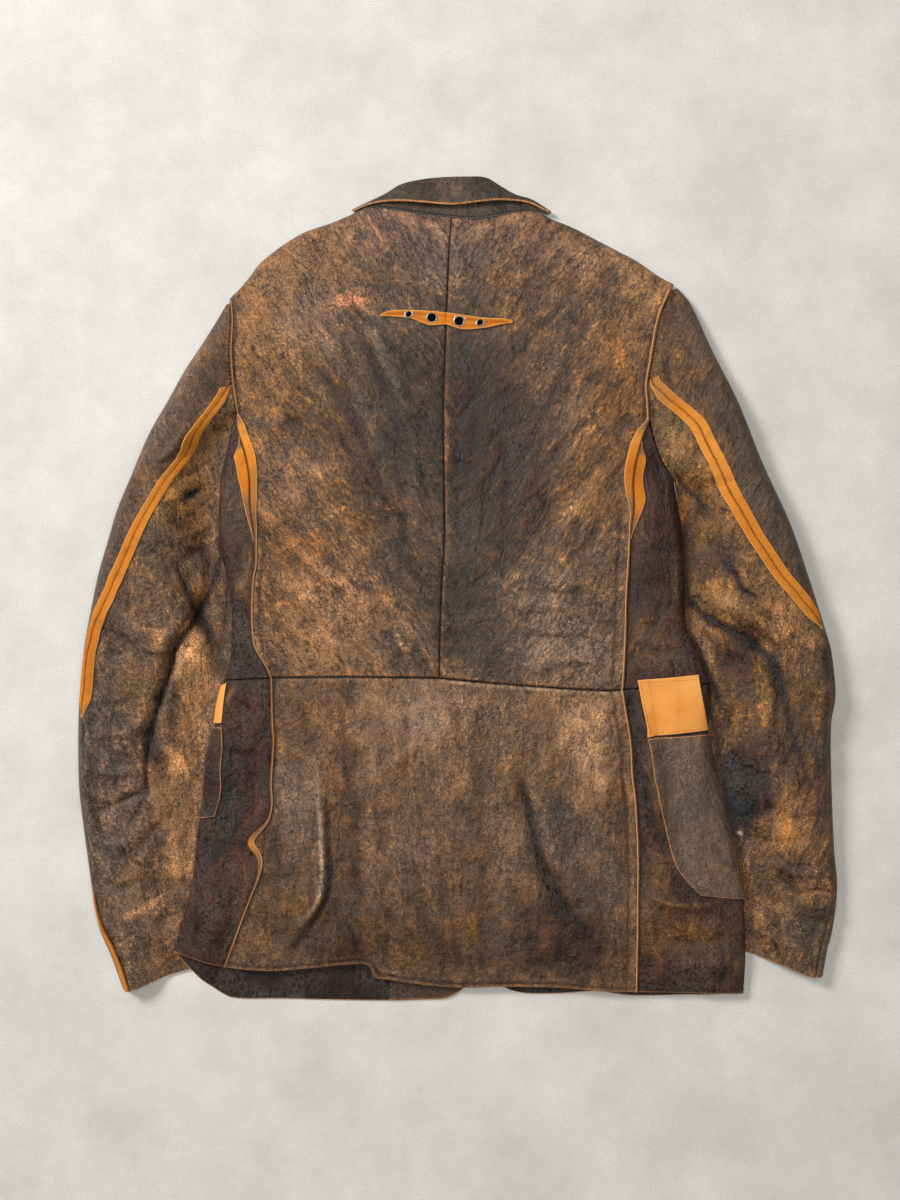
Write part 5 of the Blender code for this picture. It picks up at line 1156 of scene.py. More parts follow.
# %% [markdown]
# ## Materials
#
# Worn leather is three things at once: the painted tone, a speckle where the dyed grain
# has rubbed off its high points, and a fine crackle. All are procedural and read Object
# coordinates, so they stay on the piece when it is looked at from elsewhere. The cut
# edge of the hide shows its undyed, orange core, so the tone turns to suede right at the
# border of each shell.

# %% Node helpers
def new_material(name):
    made = bpy.data.materials.new(name)
    made.use_nodes = True
    tree = made.node_tree
    shader = tree.nodes["Principled BSDF"]
    return made, tree, shader


def node(tree, kind, inputs=(), **settings):
    made = tree.nodes.new(kind)
    for key, value in settings.items():
        setattr(made, key, value)
    for key, value in dict(inputs).items():
        if isinstance(value, bpy.types.NodeSocket):
            tree.links.new(value, made.inputs[key])
        else:
            made.inputs[key].default_value = value
    return made


def noise(tree, where, scale, detail=4.0, rough=0.55, twist=0.0):
    made = node(tree, "ShaderNodeTexNoise", {"Vector": where, "Scale": scale, "Detail": detail,
                                             "Roughness": rough, "Distortion": twist})
    return made.outputs["Fac"]


def spread(tree, value, low, high, to_low=0.0, to_high=1.0):
    made = node(tree, "ShaderNodeMapRange", {"Value": value, "From Min": low, "From Max": high,
                                             "To Min": to_low, "To Max": to_high})
    return made.outputs["Result"]


def mixed(tree, share, a, b, blend="MIX"):
    return node(tree, "ShaderNodeMix", {0: share, 6: a, 7: b}, data_type="RGBA", blend_type=blend).outputs[2]


def maths(tree, operation, a, b=0.0):
    return node(tree, "ShaderNodeMath", {0: a, 1: b}, operation=operation).outputs[0]


def object_place(tree):
    return node(tree, "ShaderNodeTexCoord").outputs["Object"]


def painted(tree):
    """Object place, tone, and distances to the raw and the turned borders."""
    read = [node(tree, "ShaderNodeAttribute", attribute_name=name) for name in ("tone", "border", "pressed")]
    return object_place(tree), read[0].outputs["Color"], read[1].outputs["Fac"], read[2].outputs["Fac"]


def finished(tree, shader, colour, rough, relief=None, distance=0.0, strength=1.0, **settings):
    """Colour, roughness, relief and other settings of a shader."""
    ways = {"Base Color": colour, "Roughness": rough}
    if relief is not None:
        bump = node(tree, "ShaderNodeBump", {"Height": relief, "Distance": distance, "Strength": strength})
        ways["Normal"] = bump.outputs["Normal"]
    for name, value in list(ways.items()) + list(settings.items()):
        if isinstance(value, bpy.types.NodeSocket):
            tree.links.new(value, shader.inputs[name])
        else:
            shader.inputs[name].default_value = value


def shade(rgb):
    return tuple(to_linear(rgb)) + (1.0,)


# %% Worn leather
# The dark of the grain's flecks and cracks, also used as painted shade along turned seams
DARK_GRAIN_AND_SEAM_SHADE = (30, 22, 19)
# Painted grey sheen on the lips of the fine cracks
CRACK_SHEEN = (150, 134, 120)
CUT_EDGE = (194, 132, 78)
MIRRORED_LEAN = -0.55
CRACK_WARP = 0.006
CRACK_SHARE = 0.62
# Weights of the pattern's layers in the tone
TONE_CLOUDS, TONE_DRAG, TONE_STREAKS, TONE_FLECKS, TONE_GRAIN = 3.6, 6.0, 6.0, 5.5, 4.5
LEATHER_RELIEF = 0.0019


def stretched(tree, where, lean, length):
    """Coordinates in which a noise grows into streaks that lean from the coat's length."""
    turned = {"Vector": where, "Rotation": (0.0, 0.0, lean), "Scale": (1.0, length, 1.0)}
    return node(tree, "ShaderNodeMapping", turned, vector_type="TEXTURE").outputs["Vector"]


def weighed(tree, *terms):
    """Sum of noises less their middle, each with its weight."""
    total = 0.0
    for value, weight in terms:
        part = maths(tree, "MULTIPLY", maths(tree, "SUBTRACT", value, 0.5), weight)
        total = maths(tree, "ADD", part, total)
    return total


def worn_leather(name, speckle=1.0, lean=MIRRORED_LEAN, gloss=0.36, length=2.2, raw_width=0.8):
    """Leather with a painted tone; lean turns its streaks of this length, mirrored about the middle."""
    made, tree, shader = new_material(name)
    where, tone, border, pressed = painted(tree)
    light = node(tree, "ShaderNodeRGBToBW", {"Color": tone}).outputs["Val"]
    worn = spread(tree, light, 0.045, 0.14)

    # The same lean on both sides of the centre seam, and less of it in places
    parts = node(tree, "ShaderNodeSeparateXYZ", {"Vector": where})
    both = {"X": maths(tree, "ABSOLUTE", parts.outputs["X"]), "Y": parts.outputs["Y"],
            "Z": parts.outputs["Z"]}
    both = node(tree, "ShaderNodeCombineXYZ", both).outputs["Vector"]
    clouds = noise(tree, where, 34.0, 5.0, 0.62, 0.6)
    drag = noise(tree, stretched(tree, both, lean, 2.6), 80.0, 6.0, 0.60, 0.8)
    streaks = noise(tree, stretched(tree, both, lean * 1.15, length), 290.0, 4.0, 0.58, 0.7)
    flecks = noise(tree, stretched(tree, both, lean * 0.9, 0.7 * length), 470.0, 3.0, 0.6, 0.5)
    grain = noise(tree, where, 900.0, 2.0, 0.6)

    # Brighter and warmer where the dye is rubbed off, darker where it stayed
    strong = spread(tree, worn, 0.0, 1.0, 0.9, 1.0)
    even = weighed(tree, (clouds, TONE_CLOUDS), (drag, TONE_DRAG))
    rough_part = weighed(tree, (streaks, TONE_STREAKS), (flecks, TONE_FLECKS), (grain, TONE_GRAIN))
    stops = maths(tree, "ADD", even, maths(tree, "MULTIPLY", rough_part, strong))
    stops = maths(tree, "MULTIPLY", stops, speckle)
    gains = node(tree, "ShaderNodeCombineXYZ", {
        axis: maths(tree, "POWER", 2.0, maths(tree, "MULTIPLY", stops, rate))
        for axis, rate in (("X", 1.06), ("Y", 1.0), ("Z", 0.86))}).outputs["Vector"]
    colour = mixed(tree, 1.0, tone, gains, "MULTIPLY")

    # Dark flecks left in the rubbed tan
    fleck = spread(tree, weighed(tree, (flecks, 1.0), (streaks, 0.9), (drag, 0.5)), 0.06, 0.14)
    fleck = maths(tree, "MULTIPLY", fleck, spread(tree, worn, 0.15, 1.0, 0.0, 0.75 * speckle))
    colour = mixed(tree, fleck, colour, shade(DARK_GRAIN_AND_SEAM_SHADE))

    # Fine cracks: dark cell borders of a warped cell pattern, with painted grey sheen on their lips,
    # strongest on the dark leather, in patches
    twisted = node(tree, "ShaderNodeTexNoise", {"Vector": where, "Scale": 260.0, "Detail": 3.0})
    moved = {0: twisted.outputs["Color"], 1: (CRACK_WARP,) * 3, 2: stretched(tree, both, lean, 1.7)}
    warped = node(tree, "ShaderNodeVectorMath", moved, operation="MULTIPLY_ADD").outputs["Vector"]
    cells = node(tree, "ShaderNodeTexVoronoi", {"Vector": warped, "Scale": 210.0},
                 feature="DISTANCE_TO_EDGE").outputs["Distance"]
    patches = spread(tree, noise(tree, where, 22.0, 3.0, 0.6), 0.42, 0.62)
    crack = maths(tree, "MULTIPLY", spread(tree, cells, 0.05, 0.01), patches)
    # The painted sheen on the cracks' lips
    lip = maths(tree, "MULTIPLY", spread(tree, cells, 0.16, 0.06), patches)
    lip = maths(tree, "MULTIPLY", lip, spread(tree, worn, 0.0, 1.0, 0.30, 0.12))
    colour = mixed(tree, lip, colour, shade(CRACK_SHEEN))
    colour = mixed(tree, maths(tree, "MULTIPLY", crack, CRACK_SHARE), colour, shade(DARK_GRAIN_AND_SEAM_SHADE))

    # Turned seams are darkened with painted shade in their groove, and the cut edge shows the undyed core
    seam_shade = spread(tree, pressed, 1.7, 0.2, 0.0, 0.9)
    colour = mixed(tree, seam_shade, colour, shade(DARK_GRAIN_AND_SEAM_SHADE))
    cut = spread(tree, maths(tree, "ADD", border, maths(tree, "MULTIPLY", grain, 0.6)), raw_width + 0.45,
                 raw_width + 0.1, 0.0, 0.8)
    colour = mixed(tree, cut, colour, shade(CUT_EDGE))

    rough = spread(tree, stops, -0.8, 0.8, gloss - 0.06, gloss + 0.22)
    relief = weighed(tree, (clouds, 2.4), (drag, 2.2), (streaks, 0.55), (flecks, 0.3), (grain, 0.25),
                     (crack, -0.5))
    finished(tree, shader, colour, rough, relief, LEATHER_RELIEF, **{"Specular IOR Level": 0.36})
    return made


# %% Raw suede and metal
def suede(name, fleck=1.0):
    made, tree, shader = new_material(name)
    where, tone, border, pressed = painted(tree)
    nap = noise(tree, where, 900.0, 5.0, 0.65)
    cloud = noise(tree, where, 90.0, 4.0, 0.6)
    colour = mixed(tree, spread(tree, cloud, 0.5, 0.75, 0.0, 0.55 * fleck), tone, shade((150, 86, 36)))
    colour = mixed(tree, spread(tree, nap, 0.55, 0.75, 0.0, 0.5), colour, shade((242, 182, 112)))
    colour = mixed(tree, spread(tree, nap, 0.42, 0.25, 0.0, 0.5 * fleck), colour, shade((120, 66, 30)))
    sewn = spread(tree, maths(tree, "ADD", pressed, maths(tree, "MULTIPLY", nap, 1.2)), 2.3, 1.1, 0.0, 0.8)
    colour = mixed(tree, sewn, colour, shade((84, 44, 22)))
    cut = spread(tree, maths(tree, "ADD", border, maths(tree, "MULTIPLY", nap, 0.6)), 1.3, 0.6, 0.0, 0.75)
    colour = mixed(tree, cut, colour, shade((214, 158, 100)))
    relief = maths(tree, "ADD", nap, maths(tree, "MULTIPLY", cloud, 0.6))
    finished(tree, shader, colour, 0.92, relief, 0.0007, 0.7, **{"Specular IOR Level": 0.2})
    return made


def nickel(name):
    made, tree, shader = new_material(name)
    dull = noise(tree, object_place(tree), 700.0, 4.0, 0.6)
    colour = mixed(tree, spread(tree, dull, 0.45, 0.7), shade((202, 200, 196)), shade((120, 112, 104)))
    rough = spread(tree, dull, 0.3, 0.7, 0.22, 0.5)
    finished(tree, shader, colour, rough, dull, 0.0002, 0.4, Metallic=1.0)
    return made


def thread(name, rgb):
    made, tree, shader = new_material(name)
    twist = noise(tree, object_place(tree), 3000.0, 2.0, 0.5)
    colour = mixed(tree, spread(tree, twist, 0.4, 0.7, 0.0, 0.5), shade(rgb), shade([v * 0.55 for v in rgb]))
    finished(tree, shader, colour, 0.8)
    return made


BODY_LEATHER = worn_leather("worn body leather")
SKIRT_LEATHER = worn_leather("worn skirt leather", 0.75, -0.10, length=1.3)
SLEEVE_LEATHER = worn_leather("worn sleeve leather", 1.0, -0.22, length=1.25)
SLEEVE_TOP_LEATHER = worn_leather("smoother sleeve leather", 0.7, -0.42, length=1.8)
SIDE_LEATHER = worn_leather("worn side leather", 0.75, 0.06, length=1.2)
COLLAR_LEATHER = worn_leather("rubbed collar leather", 0.6, 0.2, gloss=0.45, length=1.2, raw_width=1.9)
POCKET_LEATHER = worn_leather("rubbed pocket leather", 0.5, 0.2, gloss=0.45, length=1.2)
INSIDE_LEATHER = worn_leather("inside leather", 0.5, 0.0, gloss=0.6, length=1.2)
RAW_SUEDE = suede("raw orange suede")
TAB_SUEDE = suede("tab suede", 0.35)
NICKEL = nickel("worn nickel")
DARK_THREAD = thread("dark thread", (52, 38, 32))
TAN_THREAD = thread("tan thread", (168, 112, 62))

# %% [markdown]
# ## Back, sides and skirt
#
# The back is cut in two, joined by a dark pressed centre seam. At the armholes and down
# the sides the seam allowances were left outside, as thin raw edges that open into
# orange, leaf-shaped lenses under the arms. Below the waist seam hangs the skirt, with
# the same raw edges down its sides. Each raw edge is a strip that copies the panel's own
# points and lies just above them.

# %% Stations along the armholes and seams
STEPS_LEFT = np.array([0.0, 0.02, 0.06, 0.14, 0.28, 0.44, 0.6, 0.75, 1.0])
STEPS_RIGHT = np.array([0.0, 0.02, 0.06, 0.14, 0.30, 0.50, 0.72, 1.0])
STRIP_START = 0.06
HIND_ROW_LEFT = 7
HIND_ROW_RIGHT = 6
BACK_COLUMNS = SHOULDER_COLUMNS + NECK_COLUMNS
FINE_LEFT = split(STEPS_LEFT, 115.0)
FINE_RIGHT = split(STEPS_RIGHT, 134.0)
SIDE_FINE = split(even(SIDE_ROWS), 254.0)
SIDE_FINE_RIGHT = split(even(RIGHT_SIDE_ROWS), 262.0)
LOWER_FINE = split(even(LOWER_ARMHOLE_ROWS), 64.0)
SKIRT_FINE = split(even(SKIRT_ROWS), 296.0)
ARM_LEFT = sample(ARMHOLE_LEFT, FINE_LEFT)
ARM_RIGHT = sample(ARMHOLE_RIGHT, FINE_RIGHT)
ARM_RIGHT_LOW = sample(ARMHOLE_RIGHT_LOW, LOWER_FINE)
SIDE_LEFT = sample(SIDE_SEAM_LEFT, SIDE_FINE)
SIDE_RIGHT = sample(SIDE_SEAM_RIGHT, SIDE_FINE_RIGHT)
EDGE_LEFT = sample(FOLD_LEFT, SIDE_FINE)
EDGE_LEFT_LOW = sample(FOLD_LEFT_LOW, SKIRT_FINE)
EDGE_RIGHT = sample(FOLD_RIGHT, np.linspace(0.0, 1.0, len(SIDE_FINE_RIGHT) - len(LOWER_FINE) + 1))
EDGE_RIGHT_LOW = sample(FOLD_RIGHT_LOW, SKIRT_FINE)
INSIDE_LEFT = beside(joined(EDGE_LEFT, EDGE_LEFT_LOW), EDGE)
INSIDE_RIGHT = beside(joined(ARM_RIGHT_LOW, EDGE_RIGHT, EDGE_RIGHT_LOW), -EDGE)
LEAF = split(even(1), 9.0)
LEAF_COLUMNS = len(LEAF)
ACROSS = split(even(BACK_COLUMNS), 190.0)
# The raw edges take this share of the waist on each side
RAW_LEFT, RAW_RIGHT = RAW_EDGE / 162, RAW_EDGE / 177
WAIST_L = sample(WAIST_LEFT, joined(RAW_LEFT * LEAF, RAW_LEFT + (1 - RAW_LEFT) * ACROSS))
WAIST_R = sample(WAIST_RIGHT, joined((1 - RAW_RIGHT) * ACROSS, 1 - RAW_RIGHT * LEAF[::-1]))
print("rows of the left back:", len(ARM_LEFT) + len(SIDE_LEFT) - 1, "columns:", len(WAIST_L))


# %% Points of a plan grid on a layer, and a strip on it
def on_layer(plan, height=back_height):
    flat = plan.reshape(-1, 2)
    return np.column_stack([flat, height(flat)]).reshape(plan.shape[:2] + (3,))


def leather_piece(name, node_name, plan, finish, paint, raw="", turned="", height=back_height):
    points = on_layer(bordered(plan), height)
    return piece_of(name, node_name, points, -LEATHER, 0.0, finish, paint, "brown_leather", ("floor",),
                    raw=raw, turned=turned)


DULL_EDGE = to_linear((118, 84, 56))
SUEDE_EDGE = 0.3
# A strip narrower than the first size is as brown as the leather, and bare suede from the second on
NARROW_STRIP, WIDE_STRIP = 4.5, 9.5


def strip_paint(points):
    """Bare suede where a leaf is wide; where only its edge shows, it is as brown as the leather."""
    wide = np.linalg.norm(points[:, 0] - points[:, -1], axis=1)
    bare = smooth((wide - NARROW_STRIP) / (WIDE_STRIP - NARROW_STRIP))[:, None, None]
    bare = bare * np.ones(points.shape[:2] + (1,))

    def paint(plan):
        share = bare.reshape(-1, 1)
        return suede_paint(plan) * share + DULL_EDGE * (1.0 - share)
    return paint


def raw_strip(name, node_name, plan, host, free, ends=0):
    """A strip on its host; free is its cut side, and a leaf with ends narrows at both of them."""
    sewn = {"l": "r", "r": "l"}[free]
    if ends:
        rows = np.arange(len(plan))
        narrow = 0.12 + 0.88 * smooth(np.minimum(rows, len(plan) - 1 - rows) / ends)[:, None, None]
        seam_line = plan[:, -1:] if free == "l" else plan[:, :1]
        plan = seam_line + (plan - seam_line) * narrow
    points = on_layer(bordered(plan, (0.2, 0.5)))
    return piece_of(name, node_name, points, GAP, GAP + SUEDE, RAW_SUEDE, strip_paint(points), "raw_suede",
                    (host,), soft_edge=SUEDE_EDGE, raw=free, turned=sewn)


# %% The two backs
def back_half(half, arm, side, arm_steps, side_steps, leaf, top, waist):
    """One half of the back with its raw edge, whose width along the side follows leaf."""
    seam = joined(arm, side)
    run = np.concatenate([np.full(len(arm) - 1, -1.0), side_steps])
    width = np.where(run < 0, RAW_EDGE, np.interp(run, *leaf))
    centre = sample(CENTRE_SEAM, np.concatenate([ARMHOLE_SHARE * arm_steps[:-1],
                                                 ARMHOLE_SHARE + (1 - ARMHOLE_SHARE) * side_steps]))
    first_row = int(np.searchsorted(arm_steps, STRIP_START))
    if half == "left":
        grid = rail_grid([seam, beside(seam, width), centre], [LEAF, ACROSS], top, waist)
        turned, strip_at, free = "rtb", slice(0, LEAF_COLUMNS), "r"
    else:
        grid = rail_grid([centre, beside(seam, -width), seam], [ACROSS, LEAF], top, waist)
        turned, strip_at, free = "ltb", slice(-LEAF_COLUMNS, None), "l"
    grid = drawn_in(grid, top=EDGE)
    name = "back_%s_leather" % half
    made = leather_piece(name, "back_%s" % half, grid, BODY_LEATHER, body_paint, turned=turned)
    raw_strip("raw_edge_%s_back" % half, "allowance_%s_back" % half, grid[first_row:, strip_at], name, free)
    return made


shoulder_across = even(int(round((len(ACROSS) - 1) * SHOULDER_COLUMNS / BACK_COLUMNS)))
neck_across = even(len(ACROSS) - len(shoulder_across))
shoulder = sample(SHOULDER_LEFT[::-1], joined(0.02 * LEAF, 0.02 + 0.98 * shoulder_across))
back_left = back_half("left", ARM_LEFT, SIDE_LEFT, FINE_LEFT, SIDE_FINE,
                      ((0, 0.05, 0.17, 0.25, 0.33, 0.42, 0.5, 1),
                       (RAW_EDGE, 8, 9.5, 7.5, 7, 4, RAW_EDGE, RAW_EDGE)),
                      joined(shoulder, sample(NECK_LEFT, neck_across)), WAIST_L)
shoulder = sample(SHOULDER_RIGHT, np.concatenate([0.98 * shoulder_across[:-1], 1.0 - 0.02 * LEAF[::-1]]))
back_right = back_half("right", ARM_RIGHT, SIDE_RIGHT, FINE_RIGHT, SIDE_FINE_RIGHT,
                       ((0, 0.05, 0.1, 0.2, 0.28, 0.36, 0.45, 1),
                        (RAW_EDGE, 7, 9.5, 9.5, 7, 3, RAW_EDGE, RAW_EDGE)),
                       joined(sample(NECK_RIGHT, neck_across), shoulder), WAIST_R)

# %% Upper side panels, with the inner leaves of the lenses
FOLD_ACROSS = split(even(6) ** 2, 30.0)
LENS_ENDS = 9


def side_upper(half, seam, outer, fold, steps, leaf, tip, span):
    """An upper side panel from its pointed tip down, and the leaf that lies within span."""
    width = np.minimum(np.interp(steps, *leaf), 0.55 * np.linalg.norm(seam - fold, axis=1))
    if half == "left":
        grid = rail_grid([outer, beside(seam, -width), seam], [FOLD_ACROSS, LEAF])
        turned, strip_at, free = "rb", slice(-LEAF_COLUMNS, None), "l"
    else:
        grid = rail_grid([seam, beside(seam, width), outer], [LEAF, 1 - FOLD_ACROSS[::-1]])
        turned, strip_at, free = "lb", slice(0, LEAF_COLUMNS), "r"
    start = int(np.argmin(np.abs(seam[:, 1] - tip[0][1])))
    grid = grid[start:]
    grid[0] = np.linspace(*tip, grid.shape[1])
    grid[-1] = in_line(grid[-1])
    grid = drawn_in(grid, bottom=GAP, **{half: 0.0})
    name = "side_%s_upper_leather" % half
    leather_piece(name, "side_%s_upper" % half, grid, SIDE_LEATHER, side_paint, turned=turned)
    rows = np.flatnonzero((seam[start:, 1] < span[0]) & (seam[start:, 1] > span[1]))
    raw_strip("raw_leaf_%s_side" % half, "allowance_%s_side" % half, grid[rows[0]:rows[-1] + 1, strip_at],
              name, free, LENS_ENDS)


side_upper("left", SIDE_LEFT, INSIDE_LEFT[:len(EDGE_LEFT)], EDGE_LEFT, SIDE_FINE,
           ((0, 0.11, 0.24, 0.33, 0.42, 1), (3, 11.5, 11, 6, 3, 3)),
           ((-216.0, 160.0), (-212.0, 160.0)), (146.0, 42.0))
right_outer = INSIDE_RIGHT[:len(SIDE_RIGHT)]
side_upper("right", SIDE_RIGHT, right_outer, right_outer, SIDE_FINE_RIGHT,
           ((0, 0.09, 0.15, 0.22, 0.3, 0.38, 0.45, 1), (1, 9, 9, 9, 11, 5, 3, 3)),
           ((179.6, 155.0), (184.0, 154.6)), (142.0, 46.0))

# %% Skirt and lower side panels
left_seam = sample(SKIRT_SEAM_LEFT, SKIRT_FINE)
right_seam = sample(SKIRT_SEAM_RIGHT, SKIRT_FINE)
bulge = np.interp(SKIRT_FINE, (0, 0.44, 0.56, 0.64, 0.7, 1), (RAW_EDGE, RAW_EDGE, 7, 5, RAW_EDGE, RAW_EDGE))
rails = [left_seam, beside(left_seam, bulge), beside(right_seam, -RAW_EDGE), right_seam]
top = joined(WAIST_L, WAIST_R)
DOUBLE = joined(0.5 * ACROSS, 0.5 + 0.5 * ACROSS)
hem = sample(HEM, joined(0.006 * LEAF, 0.006 + 0.988 * DOUBLE, 0.994 + 0.006 * LEAF))
SKIRT = drawn_in(rail_grid(rails, [LEAF, DOUBLE, LEAF], top, hem))
leather_piece("skirt_leather", "back_skirt", SKIRT, SKIRT_LEATHER, skirt_paint, raw="b", turned="t")
for half, strip_at, free in (("left", slice(0, LEAF_COLUMNS), "r"),
                             ("right", slice(-LEAF_COLUMNS, None), "l")):
    raw_strip("raw_edge_skirt_%s" % half, "allowance_skirt_%s" % half, SKIRT[:, strip_at],
              "skirt_leather", free)

EIGHT = split(even(8) ** 1.6, 52.0)
NINE = split(even(9) ** 1.7, 100.0)
LOWER = {"left": rail_grid([INSIDE_LEFT[len(EDGE_LEFT) - 1:], left_seam], [EIGHT],
                           bottom=sample(SIDE_HEM_LEFT, EIGHT)),
         "right": rail_grid([right_seam, INSIDE_RIGHT[-len(right_seam):]], [1 - NINE[::-1]])}
for half, grid in LOWER.items():
    grid[0] = in_line(grid[0])
    leather_piece("side_%s_lower_leather" % half, "side_%s_lower" % half,
                  drawn_in(grid, top=GAP, **{half: 0.0}), SIDE_LEATHER, side_paint, raw="b", turned="t")

# %% [markdown]
# ## Fronts and facing
#
# The fronts lie under the back and show only as a dark strip below its hem. They are
# flat on the floor, meet edge to edge down the middle, and end in the open neck.

# %% Fronts
FRONT_COLUMNS = np.array([0.0, 0.045, 0.09, 0.16, 0.34, 0.56, 0.78, 0.95, 1.0])
HEM_COLUMNS = np.array([0.0, 0.06, 0.13, 0.2, 0.38, 0.6, 0.8, 0.95, 1.0])


def finer(stations, pieces=6):
    return np.interp(even((len(stations) - 1) * pieces), even(len(stations) - 1), stations)


LEFT_OUTER = joined(ARM_LEFT, EDGE_LEFT, EDGE_LEFT_LOW)
RIGHT_OUTER = joined(ARM_RIGHT, ARM_RIGHT_LOW, EDGE_RIGHT, EDGE_RIGHT_LOW)
for half, outer, edge, shoulder, hem in (
        ("left", LEFT_OUTER, FRONT_EDGE_LEFT, SHOULDER_LEFT[::-1], FRONT_HEM_LEFT),
        ("right", RIGHT_OUTER, FRONT_EDGE_RIGHT, SHOULDER_RIGHT, FRONT_HEM_RIGHT)):
    rails = [outer, sample(edge, np.linspace(0.0, 1.0, len(outer)))]
    columns = finer(FRONT_COLUMNS)
    low = sample(hem, finer(HEM_COLUMNS))
    if half == "right":
        rails, columns, low = rails[::-1], 1 - columns[::-1], low[::-1]
    grid = drawn_in(rail_grid(rails, [columns], sample(shoulder, columns), low), top=EDGE, **{half: EDGE})
    leather_piece("front_%s_leather" % half, "front_%s" % half, grid, INSIDE_LEATHER, front_paint, "b",
                  height=front_height)

# %% Facing on the left front
stations = split(even(8), 80.0)
edge_line = np.array([point for point in FRONT_HEM_LEFT if point[0] >= FACING_START[0]], dtype=float)
low = sample(edge_line, stations)
low[:, 1] += 1.2
high = sample(FACING_INNER, stations)
share = split(even(1), 44.0)[:, None, None]
plan = high[None] * (1 - share) + low[None] * share
points = bordered(np.dstack([plan, np.full(plan.shape[:2], LEATHER + GAP)]))
piece_of("front_facing_left_leather", "front_facing_left", points, 0.0, SUEDE, POCKET_LEATHER, facing_paint,
         "brown_leather", ("front_left_leather",), raw="b", turned="l")

# %% [markdown]
# ## Sleeves
#
# Each sleeve is a flat tube in two parts. The top sleeve turns round the outer edge and
# carries on underneath; the under sleeve shows as a dark wedge beside the body. Their
# hind seam was left open too, as a long orange strip of two leaves. Across each row the
# tube rises from its pressed inner edge to a crown and rolls down at the outer edge.


# %% One sleeve
def cuff_line(row, cuff):
    line = dense_curve(cuff)
    order = np.argsort(line[:, 0])
    row = row.copy()
    row[:, 1] = np.interp(row[:, 0], line[order, 0], line[order, 1])
    return row


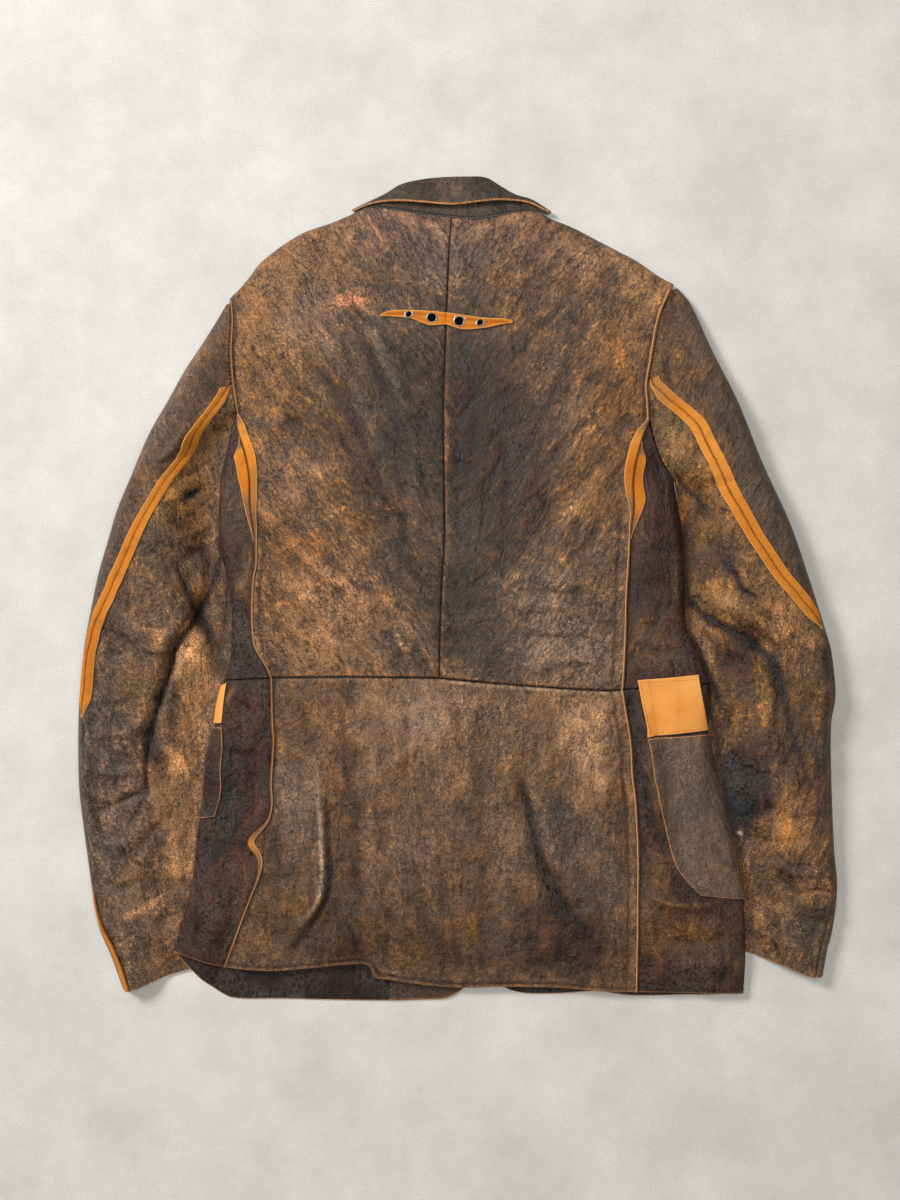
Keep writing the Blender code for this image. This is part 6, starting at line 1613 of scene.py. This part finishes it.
def sleeve(side, sign, armhole, upper, hind_row, steps_low, outline, fold, corner, cuff, hind,
           folds, creases, paint, strip_rows):
    """A flat tube from the armhole to the cuff, cut into two sleeves and their raw strips."""
    rows = len(armhole) - 1 + len(steps_low) - 1
    steps = np.concatenate([upper[:-1] ** 1.15 * ARMPIT_SHARE, ARMPIT_SHARE + (1 - ARMPIT_SHARE) * steps_low])
    outer = sample(outline, steps)
    tucked = [(x - sign * TUCK, y) for x, y in fold[1:] if y > corner[1] + 25]
    coarse = sample([fold[0]] + tucked + [corner], even(SLEEVE_ROWS))
    coarse[1] = sample(fold, [23.0 / SLEEVE_LONG])[0]
    inner_low = np.column_stack([np.interp(steps_low, even(SLEEVE_ROWS), coarse[:, k]) for k in range(2)])
    inner = joined(armhole, inner_low)
    upper_rows = len(armhole) - 1
    apart = np.interp(np.arange(rows + 1), (upper_rows - 3, upper_rows, upper_rows + 8, upper_rows + 14),
                      (0.0, 1.0, 1.0, 0.0))
    inner[:, 0] += sign * apart
    span = outer - inner
    width = np.linalg.norm(span, axis=1)
    way = span / width[:, None]

    hind_line = dense_curve(hind)
    seam_at = np.zeros(rows + 1)
    for i in range(hind_row + 1, rows + 1):
        rel = hind_line - inner[i]
        off = np.abs(rel @ np.array([-way[i][1], way[i][0]]))
        seam_at[i] = (rel @ way[i])[off.argmin()]
    inside = np.interp(steps, (0.88, 0.93), (SEAM_INSIDE, CUFF_SEAM_INSIDE))
    passed = inner[:, 1] < hind[-1][1]
    seam_at = np.where(passed, width - inside, np.minimum(seam_at, width - inside))
    seam_at[:hind_row] = 0.0
    seam_at[hind_row] = 3.0
    seam_at[hind_row:] = np.maximum(seam_at[hind_row:], 3.0)
    eased = np.convolve(np.pad(seam_at[hind_row:], 2, mode="edge"), np.ones(5) / 5.0, mode="valid")
    seam_at[hind_row:] = np.minimum(eased, width[hind_row:] - 2.5)

    leaf_in = np.minimum(ALLOWANCE, 0.5 * seam_at)
    leaf_out = np.minimum(ALLOWANCE, 0.5 * (width - seam_at))
    across_in = split(even(1), 90.0)
    across_out = 1.0 - (1.0 - split(even(1), 110.0)) ** 1.6
    under = across_in[None, :] * (seam_at - leaf_in)[:, None]
    inner_leaf = (seam_at - leaf_in)[:, None] + LEAF[None, 1:] * leaf_in[:, None]
    outer_leaf = seam_at[:, None] + LEAF[None, 1:] * leaf_out[:, None]
    over = (seam_at + leaf_out)[:, None] + across_out[None, 1:] * (width - seam_at - leaf_out)[:, None]
    reach = np.concatenate([under, inner_leaf, outer_leaf, over], axis=1)
    seam_col = under.shape[1] + inner_leaf.shape[1] - 1
    pressed = np.interp(np.arange(rows + 1), (upper_rows, upper_rows + 8, upper_rows + 14),
                        (0.0, 8.0, TUCK + 5.0))

    flat = inner[:, None, :] + way[:, None, :] * reach[..., None]
    height_in = np.full(rows + 1, PRESSED)
    height_in[:upper_rows + 1] = np.maximum(back_height(inner[:upper_rows + 1]), PRESSED + 0.4)
    height_in[upper_rows:upper_rows + 10] = np.interp(np.arange(10), (0, 9), (height_in[upper_rows], PRESSED))
    crown = np.interp(steps, SLEEVE_CROWN_AT, SLEEVE_CROWN)
    ease = np.minimum(SLEEVE_EASE, 0.55 * width)
    core = smooth((reach - pressed[:, None]) / ease[:, None])
    core = height_in[:, None] + (crown - height_in)[:, None] * core
    roll = np.minimum(SLEEVE_ROLL, 0.7 * width)[:, None]
    rounded = quarter(width[:, None] - reach, roll)
    fade = smooth((reach - pressed[:, None]) / 16.0) * smooth((width[:, None] - reach) / 12.0)
    fade_fine = smooth((reach - pressed[:, None]) / 8.0) * smooth((width[:, None] - reach) / 5.0)
    spots = flat.reshape(-1, 2)
    creased = fold_height(spots, lines_of(folds)).reshape(reach.shape) * fade
    fine = wavy(CREASE_GAIN * fold_height(spots, lines_of(creases)), spots, SLEEVE_WAVES)
    dip = -SEAM_DIP * np.exp(-((reach - seam_at[:, None]) / SEAM_DIP_WIDTH) ** 2)
    dip[:hind_row + 2] = 0.0
    high = SLEEVE_FOLD + (core - SLEEVE_FOLD) * rounded + creased
    high = high + (fine.reshape(reach.shape) + dip) * fade_fine
    high = np.maximum(high, np.where(reach < width[:, None] - 3.0, PRESSED, SLEEVE_FOLD))

    turn = []
    for angle in (15.0, 30.0, 45.0, 60.0, 75.0, 90.0):
        back = SLEEVE_FOLD * (1 - math.cos(math.radians(angle)))
        drop = SLEEVE_FOLD * (1 - math.sin(math.radians(angle)))
        turn.append(np.column_stack([outer - way * back, np.full(rows + 1, drop)])[:, None, :])
    last = outer - way * SLEEVE_FOLD
    below = []
    for share in split(even(1), 45.0)[1:]:
        below.append(np.column_stack([last * (1 - share) + inner * share, np.zeros(rows + 1)])[:, None, :])
    tube = np.concatenate([np.dstack([flat, high])] + turn + below, axis=1)
    per_coarse = (len(steps_low) - 1) // SLEEVE_ROWS
    blend = np.linspace(0.0, 1.0, per_coarse + 1)[:, None]
    tube[-per_coarse - 1:, :, 1] += blend * (cuff_line(tube[-1, :, :2], cuff) - tube[-1, :, :2])[None, :, 1]

    def block(points, near):
        points = drawn_in(points)
        away = np.linalg.norm(points[:, 1] - points[:, 0], axis=1, keepdims=True)
        step = (points[:, 1] - points[:, 0]) / np.maximum(away, 1e-6)
        points[:near, 0] += step[:near] * np.minimum(ARMHOLE_GAP, 0.4 * away[:near])
        return points[:, ::-1] if sign < 0 else points

    near = upper_rows + 1
    for part, points, finish in (
            ("under", block(tube[hind_row:, :seam_col + 1], near - hind_row), SLEEVE_LEATHER),
            ("top", block(tube[:, seam_col:], near), SLEEVE_TOP_LEATHER)):
        piece_of("sleeve_%s_%s_leather" % (side, part), "sleeve_%s_%s" % (side, part), bordered(points),
                 -LEATHER, 0.0, finish, paint, "brown_leather", ("floor",), raw="b")

    def strip(part, host, points, free, sewn, tapered=True):
        points = block(points, 0)
        if tapered:
            rest = (len(points) - 1 - np.arange(len(points))) / 9.0
            line = points[:, :1] if sewn == "l" else points[:, -1:]
            points = line + (points - line) * (0.1 + 0.9 * smooth(rest)[:, None, None])
        piece_of("raw_strip_%s_%s" % (side, part), "sleeve_%s_allowance_%s" % (side, part), bordered(points),
                 GAP, GAP + SUEDE, RAW_SUEDE, suede_paint, "raw_suede",
                 ("sleeve_%s_%s_leather" % (side, host),), soft_edge=SUEDE_EDGE, raw=free, turned=sewn)

    near_side, far_side = ("r", "l") if sign < 0 else ("l", "r")
    last = upper_rows + strip_rows * per_coarse + 1
    inside = slice(seam_col - LEAF_COLUMNS + 1, seam_col + 1)
    strip("inner", "under", tube[hind_row:last, inside], near_side, far_side)
    outside = slice(seam_col, seam_col + LEAF_COLUMNS)
    strip("outer", "top", tube[hind_row:last, outside], far_side, near_side)
    if side == "left":
        strip("cuff", "top", tube[-4 * per_coarse - 1:, outside], far_side, near_side, tapered=False)
    return tube, seam_col, last


# %% Both sleeves
LOW_STEPS = even(SLEEVE_ROWS * max(2, round(SLEEVE_LONG / SLEEVE_ROWS / FINE_STEP)))
start_left = int(np.searchsorted(FINE_LEFT, STRIP_START))
start_right = int(np.searchsorted(FINE_RIGHT, STRIP_START))
hind_left = int(np.searchsorted(FINE_LEFT, STEPS_LEFT[HIND_ROW_LEFT])) - start_left
hind_right = int(np.searchsorted(FINE_RIGHT, STEPS_RIGHT[HIND_ROW_RIGHT])) - start_right
right_steps = joined(FINE_RIGHT * 0.7, 0.7 + 0.3 * LOWER_FINE)[start_right:]
LEFT_TUBE = sleeve("left", -1.0, ARM_LEFT[start_left:], FINE_LEFT[start_left:], hind_left, LOW_STEPS,
                   SLEEVE_LEFT, FOLD_LEFT + FOLD_LEFT_LOW[1:], CUFF_CORNER_LEFT, CUFF_LEFT, HIND_SEAM_LEFT,
                   SLEEVE_LEFT_FOLDS, LEFT_SLEEVE_CREASES, left_sleeve_paint, 11)
RIGHT_TUBE = sleeve("right", 1.0, joined(ARM_RIGHT, ARM_RIGHT_LOW)[start_right:], right_steps, hind_right,
                    LOW_STEPS, SLEEVE_RIGHT, FOLD_RIGHT + FOLD_RIGHT_LOW[1:], CUFF_CORNER_RIGHT, CUFF_RIGHT,
                    HIND_SEAM_RIGHT, SLEEVE_RIGHT_FOLDS, RIGHT_SLEEVE_CREASES, right_sleeve_paint, 8)

# %% [markdown]
# ## Collar
#
# The collar stands up from the neck seam, slopes down to the fold and comes back over
# itself, so that its raw orange edge shows just above the neck seam, with a dark gap
# under it.

# %% Collar stand and fall
stations = split(even(20), 205.0)
neck = sample(COLLAR_NECK, stations)
raw = sample(COLLAR_RAW, stations)
fold = sample(COLLAR_FOLD, stations)
neck[:, 1] += 1.0
neck_start = back_height(neck) + GAP


def stand_height(share):
    drop = smooth(share)
    return neck_start * (1 - drop) + COLLAR_LOW * drop


rows = [np.column_stack([neck * (1 - s * 0.985) + fold * s * 0.985, stand_height(s)]) for s in even(16)]
points = bordered(drawn_in(np.stack(rows)[::-1], left=0.0, right=0.0, top=0.0, bottom=SEAM))
piece_of("collar_stand_leather", "collar_stand", points, -LEATHER, 0.0, COLLAR_LEATHER, collar_paint,
         "collar_leather", ("floor",))

fall_reach = np.linalg.norm(fold - neck, axis=1)
rows = []
for s in 1.0 - (1.0 - even(22)) ** 1.8:
    plan = raw * (1 - s) + fold * s
    share = np.linalg.norm(plan - neck, axis=1) / fall_reach
    edge = np.linalg.norm(plan - fold, axis=1)
    bulge = FALL_RISE * math.sin(math.pi * min(1.0, 0.25 + 0.75 * s))
    base = stand_height(share) + FALL_CLEAR + LEATHER
    lift = np.minimum(1.0, fall_reach / 30.0) * bulge
    ripple = (0.35 * lumps(plan, 19.0, 7) + 0.25 * lumps(plan, 8.0, 8)) * smooth(fall_reach / 12.0)
    round_off = 0.8 * (1 - smooth(edge / 5.0)) * smooth(fall_reach / 20.0)
    rows.append(np.column_stack([plan, base + lift - round_off + ripple * smooth(edge / 5.0)]))
piece_of("collar_fall_leather", "collar_fall", bordered(np.stack(rows)[::-1]), -LEATHER, 0.0, COLLAR_LEATHER,
         collar_paint, "collar_leather", ("collar_stand_leather",), raw="b")

# %% [markdown]
# ## Pockets, tabs and the eyelet welt
#
# Patch pockets of greyer leather wrap round the side folds, so only their back edges
# show, each under a tab of orange suede. Across the centre seam sits a small welt of raw
# suede with four metal eyelets.


# %% Patches on the back layer
def fold_part(points, span, side):
    line = dense_curve(points)
    kept = line[(line[:, 1] <= span[0]) & (line[:, 1] >= span[1])]
    ends = [(np.interp(-y, -line[:, 1], line[:, 0]), y) for y in span]
    return beside(np.vstack([ends[:1], kept[::4], ends[1:]]), side * (EDGE + 0.2))


def patch(name, node_name, plan, finish, paint, slot, clear, host, raw="lrtb", reach=(0.25, 0.7)):
    """A piece that lies this far clear above the back layer."""
    points = on_layer(bordered(on_layer(plan), reach)[..., :2])
    return piece_of(name, node_name, points, clear, clear + SUEDE, finish, paint, slot, (host,),
                    soft_edge=SUEDE_EDGE, raw=raw)


def pocket_plan(left, right, long_side, columns):
    down = split(even(1), long_side)
    return rail_grid([sample(left, down), sample(right, down)], [columns])


RIGHT_HOST = "side_right_lower_leather"
LEFT_HOST = "side_left_lower_leather"
patch("pocket_right_leather", "pocket_right",
      pocket_plan(POCKET_RIGHT, fold_part(FOLD_RIGHT_LOW, POCKET_RIGHT_SPAN, -1), 160.0,
                  1 - split(even(7) ** 1.8, 62.0)[::-1]),
      POCKET_LEATHER, pocket_paint, "pocket_leather", 1.0, RIGHT_HOST)
patch("pocket_left_leather", "pocket_left",
      pocket_plan(fold_part(FOLD_LEFT_LOW, POCKET_LEFT_SPAN, 1), POCKET_LEFT, 88.0,
                  split(even(4) ** 1.5, 16.0)),
      POCKET_LEATHER, pocket_paint, "pocket_leather", PATCH_CLEAR, LEFT_HOST)
patch("pocket_tab_right_suede", "pocket_tab_right",
      pocket_plan(TAB_RIGHT, TAB_RIGHT_FOLD, 56.0, 1 - split(even(6) ** 1.6, 60.0)[::-1]),
      TAB_SUEDE, tab_paint, "raw_suede", TAB_CLEAR, RIGHT_HOST)
patch("pocket_tab_left_suede", "pocket_tab_left",
      pocket_plan(fold_part(FOLD_LEFT_LOW, TAB_LEFT_SPAN, 1), TAB_LEFT, 37.0, split(even(3) ** 1.3, 12.0)),
      TAB_SUEDE, tab_paint, "raw_suede", PATCH_CLEAR, LEFT_HOST)

# %% Welt halves
WELT = {}
for half, high, low in (("left", WELT_TOP_LEFT, WELT_LOW_LEFT), ("right", WELT_TOP_RIGHT, WELT_LOW_RIGHT)):
    along = split(even(7), 64.0)
    share = split(even(1), 14.0)[:, None, None]
    plan = sample(high, along)[None] * (1 - share) + sample(low, along)[None] * share
    WELT[half] = patch("welt_%s_suede" % half, "eyelet_band_%s" % half, plan, RAW_SUEDE, welt_paint,
                       "raw_suede", PATCH_CLEAR, "back_%s_leather" % half, "tb", (0.2, 0.5))

# %% Holes through the welt and the back, and the eyelets
BARREL_WALL = 0.5
RIM_RISE = 1.1
RIM_EDGE = 0.35
RIM_ROUND = 0.28


def cut_round(target, x, y, radius):
    """A round hole through a shell, made with a cylinder that is removed again."""
    place = (np.array([x, y, back_height(np.array([[x, y]]))[0]]) - MIDDLE) * MM
    body = bmesh.new()
    bmesh.ops.create_cone(body, cap_ends=True, segments=40, radius1=radius * MM, radius2=radius * MM,
                          depth=14 * MM)
    guide_mesh = bpy.data.meshes.new("guide")
    body.to_mesh(guide_mesh)
    body.free()
    guide = placed("guide", guide_mesh)
    guide.location = place
    hole = target.modifiers.new("hole", "BOOLEAN")
    hole.operation = "DIFFERENCE"
    hole.solver = "EXACT"
    hole.object = guide
    bpy.context.view_layer.update()
    cut = bpy.data.meshes.new_from_object(target.evaluated_get(bpy.context.evaluated_depsgraph_get()))
    target.modifiers.remove(hole)
    cut.name = target.name
    target.data = cut
    bpy.data.objects.remove(guide, do_unlink=True)


def eyelet(name, x, y, rim, hole):
    """A ring with a barrel through the layers and a rolled rim, turned round its middle."""
    base = back_height(np.array([[x, y]]))[0] + PATCH_CLEAR + SUEDE + 0.1
    foot = base - 0.1 - SUEDE - PATCH_CLEAR - LEATHER
    ring = [(hole, foot), (hole + BARREL_WALL, foot), (hole + BARREL_WALL, base), (rim, base)]
    ring += [(rim - RIM_ROUND * (1 - math.cos(t)), base + RIM_EDGE * math.sin(t))
             for t in np.linspace(0.3, 1.57, 4)]
    middle = (rim + hole) / 2
    half_wide = (rim - hole) / 2 - RIM_ROUND
    ring += [(middle + half_wide * math.cos(t), base + RIM_EDGE + (RIM_RISE - RIM_EDGE) * math.sin(t))
             for t in np.linspace(0.25, math.pi - 0.1, 9)]
    ring += [(hole + 0.12, base + 0.3), (hole, base - 0.2)]
    sides = 56
    verts = []
    for turn in np.linspace(0, 2 * math.pi, sides, endpoint=False):
        verts += [((x + r * math.cos(turn) - MIDDLE[0]) * MM, (y + r * math.sin(turn) - MIDDLE[1]) * MM,
                   z * MM) for r, z in ring]
    count = len(ring)
    faces = [(k * count + s, (k + 1) % sides * count + s, (k + 1) % sides * count + (s + 1) % count,
              k * count + (s + 1) % count) for k in range(sides) for s in range(count)]
    mesh = bpy.data.meshes.new(name)
    mesh.from_pydata(verts, [], faces)
    body = bmesh.new()
    body.from_mesh(mesh)
    bmesh.ops.recalc_face_normals(body, faces=body.faces)
    body.to_mesh(mesh)
    body.free()
    mesh.shade_smooth()
    mesh.materials.append(NICKEL)
    return placed(name, mesh)


EYELET_PIECES = []
for number, (x, y, rim, hole) in enumerate(EYELETS, 1):
    half = "left" if x < -12 else "right"
    for target in (WELT[half], back_left if half == "left" else back_right):
        cut_round(target, x, y, hole + BARREL_WALL + 0.1)
    EYELET_PIECES.append((eyelet("eyelet_ring_%d" % number, x, y, rim, hole), "eyelet_%d" % number))
print("eyelets:", len(EYELET_PIECES))

# %% [markdown]
# ## Stitches
#
# Every seam carries a row of small stitches. One Geometry Nodes tree places them: it
# takes a line that lies on the leather, samples it at the stitch pitch, and puts one
# short, rounded thread on each point, turned along the line. The tree ends in real
# geometry, because instances are lost in an export.


# %% Lines on the surface
def lifted(plan, clear):
    return np.column_stack([plan, back_height(plan) + clear])


def resampled(points, step=1.2):
    size = np.concatenate([[0.0], np.cumsum(np.linalg.norm(np.diff(points, axis=0), axis=1))])
    wanted = np.linspace(0.0, size[-1], max(2, int(size[-1] / step)))
    return np.column_stack([np.interp(wanted, size, points[:, k]) for k in range(points.shape[1])])


def seam_row(points, shift, clear=0.1, first=0.0):
    line = resampled(dense_curve(points))
    return lifted(beside(line[int(first * (len(line) - 1)):], shift), clear)


# %% The stitch tree
def stitch_tree():
    tree = bpy.data.node_groups.new("stitch row", "GeometryNodeTree")
    face = tree.interface
    face.new_socket("Line", in_out="INPUT", socket_type="NodeSocketGeometry")
    sizes = {name: face.new_socket(name, in_out="INPUT", socket_type="NodeSocketFloat").identifier
             for name in ("Pitch", "Stitch length", "Thread thickness")}
    sizes["Thread"] = face.new_socket("Thread", in_out="INPUT", socket_type="NodeSocketMaterial").identifier
    face.new_socket("Stitches", in_out="OUTPUT", socket_type="NodeSocketGeometry")
    start = tree.nodes.new("NodeGroupInput").outputs
    curve = node(tree, "GeometryNodeMeshToCurve", {0: start["Line"]}).outputs[0]
    evenly = node(tree, "GeometryNodeResampleCurve", mode="LENGTH")
    tree.links.new(curve, evenly.inputs["Curve"])
    tree.links.new(start["Pitch"], evenly.inputs["Length"])
    tangent = node(tree, "GeometryNodeInputTangent").outputs[0]
    turn = node(tree, "FunctionNodeAlignEulerToVector", {"Vector": tangent}, axis="X").outputs[0]
    ball = node(tree, "GeometryNodeMeshIcoSphere", {"Radius": 0.5, "Subdivisions": 1}).outputs["Mesh"]
    size = node(tree, "ShaderNodeCombineXYZ", {0: start["Stitch length"], 1: start["Thread thickness"],
                                               2: start["Thread thickness"]}).outputs[0]
    vary = node(tree, "FunctionNodeRandomValue", {2: 0.8, 3: 1.15, "Seed": 5}, data_type="FLOAT").outputs[1]
    size = node(tree, "ShaderNodeVectorMath", {0: size, "Scale": vary}, operation="SCALE").outputs[0]
    rows = node(tree, "GeometryNodeInstanceOnPoints", {"Points": evenly.outputs[0], "Instance": ball,
                                                       "Rotation": turn, "Scale": size}).outputs[0]
    rows = node(tree, "GeometryNodeRealizeInstances", {0: rows}).outputs[0]
    rows = node(tree, "GeometryNodeSetShadeSmooth", {0: rows}).outputs[0]
    rows = node(tree, "GeometryNodeSetMaterial", {"Geometry": rows, "Material": start["Thread"]}).outputs[0]
    tree.links.new(rows, tree.nodes.new("NodeGroupOutput").inputs[0])
    return tree, sizes


STITCH_TREE, STITCH_INPUTS = stitch_tree()


def stitched(name, lines, pitch, length, thick, finish):
    """One object with the stitches of several lines, as a plain mesh."""
    verts = np.vstack(lines)
    edges = []
    first = 0
    for line in lines:
        edges += [(first + k, first + k + 1) for k in range(len(line) - 1)]
        first += len(line)
    mesh = bpy.data.meshes.new(name)
    mesh.from_pydata((verts - MIDDLE) * MM, edges, [])
    made = placed(name, mesh)
    rows = made.modifiers.new("stitches", "NODES")
    rows.node_group = STITCH_TREE
    for socket, value in (("Pitch", pitch * MM), ("Stitch length", length * MM),
                          ("Thread thickness", thick * MM), ("Thread", finish)):
        rows[STITCH_INPUTS[socket]] = value
    bpy.context.view_layer.update()
    done = bpy.data.meshes.new_from_object(made.evaluated_get(bpy.context.evaluated_depsgraph_get()))
    made.modifiers.remove(rows)
    done.name = name
    made.data = done
    print("%-26s %5d stitches" % (name, len(done.polygons) // 20))
    return made


# %% Rows of stitches
THREADS = [
    stitched("stitches_waist", [seam_row(WAIST_LEFT, 1.6), seam_row(WAIST_RIGHT, 1.6)],
             3.4, 2.5, 0.7, DARK_THREAD),
    stitched("stitches_sides", [
        seam_row(SIDE_SEAM_LEFT, 8.0, first=0.42), seam_row(SIDE_SEAM_RIGHT, -11.5, first=0.38),
        seam_row(SKIRT_SEAM_LEFT, -11.5), seam_row(SKIRT_SEAM_RIGHT, -11.5),
        seam_row(ARMHOLE_LEFT, 4.4, first=0.1), seam_row(ARMHOLE_RIGHT, -4.4, first=0.06)],
        3.4, 2.4, 0.6, DARK_THREAD),
    stitched("stitches_hem", [seam_row(line, 4.0) for line in (HEM, SIDE_HEM_RIGHT, SIDE_HEM_LEFT)],
             3.6, 2.5, 0.6, DARK_THREAD),
    stitched("stitches_pockets", [
        seam_row(POCKET_RIGHT, 4.4, PATCH_CLEAR + SUEDE + 0.2),
        seam_row(POCKET_LEFT, -3.2, PATCH_CLEAR + SUEDE)],
        3.2, 2.3, 0.6, DARK_THREAD),
]
TAB_ROWS = [((173, -89.5), (224, -86.5)), ((181.5, -137.5), (231, -133.5)),
            ((173, -89.5), (181.5, -137.5)), ((180.5, -89.0), (188.5, -137.0))]
THREADS.append(stitched("stitches_tab", [
    lifted(resampled(np.array(ends, dtype=float)), TAB_CLEAR + SUEDE + 0.05) for ends in TAB_ROWS],
    3.0, 2.1, 0.6, TAN_THREAD))


def tube_row(tube, column, rows, clear):
    points = tube[rows[0]:rows[1], column].copy()
    points[:, 2] += clear
    return resampled(points)


strip_lines = []
for tube, seam_col, last in (LEFT_TUBE, RIGHT_TUBE):
    for column in (seam_col - 1, seam_col + 1):
        strip_lines.append(tube_row(tube, column, (10, last - 2), GAP + SUEDE + 0.05))
THREADS.append(stitched("stitches_sleeve_strips", strip_lines, 3.6, 2.4, 0.6, TAN_THREAD))

# %% [markdown]
# ## Floor, light and camera
#
# The photograph was taken from straight above in soft daylight. A wide, dim sky and one
# large lamp near the camera's left top give the same faint shadows. The camera looks
# straight down, and its lens shows the same stretch of floor.

# %% Floor
FLOOR_REACH = 3.0
FLOOR_DROP = 0.0002
floor_mesh = bpy.data.meshes.new("floor")
corners = [(x * FLOOR_REACH, y * FLOOR_REACH, 0) for x, y in ((-1, -1), (1, -1), (1, 1), (-1, 1))]
floor_mesh.from_pydata(corners, [], [(0, 1, 2, 3)])
floor = placed("floor", floor_mesh)
floor.location.z = -FLOOR_DROP
floor_paint, tree, shader = new_material("pale floor")
where = object_place(tree)
cloudy = noise(tree, where, 9.0, 8.0, 0.7)
gritty = noise(tree, where, 620.0, 5.0, 0.7)
colour = mixed(tree, spread(tree, cloudy, 0.35, 0.65), shade((196, 193, 187)), shade((216, 213, 207)))
colour = mixed(tree, spread(tree, gritty, 0.45, 0.75, 0.0, 0.6), colour, shade((166, 162, 156)))
# A painted shadow darkens the floor nearly to black under the open neck, where it shows through the eyelets
shadow_under_welt = tuple((np.array([-13.0, 257.0, 0.0]) - MIDDLE) * MM)
away = node(tree, "ShaderNodeVectorMath", {0: where, 1: shadow_under_welt}, operation="DISTANCE").outputs["Value"]
colour = mixed(tree, spread(tree, away, 0.07, 0.05), colour, shade((20, 17, 15)))
finished(tree, shader, colour, 0.9)
floor_mesh.materials.append(floor_paint)

# %% Lights
world = bpy.data.worlds.new("soft daylight")
bpy.context.scene.world = world
bpy.context.scene.view_settings.view_transform = "Standard"
world.use_nodes = True
SKY_COLOUR = (1.0, 0.985, 0.96, 1.0)
SKY_STRENGTH = 0.20
sky = world.node_tree.nodes["Background"].inputs
sky["Color"].default_value = SKY_COLOUR
sky["Strength"].default_value = SKY_STRENGTH


def lamp(name, place, size, power, tint=(1.0, 1.0, 1.0)):
    """A square lamp of this size in metres and power in watts, turned to the coat."""
    data = bpy.data.lights.new(name, "AREA")
    data.shape = "SQUARE"
    data.size = size
    data.energy = power
    data.color = tint
    made = placed(name, data)
    made.location = place
    made.rotation_euler = (-Vector(place)).to_track_quat("-Z", "Y").to_euler()


lamp("window", (-2.1, 1.5, 1.9), 0.9, 104.0)
lamp("overhead", (0.25, 0.1, 2.6), 1.2, 32.0, (1.0, 0.99, 0.97))

# %% Camera
# From this distance the lens shows this length along the picture's long side, in metres
CAMERA_PLACE = (-0.00744, -0.01093, 1.508)
VIEW_DISTANCE = 1.5
FRAME_TALL = 1.152
SENSOR = 36.0
camera_data = bpy.data.cameras.new("camera")
camera_data.lens = SENSOR * VIEW_DISTANCE / FRAME_TALL
camera = placed("camera", camera_data)
camera.location = CAMERA_PLACE
bpy.context.scene.camera = camera

# %% [markdown]
# ## Tying the pieces to their solids
#
# The jacket is one body, so each piece rides on it and stands for its solid.

# %% Tie the pieces to their solids
for name, (piece, node_name, slot, flat, area, rests_on, with_pieces) in PIECES.items():
    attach(piece, "root")
    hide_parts(node_name)
for piece, node_name in EYELET_PIECES:
    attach(piece, "root")
    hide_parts(node_name)
for piece in THREADS:
    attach(piece, "root")
